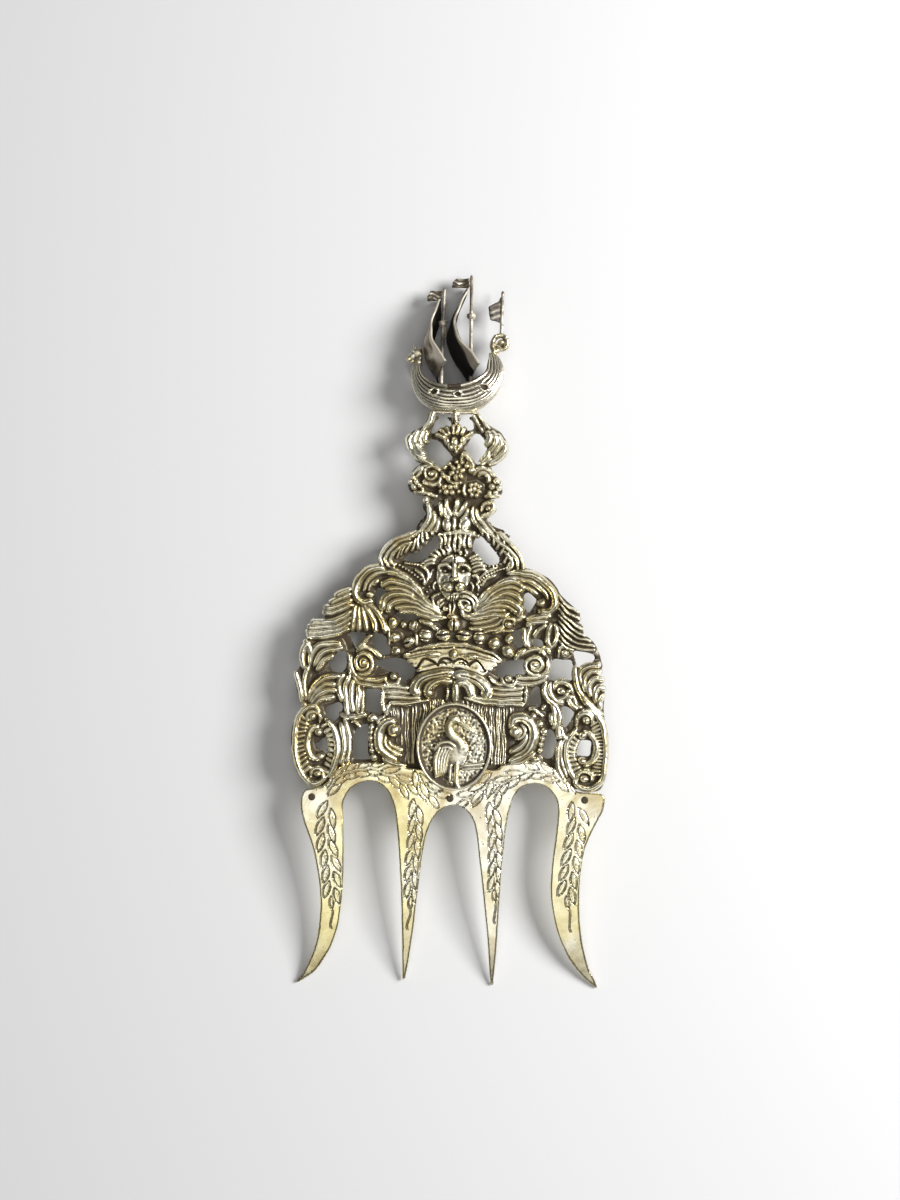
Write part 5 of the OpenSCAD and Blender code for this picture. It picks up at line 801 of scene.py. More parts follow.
LION_MASK = [
    ("knob", 0.3, 16.2, 4.8, 5.8, 2.5), ("knob", 0.3, 13.6, 4, 4.8, 2.2),
    ("swell", 0.4, 21.2, 2.6, 1.1, 0.8), ("swell", -1.9, 17.4, 1.0, 0.85, -1.7),
    ("swell", 2.7, 17.3, 1.0, 0.85, -1.7), ("knob", -2, 17.3, 0.5, 0.4, 2.4),
    ("knob", 2.8, 17.2, 0.5, 0.4, 2.4), ("swell", -2.9, 14.6, 0.8, 1.3, -0.7, -20),
    ("swell", 3.6, 14.5, 0.8, 1.3, -0.7, 20),
    ("rib", 1.7, 3.9, "0.5,20.2 0.45,17.6 0.4,15.2", (0.7, 0.9)), ("knob", 0.4, 14.9, 1.35, 0.9, 4.5),
    ("knob", -1.3, 12.7, 1.65, 1.4, 4.2, 20), ("knob", 1.95, 12.7, 1.75, 1.45, 4.3, -20),
    ("knob", 0.2, 10.9, 0.9, 0.7, 3.0), ("groove", 0.3, 0.8, "0.35,14 0.3,12.6 0.25,11.6"),
    ("groove", 0.3, 0.7, "-2.9,11.9 -1.4,11.5 0.2,11.7 1.8,11.5 3.5,11.9"),
    ("knob", 0, 9.8, 1.7, 1.2, 2.4),
    *grooves(0.4, 0.9, "-0.7,10.6 -0.6,9.4 -0.8,8.8", "0.1,10.6 0.1,9.2 0,8.6", "0.9,10.6 0.8,9.4 "
        "1,8.8"),
    ("swell", 0.4, 13.9, 0.9, 0.35, -1.1), ("groove", 0.45, 0.9, "0.3,22 0.5,20.6 0.4,19.4"),
] + ribs(1.2, 3.6, "-4,17.6 -3.2,18.7 -1.6,19 -0.6,18", "1.4,18 2.4,19 3.9,18.7 4.7,17.5") + ribs(
    1.05, 2.9, "-4.6,19.2 -6.2,19.3 -8.4,18.3", "-4.4,20.1 -6,20.4 -8.4,19.5",
    "-4.1,20.8 -5,21.3 -6.3,21.6", "-3.5,21.2 -4,22 -5,22.6", "-2.6,21.6 -2.7,22.6 -3.4,23.4",
    "-1.6,21.8 -1.4,22.8 -1.9,23.7", "4.5,20.6 5.6,21.2 6.8,21.7", "4.9,19.8 6.2,20.4 7.6,20.5",
    "5.1,18.9 6.6,19.4 8,19.3", "5.3,17.9 7,18.5 8.8,18.5", "5.5,16.9 7.2,17.4 9,17.6",
    "3.5,21.4 3.8,22.2 3.6,23", "2.3,21.8 2.2,22.6 1.6,23", "5.4,15.9 6.6,15.9 7.4,15",
) + ribs(
    0.7, 1.9, "-5.2,17.6 -6,16.6 -6.2,15.2", "-4.6,14.4 -5.2,13.2 -4.8,12", "5.2,14.2 5.8,13 5.6,11.8",
    "6.6,14 7.4,12.8 7.4,11.8",
) + ribs(
    1.2, 2.6, "-0.6,22.6 -1.2,24.4 -0.8,26.8", "0.7,22.6 0.4,24.6 0.7,27", "1.9,23.6 2.1,25.2 1.7,27",
    "3.4,23.8 2.9,25.2 3.2,27", "4.7,23.9 4.5,25.6 4.6,27.2", "-3.5,24 -3.3,25.6 -4,27",
    "-2.2,24.4 -2,26 -2.5,27.4", "-4,27.5 0,27.9 4,27.7 7,27",
) + ribs(
    1.1, 2.6, "-3.4,11 -5.2,9.8 -5.2,7.9 -3.9,6.7", "2,11.1 4.6,11.1 6.7,9.6 7,7.9 6.2,6.5",
    "2.2,10.1 4.3,10 5.7,8.7 5.8,7.2", "-2.2,9.4 -3.6,8.4 -3.9,7.4",
) + ribs(
    0.8, 2.2, "-2,8.4 -2.8,7.6 -3.2,7", "2,9.1 3.8,8.9 4.6,8", "0.6,8.4 0.8,6.8 0.4,5.2",
    "-0.6,8.2 -0.4,6.6 -0.4,5.2",
) + [
    ("knob", -1.7, 6.5, 0.95, 0.85, 3.0), ("knob", 4.2, 6.9, 1.25, 1.15, 3.0),
    ("knob", 0.2, 4.4, 1.7, 1.0, 2.6, -6),
] + balls(
    2.0, (-8.2, 12.2, 0.4), (-7, 11.2, 0.4), (-6.8, 9.9, 0.4), (-6.4, 12.8, 0.35), (8, 13.4, 0.4),
    (7.2, 10.8, 0.4),
)
PLUME = ribs(
    1.5, 2.5, "-7.6,36.8 -6.8,34.6 -6.9,31.8 -8.2,29.2 -10.4,27", "-5.6,33.6 -5.5,31.4 -6.6,29 -8.4,27",
    "-4.4,32 -4.6,29.8 -5.8,27.6", "5.5,35 5.3,32.4 6.7,29.9 9,28",
    "6.6,34.6 6.9,32.4 8.7,29.8 11,27.8", "-3.8,36.4 -3.6,34.6 -3.4,33", "-1.9,37.4 -1.8,35 -0.7,33",
    "0.8,37.4 1,35.6 0.5,34.4", "3.6,36.4 2.5,34.4 1.3,33", "-2.6,35 -2.4,33.4 -1.4,32",
    "4,34.4 3.4,32.6 2.4,31.6", "8,34 8.6,36 10.6,36.4 11.2,34.6 9.8,33.2 8.2,32.4",
    "-0.2,27.7 2.6,28.2 5.5,27.6",
) + [
    ("knob", -1.8, 30.1, 1.5, 2.0, 2.5, 12), ("knob", 3.2, 30.3, 1.7, 2.1, 2.5, -24),
    ("knob", 0.35, 33.5, 0.9, 0.9, 3.0), ("rib", 1.2, 2.6, "0.3,28.6 0.3,30.4 0.3,32.4"),
    ("knob", -7.6, 36.8, 1.0, 1.2, 2.6), ("knob", 9.8, 34.9, 0.9, 0.9, 2.6),
]
FLOWER_CLUSTER = [("knob", 0.85 + 1.55 * math.cos(a), 44.7 + 1.55 * math.sin(a), 1.1, 0.8, 2.7,
    math.degrees(a)) for a in np.arange(0.3, 6.4, 2 * math.pi / 6)] + [
    ("knob", 0.85, 44.7, 0.65, 0.65, 3.0), ("coil", -6.3, 44.3, 2.4, 1.15, 20, 1.15, 2.5, 0.9),
    ("rib", 1.0, 2.3, "-2.2,42.8 -1,41.9 0.6,41.6 2.2,42"),
    ("rib", 1.1, 2.2, "2.9,41.8 2.6,39.8 3.4,38"),
] + balls(
    2.5, (-12.1, 41.8, 0.8), (-11.2, 40.6, 0.85), (-10.4, 42, 0.85), (-9.5, 41, 0.8), (-11.2, 43, 0.7),
    (-8.6, 39.9, 0.8), (11.7, 42.4, 0.95), (10.6, 40.8, 0.95), (12.3, 40.6, 0.9), (12.8, 41.9, 0.7),
    (11.5, 39.2, 0.85), (9.8, 39.2, 0.8), (-2.4, 40.6, 0.85), (-1, 40.5, 0.85), (0.4, 40.7, 0.8),
    (-2, 39.2, 0.8), (-0.5, 39.1, 0.85), (1.2, 39.4, 0.7), (-3.8, 41.2, 0.8), (-3.6, 39.6, 0.7),
    (4.6, 41.2, 0.8), (6, 41.5, 0.8), (7.3, 40.9, 0.8), (4.4, 39.8, 0.8), (5.8, 40, 0.9),
    (7.1, 39.4, 0.75), (5, 38.5, 0.75), (6.4, 38.3, 0.7), (-2.6, 46, 0.8), (-1.4, 47.1, 0.75),
    (3.4, 46.6, 0.75), (2.2, 47.6, 0.7), (4.6, 45.4, 0.8), (0.6, 47.6, 0.7),
) + ribs(
    1.4, 2.3, "-11.8,44 -9.4,46 -6.4,46.6 -4.2,45.6", "-10.4,43.4 -9.4,44.6 -9,46",
    "-11.2,39.2 -8,38.8 -4.8,38.2", "-3.8,43.4 -4.2,42 -6,41.3 -8.2,42", "5.4,44.4 7,46 9.4,45.8 11,44",
    "6.6,44 8,44.8 9.4,43.9 9.8,42.4", "1.9,48.4 2.7,49.9 4.2,48.6 5.3,46.8",
    "3.6,47.8 4.6,46.6 5.4,45.6", "8.6,38.4 10.6,38.3 12.4,38.4", "-3.4,44.6 -2.8,43.6 -1.4,43",
)
UPPER_ARMS = [
    ("rib", 1.7, 2.6, "-6.2,61.4 -7.2,58.6 -8.4,56.8", (0.9, 0.6)),
    *ribs(0.9, 2.4, "5.2,60.8 6.4,58.4 7.8,56.4", "6.6,61 8.2,58.8 9.8,57.2", ends=(0.8, 0.8)),
    ("rib", 1.3, 1.0, "6,60.6 7.4,58.4 8.8,56.8", (0.8, 0.8)),
] + ribs(
    1.9, 2.6, "-10.2,56.4 -11.4,54 -10.7,51.7 -8.8,49.9", "-8.8,56.2 -9.9,54 -9.4,52.2",
    "-7.7,55.8 -8.3,54.2 -8,53.4", "-11.9,55.2 -13,53.4 -12.4,51.4", "-12,51 -10.8,49.8 -8.6,48.7",
    "-10.8,48.9 -8.4,47.9 -6.5,47", "9.2,56.2 9.9,54.4 9.2,52.8", "10.5,56.2 11.6,53.6 10.2,51",
    "12.1,55.4 13,52.6 11,49.8", "13.7,53.6 14.1,51 12.2,48.8 9.8,47.9", "9.6,50.8 9.2,49.2 7.7,47.8",
)
FAN_PALMETTE = ribs(
    1.35, 2.5, "-2.6,54.2 -3.8,54.9 -4.9,55.3", "-2.2,54.8 -3.1,55.9 -3.8,56.6",
    "-1.3,55 -1.9,56.3 -2.3,57.2", "-0.2,55.2 -0.3,56.4 -0.5,57.6", "0.9,55.2 1.1,56.4 1.2,57.5",
    "2,55 2.5,56.1 2.8,56.9", "2.8,54.3 3.9,55 4.8,56",
) + [
    ("knob", -2.1, 53.4, 0.9, 1.3, 2.5, 25), ("knob", 2.3, 53.6, 0.9, 1.3, 2.5, -25),
    ("knob", 0, 52.9, 1.1, 1.7, 2.8, 0), ("knob", -1.2, 51.8, 0.7, 1.2, 2.3, 30),
    ("knob", 1.4, 52, 0.7, 1.2, 2.3, -30), ("knob", 0.3, 50.6, 0.6, 0.9, 2.3),
    ("rib", 0.9, 1.9, "0.2,61 0.2,59.6 0.3,58", (0.9, 0.9)), ("knob", 0.3, 58.8, 0.6, 0.6, 2.2),
] + balls(2.9, (-0.4, 53.9, 0.5), (0.5, 53.6, 0.5), (-0.3, 52.8, 0.5), (0.4, 52.4, 0.5), (0, 51.6, 0.5))


CARTOUCHE = {
    "left_c_scroll": LEFT_C_SCROLL,
    "right_c_scroll": RIGHT_C_SCROLL,
    "left_leaf_spray": LEFT_LEAF_SPRAY,
    "right_leaf_spray": RIGHT_LEAF_SPRAY,
    "left_fan": LEFT_FAN,
    "right_fan": RIGHT_FAN,
    "left_volute": LEFT_VOLUTE,
    "right_volute": RIGHT_VOLUTE,
    "left_horn": LEFT_HORN,
    "right_horn": RIGHT_HORN,
    "crown": CROWN,
    "crown_pearls": PEARLS,
    "mantling": MANTLING,
    "drapery": drapery_folds(),
    "left_side_scroll": LEFT_SIDE_SCROLL,
    "right_side_scroll": RIGHT_SIDE_SCROLL,
    "lion_mask": LION_MASK,
}
NECK = {
    "plume": PLUME,
    "flower_cluster": FLOWER_CLUSTER,
    "upper_arms": UPPER_ARMS,
    "fan_palmette": FAN_PALMETTE,
}


class Skin:
    """Collects lofted skins into one mesh. Points are in millimetres."""

    def __init__(self):
        self.points, self.loops, self.sizes, self.values = [], [], [], []
        self.count = 0

    def loft(self, rings, value=0.6, closed=True):
        """A skin over rings of equal length. Its ends are closed, and value is its crest."""
        rings = np.asarray(rings, float)
        n, m = rings.shape[:2]
        index = self.count + np.arange(n * m).reshape(n, m)
        a, b = index[:-1], index[1:]
        quads = np.stack([a, np.roll(a, -1, 1), np.roll(b, -1, 1), b], 2).reshape(-1, 4)
        self.loops.append(quads.ravel())
        self.sizes += [4] * len(quads)
        if closed:
            self.loops += [index[0][::-1], index[-1]]
            self.sizes += [m, m]
        self.points.append(rings.reshape(-1, 3))
        self.values.append(np.broadcast_to(np.asarray(value, float), (n, m)).ravel())
        self.count += n * m

    def tube(self, path, radii, sides=18, value=0.6, flat=1.0):
        """A round bar along a path. flat is the share of its thickness left across the path."""
        path = np.asarray(path, float)
        along = np.gradient(path, axis=0)
        along /= np.linalg.norm(along, axis=1)[:, None]
        across = np.cross(along, [0, 0, 1])
        weak = np.linalg.norm(across, axis=1) < 0.1
        across[weak] = np.cross(along[weak], [1, 0, 0])
        across /= np.linalg.norm(across, axis=1)[:, None]
        up = np.cross(across, along)
        turn = np.linspace(0, 2 * math.pi, sides, endpoint=False)
        radii = np.broadcast_to(radii, len(path))[:, None, None]
        c, s = np.cos(turn)[None, :, None], np.sin(turn)[None, :, None]
        self.loft(path[:, None] + radii * (c * across[:, None] + flat * s * up[:, None]), value)

    def lathe(self, x, y, profile, sides=32, value=0.7):
        """A turned boss on the vertical axis at x and y, from [radius, z] pairs."""
        turn = np.linspace(0, 2 * math.pi, sides, endpoint=False)
        rings = [np.stack([x + r * np.cos(turn), y + r * np.sin(turn), np.full(sides, z)], 1)
                 for r, z in profile]
        self.loft(rings, value)

    def piece(self, name, place=None):
        """The mesh of all skins, with its points moved by place."""
        points = np.vstack(self.points)
        if place:
            points = place(points)
        starts = np.concatenate([[0], np.cumsum(self.sizes)[:-1]])
        obj = mesh_from(name, points, np.concatenate(self.loops), starts, np.concatenate(self.values))
        mesh = bmesh.new()
        mesh.from_mesh(obj.data)
        bmesh.ops.recalc_face_normals(mesh, faces=mesh.faces)
        mesh.to_mesh(obj.data)
        mesh.free()
        return obj


def aboard(points):
    """Sets [x, row, height over the keel plane] on the leaning ship."""
    p = np.asarray(points, float)
    rise = (p[:, 1] - KEEL_ROW) * SHIP_ROW
    c, s = math.cos(SHIP_LEAN), math.sin(SHIP_LEAN)
    return np.stack([p[:, 0], KEEL_Y + rise * c + p[:, 2] * s, KEEL_Z + p[:, 2] * c - rise * s], 1)


def fused(name, balls, voxel=0.14, rounds=6):
    """One soft casting from ellipsoids given as (x, row, z, rx, ry, rz, turn), aboard the ship."""
    mesh = bmesh.new()
    for x, row, z, rx, ry, rz, turn in balls:
        grown = bmesh.ops.create_icosphere(mesh, subdivisions=3, radius=1)["verts"]
        c, s = math.cos(math.radians(turn)), math.sin(math.radians(turn))
        for v in grown:
            px, py, pz = v.co.x * rx, v.co.y * ry, v.co.z * rz
            v.co = aboard([[x + px * c - py * s, row + px * s + py * c, z + pz]])[0] * MM
    data = bpy.data.meshes.new(name)
    mesh.to_mesh(data)
    mesh.free()
    obj = bpy.data.objects.new(name, data)
    bpy.context.scene.collection.objects.link(obj)
    melt = obj.modifiers.new("melt", "REMESH")
    melt.mode = "VOXEL"
    melt.voxel_size = voxel * MM
    soft = obj.modifiers.new("soften", "SMOOTH")
    soft.iterations = rounds
    shape = bpy.data.meshes.new_from_object(obj.evaluated_get(bpy.context.evaluated_depsgraph_get()))
    shape.name = name
    obj.modifiers.clear()
    obj.data = shape
    bpy.data.meshes.remove(data)
    shape.shade_smooth()
    add_crest(obj)
    return obj


def add_crest(obj, gain=2.2):
    """Marks how far each point of a fused casting stands out from its neighbours."""
    data = obj.data
    count = len(data.vertices)
    co = np.zeros(count * 3)
    data.vertices.foreach_get("co", co)
    co = co.reshape(-1, 3)
    pairs = np.zeros(len(data.edges) * 2, int)
    data.edges.foreach_get("vertices", pairs)
    pairs = pairs.reshape(-1, 2)
    smooth = co.copy()
    degree = np.bincount(pairs.ravel(), minlength=count)[:, None]
    for _ in range(12):
        total = np.zeros_like(smooth)
        np.add.at(total, pairs[:, 0], smooth[pairs[:, 1]])
        np.add.at(total, pairs[:, 1], smooth[pairs[:, 0]])
        smooth = total / np.maximum(degree, 1)
    normals = np.zeros(count * 3)
    data.vertices.foreach_get("normal", normals)
    proud = ((co - smooth) * normals.reshape(-1, 3)).sum(1) / MM
    layer = data.attributes.new("crest", "FLOAT", "POINT")
    layer.data.foreach_set("value", np.clip(0.5 + gain * proud, 0, 1).astype(np.float32))


# Ribs of the hull: angle about its middle, radius of keel and gunwale, share of the half breadth
HULL_MIDDLE = (0.6, 75.2)
HULL_RIBS = [
    (180, 12.4, 10.4, 0.16), (200, 13.5, 10.6, 0.5), (222, 14.5, 9.5, 0.78), (245, 14.1, 8.1, 0.94),
    (268, 13.2, 7.4, 1), (292, 13.7, 7.3, 1), (315, 13.6, 7.6, 0.94), (337, 13.2, 8.3, 0.8),
    (358, 12.6, 8.3, 0.56), (379, 10.6, 9.2, 0.2),
]
# Portholes as x, row, half width and half height
PORTHOLES = [(-6, 65.8, 1.15, 0.75), (0.6, 65, 1.15, 0.6), (7.9, 67.2, 1.3, 0.85)]
# Masts as x and row of the foot, x and row of the head, and row of the fighting top, if there is one
FORE_MAST = (-4.1, 67.4, -3.5, 97.3, 86.8)
MAIN_MAST = (4.3, 68.3, 4.1, 101, 89)
STAFF = (12.7, 84, 13, 96.5)
# Sails as row, x, belly and half breadth
FORE_SAIL = [(94, -4.7, 0.2, 3.4), (90.5, -6.1, 0.8, 4.8), (86.4, -7.1, 1.5, 5.7), (83, -6.8, 2.5, 6.3),
             (79.6, -5, 3, 6.7), (76.5, -2.8, 2, 7)]
MAIN_SAIL = [(97.2, 3.2, 0.3, 3.2), (93.5, 1.5, 0.7, 4.5), (89.5, -0.1, 1.2, 5.3), (86, -0.3, 2.2, 5.8),
             (82.4, 1.3, 3.2, 6.4), (79, 4.4, 3.6, 6.9), (76, 6.6, 2, 7.2)]
# Flags as outlines that start at their mast
FORE_FLAG = [(-4.1, 96.3), (-7.3, 96.3), (-8.4, 94.4), (-8.1, 93.2), (-4.2, 93.8)]
MAIN_FLAG = [(3.5, 100), (-0.2, 99.9), (-1.2, 98.8), (-1.3, 97.3), (3.5, 97.4)]
ENSIGN = [(12.5, 95), (11.8, 93.6), (10.3, 92.7), (9, 91.9), (9.2, 89.6), (9.7, 88), (12.5, 87.7)]


# Heads as ellipsoids: x, row, z, their half sizes along x, row and z, and their turn
BOW_HEAD = [
    (-10.6, 75.6, 0, 1.2, 1.7, 1.2, 0), (-11.1, 78.4, 0, 1.7, 1.6, 1.35, 20),
    (-12.2, 77.5, 0, 1.4, 1.1, 1.1, 38), (-13.1, 76.7, 0, 0.95, 0.8, 0.85, 40),
    (-13.3, 76.4, 0.5, 0.4, 0.4, 0.4, 0), (-12.2, 76, 0, 0.9, 0.55, 0.6, 30),
    (-11.6, 79.6, 0.8, 0.45, 0.8, 0.4, 20), (-11.6, 79.6, -0.8, 0.45, 0.8, 0.4, 20),
    (-12.1, 78.6, 0.95, 0.5, 0.4, 0.4, 0), (-12.1, 78.6, -0.95, 0.5, 0.4, 0.4, 0),
    (-10.1, 79.2, 0, 0.7, 0.7, 1, 0), (-9.9, 78, 0, 0.6, 0.7, 1.1, 0), (-10, 76.9, 0, 0.6, 0.6, 1.1, 0),
]
STERN_CURL = "10.7,78.9 10.2,81 11,83 12.8,83.7 14.3,82.4 14.1,80.5 12.8,79.8 11.9,80.8 12.6,81.9"
STERN_KNOBS = [
    (11.4, 79.3, 0, 0.9, 1.0, 1.2, 0), (12.8, 81.6, 0, 0.9, 0.9, 1.7, 0),
    *[(x, row, 1, 0.6, 0.6, 0.6, 0) for x, row in ((11.1, 83.2), (14, 82.9), (13.9, 80.2), (10.4, 80.8))],
]


# Ridges along the hull: rise, place from the gunwale (0) to the keel (1), and width on that scale
RAIL = (0.3, 0.03, 0.035)
WALE = (0.18, 0.34, 0.03)
# The sooty strip under the hull's middle: x, half width and lowest row
SOOT_STRIP = (-0.4, 1.9, 66.1)
# Rise of a porthole's frame, its width as a share of the porthole, and the depth of the hole
FRAME_RISE, FRAME_WIDTH, HOLE_DEPTH = 0.42, 0.24, 0.45
# Thickness of the bulwark, height of the deck from the gunwale to the keel as a share, and its camber
BULWARK, DECK_SHARE, CAMBER = 0.5, 0.45, 0.15
DECK_TONE = 0.15


def ridge(at, rise, middle, width):
    """Height of a soft ridge."""
    return rise * np.exp(-(((at - middle) / width) ** 2))


def hull_skin(half_breadth, strakes, step):
    """The clinker hull: lapped planks, wales, porthole frames, bulwark and deck."""
    ribs_fine = curve(HULL_RIBS, 0.7)
    turn = np.linspace(0, math.pi, 190)
    rings, values = [], []
    for angle, keel, gunwale, share in ribs_fine:
        half = share * half_breadth
        a = math.radians(angle)
        depth = (keel - gunwale) * np.sin(turn) ** 0.75
        z = half * np.cos(turn)
        steps = np.hypot(np.diff(depth), np.diff(z))
        along = np.concatenate([[0], np.cumsum(steps)]) / steps.sum()
        down = 1 - np.abs(2 * along - 1)
        lap = (down * strakes) % 1
        board = np.sin(math.pi * lap**1.5) ** 0.7
        proud = step * (board - 0.55) * np.clip(share * 3, 0, 1)
        proud += ridge(down, *RAIL) + ridge(down, *WALE)
        x = HULL_MIDDLE[0] + (gunwale + depth) * math.cos(a)
        row = HULL_MIDDLE[1] + (gunwale + depth) * math.sin(a)
        # Tone drops in the laps between planks, where the patina paints dirt and shade
        tone = 0.95 * board**1.4 + 0.12 * np.sin(9 * a + 5 * np.floor(down * strakes))
        sooty = (np.abs(x - SOOT_STRIP[0]) < SOOT_STRIP[1]) & (row > SOOT_STRIP[2])
        tone = np.where(sooty, 0.3 * tone, tone)
        for px, prow, rx, ry in PORTHOLES:
            q = np.hypot((x - px) / rx, (row - prow) / ry)
            hole = HOLE_DEPTH * np.clip(1 - (q / 0.8) ** 4, 0, 1)
            proud += ridge(q, FRAME_RISE, 1, FRAME_WIDTH) - hole
            # Portholes are painted dark inside, as dirt and painted shade of the holes, with bright
            # frames
            tone = np.where(q < 0.75, 0.05, np.where(q < 1.35, 0.95, tone))
        out_r, out_z = depth + 0.02, z
        size = np.hypot(out_r, out_z) + 1e-6
        reach = gunwale + depth + proud * out_r / size
        shell = np.stack([HULL_MIDDLE[0] + reach * math.cos(a), HULL_MIDDLE[1] + reach * math.sin(a),
                          z + proud * out_z / size], 1)
        inner = max(half - BULWARK, 0.25 * half)
        side = inner * 0.95
        rail, floor = gunwale - 0.05, gunwale + DECK_SHARE * (keel - gunwale)
        deck = [(rail, -inner), (floor, -side)]
        deck += [(floor - CAMBER * (1 - w * w), w * inner * 0.95) for w in np.linspace(-0.9, 0.9, 15)]
        deck += [(floor, side), (rail, inner)]
        inside = [[HULL_MIDDLE[0] + r * math.cos(a), HULL_MIDDLE[1] + r * math.sin(a), w]
                  for r, w in deck]
        rings.append(np.vstack([shell, inside]))
        values.append(np.concatenate([tone, np.full(len(inside), DECK_TONE)]))
    return rings, values


# How deep a sail bellies as a share of its belly value, the width of its panels, and the heights of
# their seams, of the folds and of the hem
BELLY, PANEL, SEAM, FOLD, HEM = 0.86, 2.4, 0.03, 0.12, 0.12


def sail_rings(rows, thickness, drop, sway, spread, sheet_and_highlight):
    """Rings of a bellied sheet. Its far side hangs lower and further forward toward the foot, and
    stands back by spread near the head. The last argument holds the crest value of the sheet and
    that of a painted highlight on its near lower corner. A painted highlight runs along the near
    edge, and painted shade lies on the far half toward the foot and on the whole back face."""
    fine = curve(rows, 0.4)
    top, foot = rows[0][0], rows[-1][0]
    s = np.linspace(-1, 1, 49)
    rings, values = [], []
    for row, column, belly, half in fine:
        low = (top - row) / (top - foot)
        far = (1 - s) / 2
        back_set = spread * math.sin(math.pi * min(1, low / 0.7))
        x = column - BELLY * belly * (1 - s * s) - sway * low * far**2 + back_set * far
        y = row - 0.3 * s * half - drop * low**1.5 * far**0.8
        seam = SEAM * np.cos(s * half * 2 * math.pi / PANEL) ** 8
        fold = FOLD * np.sin(row * 1.1 + 2 * s)
        hem = HEM * np.clip((np.abs(s) - 0.92) / 0.08, 0, 1)
        t = thickness / 2 + seam + hem
        front = np.stack([x - t + fold, y, s * half], 1)
        back = np.stack([x + t + fold, y, s * half], 1)
        rings.append(np.vstack([front, back[::-1]]))
        # A painted highlight on the near lower corner, and painted shade on the far half toward the foot
        corner = np.clip((low * (s + 0.35) - 0.85) * 7, 0, 1)
        edge = sheet_and_highlight[0] * (1 - 0.75 * np.clip(0.2 - s, 0, 1) * low) + (sheet_and_highlight[1] - sheet_and_highlight[0]) * corner
        # A painted highlight along the near edge
        edge = edge + 1.2 * np.clip((s - 0.88) / 0.06, 0, 1)
        # The back face gets 0.35 of the value: painted shade
        values.append(np.concatenate([edge, 0.35 * edge[::-1]]))
    return rings, values


def spar(skin, mast, thick, thin, bands=9):
    """A tapered mast with bands of lashing."""
    foot = np.array([mast[0], mast[1] + 0.1, 0])
    head = np.array([mast[2], mast[3], 0])
    s = np.linspace(0, 1, 90)
    path = foot + (head - foot) * s[:, None]
    ripple = np.clip(np.cos(s * bands * 2 * math.pi + 2 * np.sin(9 * s)), 0.8, 1) - 0.8
    radii = (thick + (thin - thick) * s) / 2 + 0.25 * ripple
    radii[-3:] *= [0.98, 0.85, 0.5]
    skin.tube(path, radii, 20, (0.5 + 0.12 * np.sin(23 * s) + 0.5 * ripple)[:, None])


def fighting_top(skin, mast, wide, tall):
    """A turned basket round the mast."""
    share = (mast[4] - mast[1]) / (mast[3] - mast[1])
    x = mast[0] + (mast[2] - mast[0]) * share
    # Height and radius, as shares of the basket's own
    profile = [(-0.5, 0.45), (-0.42, 0.78), (-0.1, 0.9), (0.05, 1), (0.2, 0.94), (0.38, 1), (0.5, 0.95),
               (0.42, 0.6)]
    turn = np.linspace(0, 2 * math.pi, 28, endpoint=False)
    rings = []
    for h, r in profile:
        across, up = wide / 2 * r * np.cos(turn), wide / 2 * r * np.sin(turn)
        rings.append(np.stack([x + across, np.full(len(turn), mast[4] + tall * h), up], 1))
    skin.loft(rings, 0.75)


def flag_piece(name, outline, thickness, lines, waves, tone, seed):
    """A pressed flag: a thin plate with stripes raised on both faces."""
    points = np.array(outline)
    low, high = points.min(0) - 0.5, points.max(0) + 0.5
    canvas = Canvas(low[0], low[1], high[0], high[1], 0.1)
    edge = []
    for a, b in zip(outline, outline[1:] + outline[:1]):
        edge += [a, ((a[0] + b[0]) / 2, (a[1] + b[1]) / 2)]
    canvas.outline([edge])
    gx, gy, cells = canvas.places()
    rim = np.clip(canvas.inside / 0.25, 0, 1)
    wander = 0.5 * np.sin((gx - low[0]) * 1.1 + seed)
    stripe = 0.5 + 0.5 * np.cos((gy - low[1] + wander) * 2 * math.pi / lines)
    stripe = np.clip(0.55 * stripe + 0.25 + 0.35 * grain(gx.shape, 4, seed), 0, 1)
    sway = waves * np.sin((gx - low[0]) * 1.3)
    relief = 0.25 * stripe * rim
    top = thickness / 2 * rim + relief + sway
    bottom = -thickness / 2 * rim - relief + sway
    obj = field_piece(name, (gx, gy), cells, top, bottom, tone * (0.45 + 0.8 * stripe), 1)
    co = np.zeros(len(obj.data.vertices) * 3)
    obj.data.vertices.foreach_get("co", co)
    placed = aboard(co.reshape(-1, 3) / MM) * MM
    obj.data.vertices.foreach_set("co", placed.astype(np.float32).ravel())
    obj.data.update()
    return obj


def sheet_rows(y):
    """Rows of the layout grid as millimetres along the sheet."""
    return np.where(y < LAP_ROW, SHEET_LAP_Y + (y - LAP_ROW) * SHEET_ROW, y + SEAM_Y - SEAM_ROW)


# A garland whose tail is shorter than this, in millimetres, ends without one
SHORTEST_TAIL = 3


def leaf(x, y, turn, length, width):
    """An almond leaf with an engraved outline and vein. turn is in radians, x and y are its middle."""
    c, s = math.cos(turn), math.sin(turn)

    def spot(u, v):
        return (x + u * c - v * s, y + u * s + v * c)

    half = length / 2
    marks = [("knob", x, y, half, width / 2, 0.24, math.degrees(turn))]
    for side in (-1, 1):
        edge = side * width / 2
        belly = [spot(-0.3 * half, 0.95 * edge), spot(0.45 * half, 0.8 * edge)]
        marks.append(("groove", 0.34, 0.28, [spot(-half, 0), *belly, spot(half, 0)]))
    marks.append(("groove", 0.2, 0.1, [spot(-0.6 * half, 0), spot(0.5 * half, 0)]))
    return marks


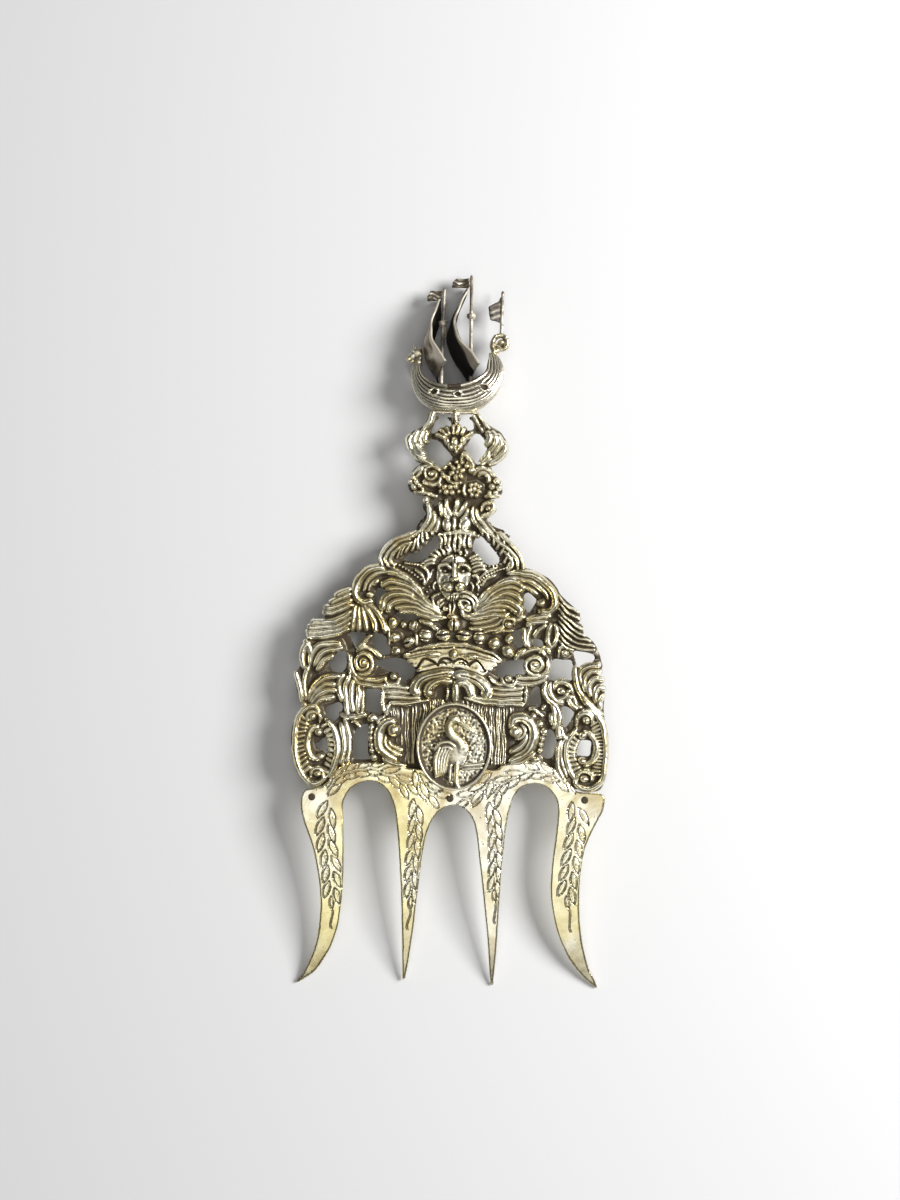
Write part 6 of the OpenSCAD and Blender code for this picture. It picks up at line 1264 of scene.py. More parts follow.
def laurel(axis, tail, pitch=4.0, size=1.0, splay=16, gap=0.8):
    """Engraved laurel: leaves that overlap on both sides of an axis, one leaf at its end, and a tail
    line to the point tail."""
    fine = curve(axis, 0.1)
    steps = np.concatenate([[0], np.cumsum(np.linalg.norm(np.diff(fine, axis=0), axis=1))])
    count = int(steps[-1] / pitch)
    marks = []
    for n in range(count):
        for side, late in ((-1, 0.2), (1, 0.62)):
            k = min(len(fine) - 2, int(np.searchsorted(steps, (n + late) * steps[-1] / count)))
            u = fine[k + 1] - fine[k]
            heading = math.atan2(u[1], u[0])
            length = size * (5.6 - 0.7 * n / count)
            out = heading + side * math.radians(splay)
            away = heading + side * math.pi / 2
            x = fine[k][0] + 0.35 * length * math.cos(out) + gap * size * math.cos(away)
            y = fine[k][1] + 0.35 * length * math.sin(out) + gap * size * math.sin(away)
            marks += leaf(x, y, out, length, 1.75 * size)
    end = fine[-1]
    u = np.subtract(tail, end)
    far = np.linalg.norm(u)
    if far > SHORTEST_TAIL:
        u = u / far
        marks += leaf(end[0] + 1.9 * u[0], end[1] + 1.9 * u[1], math.atan2(u[1], u[0]), 3.6, 1.1)
        side = np.array([-u[1], u[0]]) * 0.35
        line = [end + 3.6 * u, end + 4.8 * u + side, end + (far - 1.2) * u - side, tail]
        marks.append(("groove", 0.34, 0.2, line))
    return marks


# Axis of a garland and the end of its tail line
ARCH_GARLANDS = [
    ("-34.6,-45.6 -32,-41.6 -28.4,-39.4 -24,-38.4 -20.4,-38.2", (-19, -38)),
    ("-21,-39.4 -17,-40 -13.6,-42 -11.2,-44.6", (-10.4, -45.4)),
    ("-9,-42 -5.6,-45 -2.6,-46.4", (-2, -46.6)),
    ("34.6,-45 32,-41.4 28.4,-39.4 24.4,-38.4 21,-38.6", (20, -38.8)),
    ("21,-39.6 17.6,-40.6 14.4,-42.6 12.4,-45.6", (12, -46.4)),
    ("10.4,-42.6 7,-45.2 3.6,-46.4", (3, -46.6)), ("-9.4,-38.4 -8,-41.4 -5.4,-43.8", (-5, -44)),
    ("12,-39.4 10,-42.6 7.4,-44.4", (7, -44.6)),
]
# The same with the angle of the leaves and their distance from the axis
TINE_SPRAYS = [
    ("-33.4,-47.4 -34.3,-52.5 -34.3,-58 -33.2,-64 -32.6,-70 -32.7,-73.6", (-32.6, -83), 19, 1.0),
    ("-9.6,-46.4 -9.4,-51 -9.5,-56 -10,-63 -10.3,-69 -10.3,-73.4", (-11.2, -83), 12, 0.6),
    ("11.6,-47 12.4,-52 13,-58 13.2,-65 13,-71", (13.5, -81), 12, 0.6),
    ("35,-46.4 35.8,-51 35.2,-57 34.4,-63 33.6,-69 33.3,-72.6", (35, -83), 19, 1.0),
]
# Thickness of the sheet at the lap, how much thinner its tips are, the metal that engraving can take
# from it, and how far its edges are worn down, in millimetres
LAP_THICKNESS = 1.6
TIP_THINNING = 0.6
ENGRAVING = 0.3
EDGE_WEAR = 0.3
RIVETS = [(0.2, -46.3), (37.8, -46.2), (-38.4, -46.4)]
STORK = [
    ("knob", 1.4, -33.4, 3.2, 4.0, 1.7, 22), ("knob", 3.1, -32.2, 2.1, 2.7, 1.8, 10),
    ("knob", -2, -35, 2.7, 5.2, 1.5, -12),
    ("rib", 2.3, 2.0, "3.2,-31.6 2.2,-30 0.3,-28.4 -0.4,-26.6 0.1,-25", (1.3, 0.95)),
    ("knob", 0.9, -24.1, 1.6, 1.25, 2.2, -10),
    ("rib", 1.1, 1.7, "1.9,-24.4 4.6,-26.1 7.6,-28.2", (1, 0.2)),
    ("groove", 0.25, 0.8, "2.4,-24.9 4.8,-26.3 6.8,-27.6"), ("knob", 1.2, -23.9, 0.35, 0.3, 2.5),
    ("rib", 1.35, 1.7, "1.9,-36.4 1.9,-39 1.8,-41.4 2.6,-43.2", (1.2, 0.7)),
    ("rib", 1.0, 1.5, "0.2,-37 0.1,-39.4 0,-41.6", (1.2, 0.7)),
    ("rib", 0.7, 1.2, "1.4,-43 2.6,-43.1 4,-43.4"), ("rib", 0.6, 1.0, "-1,-41.8 0,-41.6 1,-42"),
    ("rib", 1.1, 1.3, "3.4,-37 6.4,-36.7 9.6,-36.3"), ("rib", 0.8, 1.1, "3.4,-38 6.4,-37.8 9.2,-37.5"),
] + [("rib", 0.95, 1.75 + 0.06 * k, [(0.9 - 0.95 * k, -31.6 - 0.1 * k), (-0.6 - 0.85 * k, -34.6 - 0.2 *
    k), (-1.4 - 0.6 * k, -39.2 - 0.3 * k)], (0.8, 0.5)) for k in range(5)] + [
    ("rib", 1.0, 2.1, "1.6,-31.8 -0.6,-30.4 -3,-31 -4.4,-32.8", (0.6, 0.6)),
    ("rib", 0.8, 2.0, "1,-32.8 -0.8,-31.8 -2.6,-32.2", (0.6, 0.6)),
    ("rib", 0.6, 1.25, "3.9,-31.2 4.6,-33 3.6,-35.4", (0.6, 0.4)),
]


class Wires:
    """Adds nodes to a tree. A socket given as a value is linked, anything else is set."""

    def __init__(self, tree):
        self.tree = tree

    def node(self, kind, sockets=None, **settings):
        node = self.tree.nodes.new(kind)
        for key, value in settings.items():
            setattr(node, key, value)
        for key, value in (sockets or {}).items():
            if isinstance(value, bpy.types.NodeSocket):
                self.tree.links.new(value, node.inputs[key])
            else:
                node.inputs[key].default_value = value
        return node

    def group(self, name, sockets):
        """Places a shared group and gives its outputs."""
        return self.node("ShaderNodeGroup", sockets, node_tree=bpy.data.node_groups[name]).outputs

    def math(self, operation, a, b=0.0, clamp=False):
        return self.node("ShaderNodeMath", {0: a, 1: b}, operation=operation, use_clamp=clamp).outputs[0]

    def ramp(self, value, low, high, start=0.0, end=1.0, kind="SMOOTHSTEP"):
        sockets = {"Value": value, "From Min": low, "From Max": high, "To Min": start, "To Max": end}
        return self.node("ShaderNodeMapRange", sockets, interpolation_type=kind).outputs["Result"]

    def mix(self, share, a, b):
        """Mixes two colours. Sockets 0, 6 and 7 are the share and the two colours."""
        return self.node("ShaderNodeMix", {0: share, 6: a, 7: b}, data_type="RGBA").outputs[2]

    def noise(self, scale, detail=4.0, vector=None, distortion=0.0):
        if vector is None:
            vector = self.node("ShaderNodeTexCoord").outputs["Object"]
        sockets = {"Vector": vector, "Scale": scale, "Detail": detail, "Distortion": distortion}
        return self.node("ShaderNodeTexNoise", sockets).outputs["Fac"]


def new_group(name, takes, gives):
    """An empty shader group with its sockets. Returns its wires, its inputs and its outputs."""
    group = bpy.data.node_groups.new(name, "ShaderNodeTree")
    for label, kind, value in takes:
        group.interface.new_socket(name=label, in_out="INPUT", socket_type=kind).default_value = value
    for label, kind in gives:
        group.interface.new_socket(name=label, in_out="OUTPUT", socket_type=kind)
    wires = Wires(group)
    return wires, wires.node("NodeGroupInput").outputs, wires.node("NodeGroupOutput").inputs


NUMBER, COLOUR = "NodeSocketFloat", "NodeSocketColor"


def patina_group():
    """Polished metal on the crests and, in the recesses, dark old dirt that also paints their shade,
    with blotches between them.
    """
    w, take, give = new_group(
        "Patina",
        [("Crest", NUMBER, 0.5), ("Metal", COLOUR, (0.7, 0.6, 0.35, 1)),
         ("Shade", COLOUR, (0.4, 0.3, 0.15, 1)), ("Dirt", COLOUR, (0.05, 0.03, 0.01, 1)),
         ("Reach", NUMBER, 0.42), ("Softness", NUMBER, 0.2),
         ("Blotch scale", NUMBER, 260.0), ("Polish", NUMBER, 0.26)],
        [("Color", COLOUR), ("Roughness", NUMBER), ("Metallic", NUMBER), ("Height", NUMBER)],
    )
    fine = w.noise(w.math("MULTIPLY", take["Blotch scale"], 7.0), 5.0)
    broad = w.noise(take["Blotch scale"], 3.0, distortion=0.6)
    level = w.math("ADD", take["Crest"], w.math("MULTIPLY", w.math("SUBTRACT", fine, 0.5), 0.28))
    level = w.math("ADD", level, w.math("MULTIPLY", w.math("SUBTRACT", broad, 0.5), 0.22))
    # Below the reach the colour turns to the dirt colour: patina in the recesses, and painted shade of
    # them
    low = w.math("SUBTRACT", take["Reach"], take["Softness"])
    high = w.math("ADD", take["Reach"], take["Softness"])
    clean = w.ramp(level, low, high)
    patches = w.noise(w.math("MULTIPLY", take["Blotch scale"], 0.35), 3.0)
    warm = w.math("ADD", w.math("MULTIPLY", broad, 0.5), w.math("MULTIPLY", patches, 0.5))
    tone = w.mix(w.ramp(warm, 0.4, 0.6), take["Shade"], take["Metal"])
    tone = w.mix(w.math("MULTIPLY", w.ramp(level, 0.6, 1.0), 0.7), tone, take["Metal"])
    w.tree.links.new(w.mix(clean, take["Dirt"], tone), give["Color"])
    polish = w.math("ADD", take["Polish"], w.math("MULTIPLY", fine, 0.16))
    rough = w.math("ADD", w.math("MULTIPLY", w.math("SUBTRACT", 1.0, clean), 0.36), polish)
    w.tree.links.new(rough, give["Roughness"])
    w.tree.links.new(w.ramp(clean, 0.0, 0.7, 0.25, 1.0), give["Metallic"])
    w.tree.links.new(fine, give["Height"])


def tarnish_group():
    """Brown and orange stains: a mask from soft blotches and small pits."""
    w, take, give = new_group(
        "Tarnish",
        [("Blotch scale", NUMBER, 60.0), ("Cover", NUMBER, 0.4), ("Pit scale", NUMBER, 900.0)],
        [("Mask", NUMBER), ("Pits", NUMBER)],
    )
    broad = w.noise(take["Blotch scale"], 6.0, distortion=0.8)
    cover = w.math("SUBTRACT", 1.0, take["Cover"])
    mask = w.ramp(broad, w.math("SUBTRACT", cover, 0.16), w.math("ADD", cover, 0.12))
    w.tree.links.new(mask, give["Mask"])
    pits = w.noise(take["Pit scale"], 2.0)
    w.tree.links.new(w.ramp(pits, 0.66, 0.76), give["Pits"])


def scratches_group():
    """Fine scratches and rubbing along one direction, as a height."""
    w, take, give = new_group(
        "Scratches", [("Along", NUMBER, 60.0), ("Across", NUMBER, 2600.0)], [("Height", NUMBER)]
    )
    place = w.node("ShaderNodeTexCoord").outputs["Object"]
    parts = w.node("ShaderNodeSeparateXYZ", {0: place}).outputs
    stretched = w.node("ShaderNodeCombineXYZ", {
        0: w.math("MULTIPLY", parts[0], take["Across"]),
        1: w.math("MULTIPLY", parts[1], take["Along"]),
        2: w.math("MULTIPLY", parts[2], take["Across"]),
    }).outputs[0]
    lines = w.noise(1.0, 3.0, stretched)
    w.tree.links.new(lines, give["Height"])


def plain(colour):
    """A colour property as a colour with full alpha."""
    return (colour[0], colour[1], colour[2], 1.0)


def new_metal(name, metal, shade, dirt, reach, softness, blotch, polish, bump=0.1):
    """A cast metal: patina in its recesses, which also paints their shade, and a surface left a little
    rough by the mould.
    """
    material = bpy.data.materials.new(name)
    material.use_nodes = True
    wires = Wires(material.node_tree)
    shader = material.node_tree.nodes["Principled BSDF"]
    crest = wires.node("ShaderNodeAttribute", attribute_name="crest").outputs["Fac"]
    patina = wires.group("Patina", {
        "Crest": crest, "Metal": metal, "Shade": shade, "Dirt": dirt, "Reach": reach,
        "Softness": softness, "Blotch scale": blotch, "Polish": polish,
    })
    links = material.node_tree.links
    links.new(patina["Color"], shader.inputs["Base Color"])
    links.new(patina["Roughness"], shader.inputs["Roughness"])
    links.new(patina["Metallic"], shader.inputs["Metallic"])
    relief = {"Height": patina["Height"], "Distance": bump * MM, "Strength": 0.8}
    bumped = wires.node("ShaderNodeBump", relief)
    links.new(bumped.outputs["Normal"], shader.inputs["Normal"])
    return material, wires, shader, patina, bumped


# Finishes of cast metal: colours of the crests and of the flanks, reach of the dirt and painted shade
# (or None for the reach in the panel), softness of its edge, scale of the blotches and polish
CAST_METALS = {
    "gilt relief": ("gilding", "old_gilding", None, 0.13, 150.0, 0.2),
    "patinated ground": ("old_gilding", "old_silver", 0.62, 0.24, 300.0, 0.4),
    "old silver": ("gilding", "warm_silver", 0.42, 0.12, 160.0, 0.2),
    "aged gilt": ("old_silver", "old_gilding", 0.47, 0.2, 420.0, 0.26),
    "gilt plaque": ("gilding", "old_gilding", 0.46, 0.16, 200.0, 0.26),
}


def cast_material(name, finish):
    """One of the cast metals in the panel's colours."""
    crest, flank, reach, softness, blotches, polish = CAST_METALS[name]
    if reach is None:
        reach = finish.dirt_and_shade_reach
    colours = [plain(getattr(finish, key)) for key in (crest, flank, "dirt")]
    return new_metal(name, *colours, reach, softness, blotches, polish)[0]


def dark_material(finish):
    """Old silver gone matt, for the sails, masts and ensign, with its darkest colour as tarnish
    and painted shade.
    """
    colours = [plain(finish.warm_silver), plain(finish.brown), plain(finish.soot_and_shade)]
    material, w, shader, patina, _ = new_metal("dark silver", *colours, 0.44, 0.3, 200.0, 0.3)
    dulled = w.math("MULTIPLY", patina["Metallic"], 0.5)
    material.node_tree.links.new(dulled, shader.inputs["Metallic"])
    return material


def sheet_material(finish):
    """The bright gilt sheet: stained near the lap, greyer toward the tips with tarnish and painted shade,
    and finely scratched.
    """
    colours = [plain(finish.sheet_gilding), plain(finish.yellow_gilding), plain(finish.dirt)]
    material, w, shader, patina, bumped = new_metal(
        "gilt sheet", *colours, 0.17, 0.12, 60.0, 0.16, 0.04)
    place = w.node("ShaderNodeTexCoord").outputs["Object"]
    y = w.node("ShaderNodeSeparateXYZ", {0: place}).outputs[1]
    # Masks along the sheet, between two places on its length in metres
    near_tips = w.ramp(y, -0.075, -0.1)
    near_lap = w.ramp(y, -0.056, -0.041)
    stains = w.group("Tarnish", {"Blotch scale": 150.0, "Cover": 0.46, "Pit scale": 900.0})
    # Greyer toward the tips: tarnish, and painted shade where the tips bend down from the light
    tone = w.mix(w.math("MULTIPLY", near_tips, 0.6), patina["Color"], plain(finish.tip_tarnish_and_shade))
    cover = w.math("ADD", w.math("MULTIPLY", near_lap, 0.45), 0.36)
    stained = w.math("MULTIPLY", stains["Mask"], cover)
    tone = w.mix(stained, tone, plain(finish.stain))
    tone = w.mix(w.math("MULTIPLY", stains["Pits"], 0.6), tone, plain(finish.brown))
    links = material.node_tree.links
    links.new(tone, shader.inputs["Base Color"])
    scratches = w.group("Scratches", {"Along": 90.0, "Across": 2400.0})
    soft, sharp = w.math("MULTIPLY", patina["Height"], 0.4), w.math("MULTIPLY", scratches["Height"], 0.8)
    links.new(w.math("ADD", soft, sharp), bumped.inputs["Height"])
    return material


class OysterForkSizes(bpy.types.PropertyGroup):
    cell: bpy.props.FloatProperty(
        name="Casting detail", description="Distance between points of a casting in millimetres",
        default=0.15, min=0.1, max=0.5)
    sheet_cell: bpy.props.FloatProperty(
        name="Sheet detail", description="Distance between points of the tines in millimetres",
        default=0.23, min=0.12, max=0.6)
    half_breadth: bpy.props.FloatProperty(
        name="Half breadth", description="Half breadth of the hull in millimetres",
        default=7.8, min=6, max=8.5)
    strakes: bpy.props.IntProperty(
        name="Strakes", description="Planks on each side of the hull",
        default=9, min=3, max=9)
    plank_step: bpy.props.FloatProperty(
        name="Plank step", description="How far each plank laps over the next in millimetres",
        default=0.56, min=0, max=0.6)
    sail_thickness: bpy.props.FloatProperty(
        name="Sail thickness", description="Thickness of the sails in millimetres",
        default=0.45, min=0.3, max=0.9)
    sail_drop: bpy.props.FloatProperty(
        name="Sail drop", description="How much lower the far side of a sail hangs, in millimetres",
        default=7.4, min=0, max=9)


class OysterForkFinish(bpy.types.PropertyGroup):
    gilding: bpy.props.FloatVectorProperty(
        name="Gilding", description="Polished gilding on the crests",
        default=(0.93, 0.89, 0.72), subtype="COLOR", min=0, max=1)
    old_gilding: bpy.props.FloatVectorProperty(
        name="Old gilding", description="Worn gilding on the flanks",
        default=(0.66, 0.57, 0.32), subtype="COLOR", min=0, max=1)
    sheet_gilding: bpy.props.FloatVectorProperty(
        name="Sheet gilding", description="Pale gilding of the tines",
        default=(0.95, 0.92, 0.76), min=0, max=1, subtype="COLOR")
    yellow_gilding: bpy.props.FloatVectorProperty(
        name="Yellow gilding", description="Deeper gilding in patches of the tines",
        default=(0.88, 0.8, 0.42), min=0, max=1, subtype="COLOR")
    # Darkest tarnish, and the painted shade and dark reflection of the sails
    soot_and_shade: bpy.props.FloatVectorProperty(
        name="Soot and shade", description="Darkest tarnish, and painted shade on the sails",
        default=(0.012, 0.01, 0.009), min=0, max=1, subtype="COLOR")
    warm_silver: bpy.props.FloatVectorProperty(
        name="Warm silver", description="Bare silver of the sails and masts",
        default=(0.8, 0.73, 0.6), min=0, max=1, subtype="COLOR")
    # Greyer toward the tips: tarnish, and painted shade where the tips bend down from the light
    tip_tarnish_and_shade: bpy.props.FloatVectorProperty(
        name="Tip tarnish and shade", description="Greyer toward the tips: tarnish and painted shade",
        default=(0.5, 0.43, 0.25), subtype="COLOR", min=0, max=1)
    stain: bpy.props.FloatVectorProperty(
        name="Stain", description="Orange and brown stains on the sheet",
        default=(0.42, 0.31, 0.12), subtype="COLOR", min=0, max=1)
    # Dark patina in the recesses, which also paints their shade
    dirt: bpy.props.FloatVectorProperty(
        name="Dirt", description="Dark patina and painted shade in the recesses",
        default=(0.06, 0.043, 0.024), subtype="COLOR", min=0, max=1)
    old_silver: bpy.props.FloatVectorProperty(
        name="Old silver", description="Bare silver of the ship",
        default=(0.74, 0.7, 0.6), subtype="COLOR", min=0, max=1)
    brown: bpy.props.FloatVectorProperty(
        name="Brown", description="Brown tarnish on silver",
        default=(0.17, 0.12, 0.075), subtype="COLOR", min=0, max=1)
    # How far the dark patina and painted shade climb toward the crests
    dirt_and_shade_reach: bpy.props.FloatProperty(
        name="Dirt and shade reach", description="How far dirt and painted shade climb toward the crests",
        default=0.42, min=0, max=1, subtype="FACTOR")


class OysterForkStage(bpy.types.PropertyGroup):
    floor: bpy.props.FloatVectorProperty(
        name="Floor", description="Colour of the table",
        default=(0.72, 0.72, 0.72), subtype="COLOR", min=0, max=1)
    key_watts: bpy.props.FloatProperty(
        name="Key light", description="Lamp at the upper right in watts",
        default=11.0, min=0)
    sky_watts: bpy.props.FloatProperty(
        name="Overhead light", description="Wide lamp above in watts",
        default=4.4, min=0)
    room: bpy.props.FloatProperty(
        name="Room light", description="Even light of the room",
        default=0.12, min=0, max=1)


def material_of(name):
    """A finish by its name, made the first time that a piece asks for it."""
    found = bpy.data.materials.get(name)
    if found:
        return found
    finish = bpy.context.scene.oyster_fork_finish
    if name == "gilt sheet":
        return sheet_material(finish)
    if name == "dark silver":
        return dark_material(finish)
    return cast_material(name, finish)


def dress(obj, node, slot):
    """Puts a piece in its node's place and gives it the finish that is named like its slot."""
    return fit_piece(obj, node, material_of(slot.replace("_", " ")))


# How far the rounded edge of a ground reaches in, and how far it drops, in millimetres
EDGE_REACH, EDGE_DROP = 0.8, 0.35


def plate_piece(canvas, node):
    """The pierced ground of a casting, on every second point of its canvas."""
    step = 2
    x, y, cells = canvas.places(step)
    inside = canvas.inside[::step, ::step]
    edge = np.clip(1 - inside / EDGE_REACH, 0, 1) ** 2 * EDGE_DROP
    rough = 0.06 * grain(inside.shape, 2, 5)
    top = GROUND_Z - edge + rough - 0.03
    # Low crest values: the ground takes mostly the dirt colour, patina and painted shade of the ground
    # between the ribs
    bottom = BACK_Z + edge + 0.12 * np.abs(grain(inside.shape, 5, 9))
    tone = np.clip(0.35 + 0.3 * grain(inside.shape, 3, 6), 0, 1)
    return dress(field_piece(node, (x, y), cells, top, bottom, tone, 1), node, "patinated_ground")


def relief_pieces(canvas, nodes, lift=0.0):
    """One closed casting for each node of the canvas, standing on the ground. lift brightens it."""
    x, y, cells = canvas.places()
    crest = np.clip(canvas.crest() + lift, 0, 1)
    top = GROUND_Z + canvas.height
    bottom = np.full(top.shape, GROUND_Z - RELIEF_ROOT)
    raised = canvas.height > SUNK
    raised = raised[:-1, :-1] | raised[1:, :-1] | raised[:-1, 1:] | raised[1:, 1:]
    for node in nodes:
        mine = cells & raised & (canvas.owner[:-1, :-1] == canvas.names.index(node))
        obj = field_piece(node, (x, y), mine, top, bottom, crest)
        dress(obj, node, "gilt_relief")


class OYSTERFORK_OT_sheet(bpy.types.Operator):
    """Builds the bent sheet with its four tines and engraved laurel"""

    bl_idname = "oysterfork.sheet"
    bl_label = "Tines"

    def execute(self, context):
        cell = context.scene.oyster_fork_sizes.sheet_cell
        canvas = Canvas(-44, TIP_ROW - 0.5, 44.2, -35, cell)
        canvas.outline([SHEET_OUTLINE])
        canvas.height += ENGRAVING
        shape = canvas.inside.copy()
        for axis, tail, splay, gap in TINE_SPRAYS:
            canvas.carve({"laurel": laurel(axis, tail, splay=splay, gap=gap)})
        for axis, tail in ARCH_GARLANDS:
            canvas.carve({"laurel": laurel(axis, tail, 3.3, 0.98)})
        canvas.inside = shape
        x, rows, cells = canvas.places()
        y = sheet_rows(rows)
        bend = np.clip((y - BEND_Y) / (TIP_Y - BEND_Y), 0, 1)
        under = GROUND_Z - GROUND_Z * bend**2
        edge = np.clip(1 - canvas.inside / 0.55, 0, 1) ** 2
        thick = LAP_THICKNESS - TIP_THINNING * bend
        dish = 0.1 * grain(canvas.inside.shape, 16, 3) + 0.03 * grain(canvas.inside.shape, 5, 4)
        top = under + thick + canvas.height - ENGRAVING - EDGE_WEAR * edge - 0.12 + dish
        bottom = under + EDGE_WEAR * edge
        tone = np.clip(0.5 + (canvas.height - blurred(canvas.height, 3)) * 5 - 0.06 * edge, 0, 1)
        dress(field_piece("tine_plate", (x, y), cells, top, bottom, tone, 1), "tine_plate", "gilt_sheet")
        return {"FINISHED"}


class OYSTERFORK_OT_rivets(bpy.types.Operator):
    """Builds the three rivets with their hammered heads"""

    bl_idname = "oysterfork.rivets"
    bl_label = "Rivets"

    def execute(self, context):
        skin = Skin()
        for x, row in RIVETS:
            y = float(sheet_rows(np.array(row)))
            head = [(0.95, 0), (1.0, 0.12), (0.92, 0.3), (0.7, 0.44), (0.4, 0.42), (0.05, 0.34)]
            profile = [(0.68, BACK_Z + 0.05), (0.68, SHEET_Z)] + [(r, SHEET_Z + z) for r, z in head]
            skin.lathe(x, y, profile, 40, 0.12)
        fit_piece(skin.piece("rivets"), "rivets", material_of("aged gilt"))
        return {"FINISHED"}


class OYSTERFORK_OT_cartouche(bpy.types.Operator):
    """Casts the wide openwork cartouche: its ground and all the ornament on it"""

    bl_idname = "oysterfork.cartouche"
    bl_label = "Cartouche"

    def execute(self, context):
        cell = context.scene.oyster_fork_sizes.cell
        canvas = Canvas(-45, -45, 45, 28.3, cell, SEAM_Y - SEAM_ROW)
        canvas.bold = 1.14
        canvas.outline([SHIELD_OUTLINE, *SHIELD_HOLES])
        canvas.carve(CARTOUCHE)
        canvas.settle(seed=21)
        x, y = canvas.x[None, :], canvas.y[:, None]
        under_plaque = ((x - PLAQUE[0]) / PLAQUE_HALF[0]) ** 2 + ((y - PLAQUE[1]) / PLAQUE_HALF[1]) ** 2
        canvas.height = np.where(under_plaque < 1.05, np.minimum(canvas.height, 1.3), canvas.height)
        plate_piece(canvas, "shield_plate")
        relief_pieces(canvas, [name for name in CARTOUCHE if name != "drapery"])
        relief_pieces(canvas, ["drapery"], -0.14)
        return {"FINISHED"}


class OYSTERFORK_OT_neck(bpy.types.Operator):
    """Casts the narrow neck with plume, flowers, arms and palmette"""

    bl_idname = "oysterfork.neck"
    bl_label = "Neck"

    def execute(self, context):
        cell = context.scene.oyster_fork_sizes.cell * 0.86
        canvas = Canvas(-15, 27.9, 15.5, 61.5, cell, SEAM_Y - SEAM_ROW)
        canvas.bold = 1.1
        canvas.outline([NECK_OUTLINE, *NECK_HOLES])
        canvas.carve(NECK)
        canvas.settle(bed_share=0.84, seed=31)
        plate_piece(canvas, "neck_plate")
        relief_pieces(canvas, list(NECK), 0.12)
        return {"FINISHED"}


class OYSTERFORK_OT_medallion(bpy.types.Operator):
    """Builds the oval plaque with its double rim, and the wading bird on it"""

    bl_idname = "oysterfork.medallion"
    bl_label = "Medallion"

    def execute(self, context):
        px, py = PLAQUE
        canvas = Canvas(px - 11.2, py - 12.9, px + 11.2, py + 12.9, 0.14, SEAM_Y - SEAM_ROW)
        around = np.linspace(0, 2 * math.pi, 48, endpoint=False)
        oval = [(px + PLAQUE_HALF[0] * math.cos(a), py + PLAQUE_HALF[1] * math.sin(a)) for a in around]
        canvas.outline([oval])
        x, y, cells = canvas.places()
        d = canvas.inside
        rim = 0.75 * np.exp(-(((d - 0.4) / 0.34) ** 4)) + 0.4 * np.clip(1 - (d - 0.4) / 1.6, 0, 1)
        stipple = grain(d.shape, 1, 41) * 0.16 * np.clip((d - 1.4) / 0.4, 0, 1)
        relief = rim + stipple
        top = FIELD_Z + relief - SUNK
        pad = (d > 2) & (canvas.y[:, None] > -37.5)
        bottom = np.where(pad, GROUND_Z - 2 * SUNK, SHEET_Z - SUNK)
        tone = 0.5 + (relief - blurred(relief, 3)) * 1.8
        # The plaque is painted darker round the bird's body: patina, and painted shade of the bird
        near = np.zeros(d.shape)
        for kind, *mark in STORK:
            if kind == "knob":
                across = (canvas.x - mark[0]) / mark[2]
                near = np.maximum(near, 1.5 - np.hypot(across, (canvas.y[:, None] - mark[1]) / mark[3]))
        tone = np.clip(tone - 0.25 * np.clip(near * 2, 0, 1), 0, 1)
        obj = field_piece("medallion", (x, y), cells, top, bottom, tone, 1)
        plaque_metal = material_of("gilt plaque")
        fit_piece(obj, "medallion", plaque_metal)
        bird = Canvas(px - 9.5, py - 11.5, px + 9.5, py + 10, 0.11, SEAM_Y - SEAM_ROW)
        bird.carve({"stork": STORK})
        bird.height = blurred(bird.height, 1)
        x, y, cells = bird.places()
        top = FIELD_Z - SUNK + np.minimum(bird.height, 2.4) * 0.72
        obj = field_piece("stork", (x, y), cells, top, np.full(top.shape, FIELD_Z - 0.5), bird.crest(), 1)
        fit_piece(obj, "stork", plaque_metal)
        return {"FINISHED"}


class OYSTERFORK_OT_bracket(bpy.types.Operator):
    """Builds the bar and knob that carry the keel"""

    bl_idname = "oysterfork.bracket"
    bl_label = "Ship bracket"

    def execute(self, context):
        skin = Skin()
        bar = curve([(-6.9, 61.6, 0), (-5.6, 62, 0), (0, 61.9, 0), (5.4, 62, 0), (6.5, 61.6, 0)], 0.3)
        skin.tube(aboard(bar - [0, 0.45, 0]), 0.5, 16, 0.6, 2.4)
        profile = [(0.4, 8.3), (1.2, 8.6), (1.5, 9.3), (1.35, 10.1), (0.8, 10.8), (0.1, 11)]
        skin.lathe(0.2, KEEL_Y - 0.9, profile, 28, 0.7)
        dress(skin.piece("ship_bracket"), "ship_bracket", "old_silver")
        return {"FINISHED"}


class OYSTERFORK_OT_hull(bpy.types.Operator):
    """Builds the clinker hull with its wales, portholes and deck"""

    bl_idname = "oysterfork.hull"
    bl_label = "Hull"

    def execute(self, context):
        sizes = context.scene.oyster_fork_sizes
        skin = Skin()
        skin.loft(*hull_skin(sizes.half_breadth, sizes.strakes, sizes.plank_step))
        dress(skin.piece("ship_hull", aboard), "ship_hull", "old_silver")
        return {"FINISHED"}


class OYSTERFORK_OT_heads(bpy.types.Operator):
    """Builds the cast beast at the bow and the scrolled head at the stern"""

    bl_idname = "oysterfork.heads"
    bl_label = "Heads"

    def execute(self, context):
        stern = [(x, row, 0, 0.75, 0.75, 1.5 - 0.03 * k, 0)
                 for k, (x, row) in enumerate(curve(STERN_CURL, 0.45))]
        aged = material_of("aged gilt")
        fit_piece(fused("bow_head", BOW_HEAD), "bow_head", aged)
        fit_piece(fused("stern_head", stern + STERN_KNOBS), "stern_head", aged)
        return {"FINISHED"}


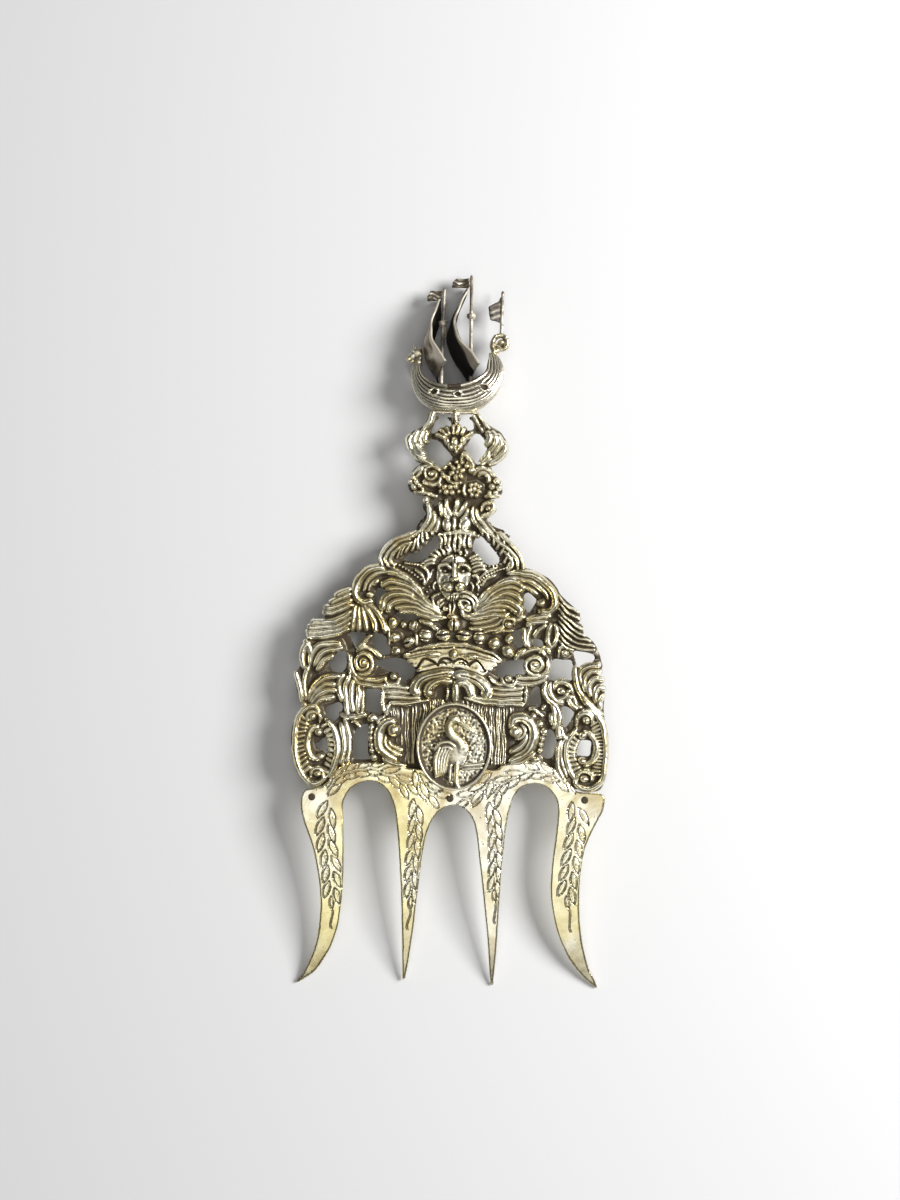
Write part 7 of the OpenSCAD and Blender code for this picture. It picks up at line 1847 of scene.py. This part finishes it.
class OYSTERFORK_OT_masts(bpy.types.Operator):
    """Builds both masts with their fighting tops, and the ensign staff"""

    bl_idname = "oysterfork.masts"
    bl_label = "Masts"

    def execute(self, context):
        fore = Skin()
        spar(fore, FORE_MAST, 1.15, 0.85)
        fighting_top(fore, FORE_MAST, 2.6, 1.4)
        bow = [(-3.9, 82.4, 0), (-3.2, 82.9, 0), (-2.9, 84.4, 0), (-3.1, 85.8, 0), (-3.8, 86.2, 0)]
        fore.tube(bow, 0.42, 12, 0.4)
        dress(fore.piece("fore_mast", aboard), "fore_mast", "dark_silver")
        main = Skin()
        spar(main, MAIN_MAST, 1.15, 0.85)
        fighting_top(main, MAIN_MAST, 2.6, 1.4)
        dress(main.piece("main_mast", aboard), "main_mast", "dark_silver")
        staff = Skin()
        spar(staff, STAFF, 1.05, 0.8, 4)
        dress(staff.piece("ensign_staff", aboard), "ensign_staff", "dark_silver")
        return {"FINISHED"}


class OYSTERFORK_OT_sails(bpy.types.Operator):
    """Builds both bellied sails"""

    bl_idname = "oysterfork.sails"
    bl_label = "Sails"

    def execute(self, context):
        sizes = context.scene.oyster_fork_sizes
        # Sheet value and painted corner highlight of each sail; the main sail's value of 0 paints it near
        # black, as a painted dark reflection
        for node, rows, sway, spread, sheet_and_highlight in (("fore_sail", FORE_SAIL, 2.0, 2.4, (0.62, 1.1)),
                                                ("main_sail", MAIN_SAIL, 2.6, 0.8, (0.0, 1.15))):
            skin = Skin()
            skin.loft(*sail_rings(rows, sizes.sail_thickness, sizes.sail_drop, sway, spread, sheet_and_highlight))
            dress(skin.piece(node, aboard), node, "dark_silver")
        return {"FINISHED"}


class OYSTERFORK_OT_flags(bpy.types.Operator):
    """Builds the two pressed flags and the ensign"""

    bl_idname = "oysterfork.flags"
    bl_label = "Flags"

    def execute(self, context):
        dress(flag_piece("fore_flag", FORE_FLAG, 0.45, 1.15, 0.2, 0.34, 3), "fore_flag", "old_silver")
        dress(flag_piece("main_flag", MAIN_FLAG, 0.45, 1.1, 0.22, 0.34, 5), "main_flag", "old_silver")
        dress(flag_piece("ensign", ENSIGN, 0.45, 1.7, 0.25, 0.38, 7), "ensign", "dark_silver")
        return {"FINISHED"}


# Half the width of the table, in metres like everything below
TABLE_HALF = 1.5
# Place, aim and size of the lamps
OVERHEAD_LAMP = ((-0.02, -0.3, 1.05), (-0.02, -0.12, 0), (0.7, 1.75))
KEY_LAMP = ((0.65, 0.17, 0.56), (0, 0, 0), (0.42, 0.42))
# Place of the camera over the ground of the cartouche, its turn and its focal length in millimetres
CAMERA_PLACE = (-0.00064, 0.00895, 0.504)
CAMERA_TURN = math.radians(0.86)
CAMERA_LENS = 54


def area_light(name, place, aim, size, watts):
    """A rectangular lamp at a place, turned toward its aim."""
    data = bpy.data.lights.new(name, "AREA")
    data.shape = "RECTANGLE"
    data.size, data.size_y = size
    data.energy = watts
    lamp = bpy.data.objects.new(name, data)
    lamp.location = place
    lamp.rotation_euler = (Vector(aim) - Vector(place)).to_track_quat("-Z", "Y").to_euler()
    bpy.context.scene.collection.objects.link(lamp)
    return lamp


class OYSTERFORK_OT_stage(bpy.types.Operator):
    """Builds the table, the soft lights and the camera above the fork"""

    bl_idname = "oysterfork.stage"
    bl_label = "Stage"

    def execute(self, context):
        scene = context.scene
        stage = scene.oyster_fork_stage
        sheet = bmesh.new()
        bmesh.ops.create_grid(sheet, x_segments=1, y_segments=1, size=TABLE_HALF)
        mesh = bpy.data.meshes.new("table")
        sheet.to_mesh(mesh)
        sheet.free()
        table = bpy.data.objects.new("table", mesh)
        scene.collection.objects.link(table)
        paper = bpy.data.materials.new("table paper")
        paper.use_nodes = True
        shader = paper.node_tree.nodes["Principled BSDF"]
        shader.inputs["Base Color"].default_value = plain(stage.floor)
        shader.inputs["Roughness"].default_value = 0.9
        mesh.materials.append(paper)
        lamps = [
            area_light("overhead", *OVERHEAD_LAMP, stage.sky_watts),
            area_light("key", *KEY_LAMP, stage.key_watts),
        ]
        scene.world = bpy.data.worlds.new("room")
        scene.world.use_nodes = True
        glow = scene.world.node_tree.nodes["Background"].inputs
        glow["Color"].default_value = (1, 1, 1, 1)
        glow["Strength"].default_value = stage.room
        lens = bpy.data.cameras.new("camera")
        lens.lens = CAMERA_LENS
        lens.sensor_fit = "AUTO"
        lens.clip_start = 0.01
        camera = bpy.data.objects.new("camera", lens)
        x, y, z = CAMERA_PLACE
        camera.location = (x, y, z + GROUND_Z * MM)
        camera.rotation_euler = (0, 0, CAMERA_TURN)
        scene.collection.objects.link(camera)
        scene.camera = camera
        scene.view_settings.view_transform = "Standard"
        return {"FINISHED"}


PIECES = (
    OYSTERFORK_OT_sheet, OYSTERFORK_OT_rivets, OYSTERFORK_OT_cartouche, OYSTERFORK_OT_neck,
    OYSTERFORK_OT_medallion, OYSTERFORK_OT_bracket, OYSTERFORK_OT_hull, OYSTERFORK_OT_heads,
    OYSTERFORK_OT_masts, OYSTERFORK_OT_sails, OYSTERFORK_OT_flags, OYSTERFORK_OT_stage,
)
GROUPS = (OysterForkSizes, OysterForkFinish, OysterForkStage)


class OYSTERFORK_PT_pieces(bpy.types.Panel):
    """Lists the pieces of the oyster fork"""

    bl_idname = "OYSTERFORK_PT_pieces"
    bl_label = "Oyster fork"
    bl_space_type = "VIEW_3D"
    bl_region_type = "UI"
    bl_category = "Oyster fork"

    def draw(self, context):
        scene = context.scene
        for group in (scene.oyster_fork_sizes, scene.oyster_fork_finish, scene.oyster_fork_stage):
            box = self.layout.box()
            for key in group.bl_rna.properties.keys():
                if key not in ("rna_type", "name"):
                    box.prop(group, key)
        for piece in PIECES:
            self.layout.operator(piece.bl_idname)


def register():
    for kind in (*GROUPS, *PIECES, OYSTERFORK_PT_pieces):
        bpy.utils.register_class(kind)
    bpy.types.Scene.oyster_fork_sizes = bpy.props.PointerProperty(type=OysterForkSizes)
    bpy.types.Scene.oyster_fork_finish = bpy.props.PointerProperty(type=OysterForkFinish)
    bpy.types.Scene.oyster_fork_stage = bpy.props.PointerProperty(type=OysterForkStage)


def unregister():
    del bpy.types.Scene.oyster_fork_stage
    del bpy.types.Scene.oyster_fork_finish
    del bpy.types.Scene.oyster_fork_sizes
    for kind in reversed((*GROUPS, *PIECES, OYSTERFORK_PT_pieces)):
        bpy.utils.unregister_class(kind)


def main():
    register()
    patina_group()
    tarnish_group()
    scratches_group()
    bpy.ops.oysterfork.sheet()
    bpy.ops.oysterfork.rivets()
    bpy.ops.oysterfork.cartouche()
    bpy.ops.oysterfork.neck()
    bpy.ops.oysterfork.medallion()
    bpy.ops.oysterfork.bracket()
    bpy.ops.oysterfork.hull()
    bpy.ops.oysterfork.heads()
    bpy.ops.oysterfork.masts()
    bpy.ops.oysterfork.sails()
    bpy.ops.oysterfork.flags()
    bpy.ops.oysterfork.stage()
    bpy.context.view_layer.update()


if __name__ == "__main__":
    main()
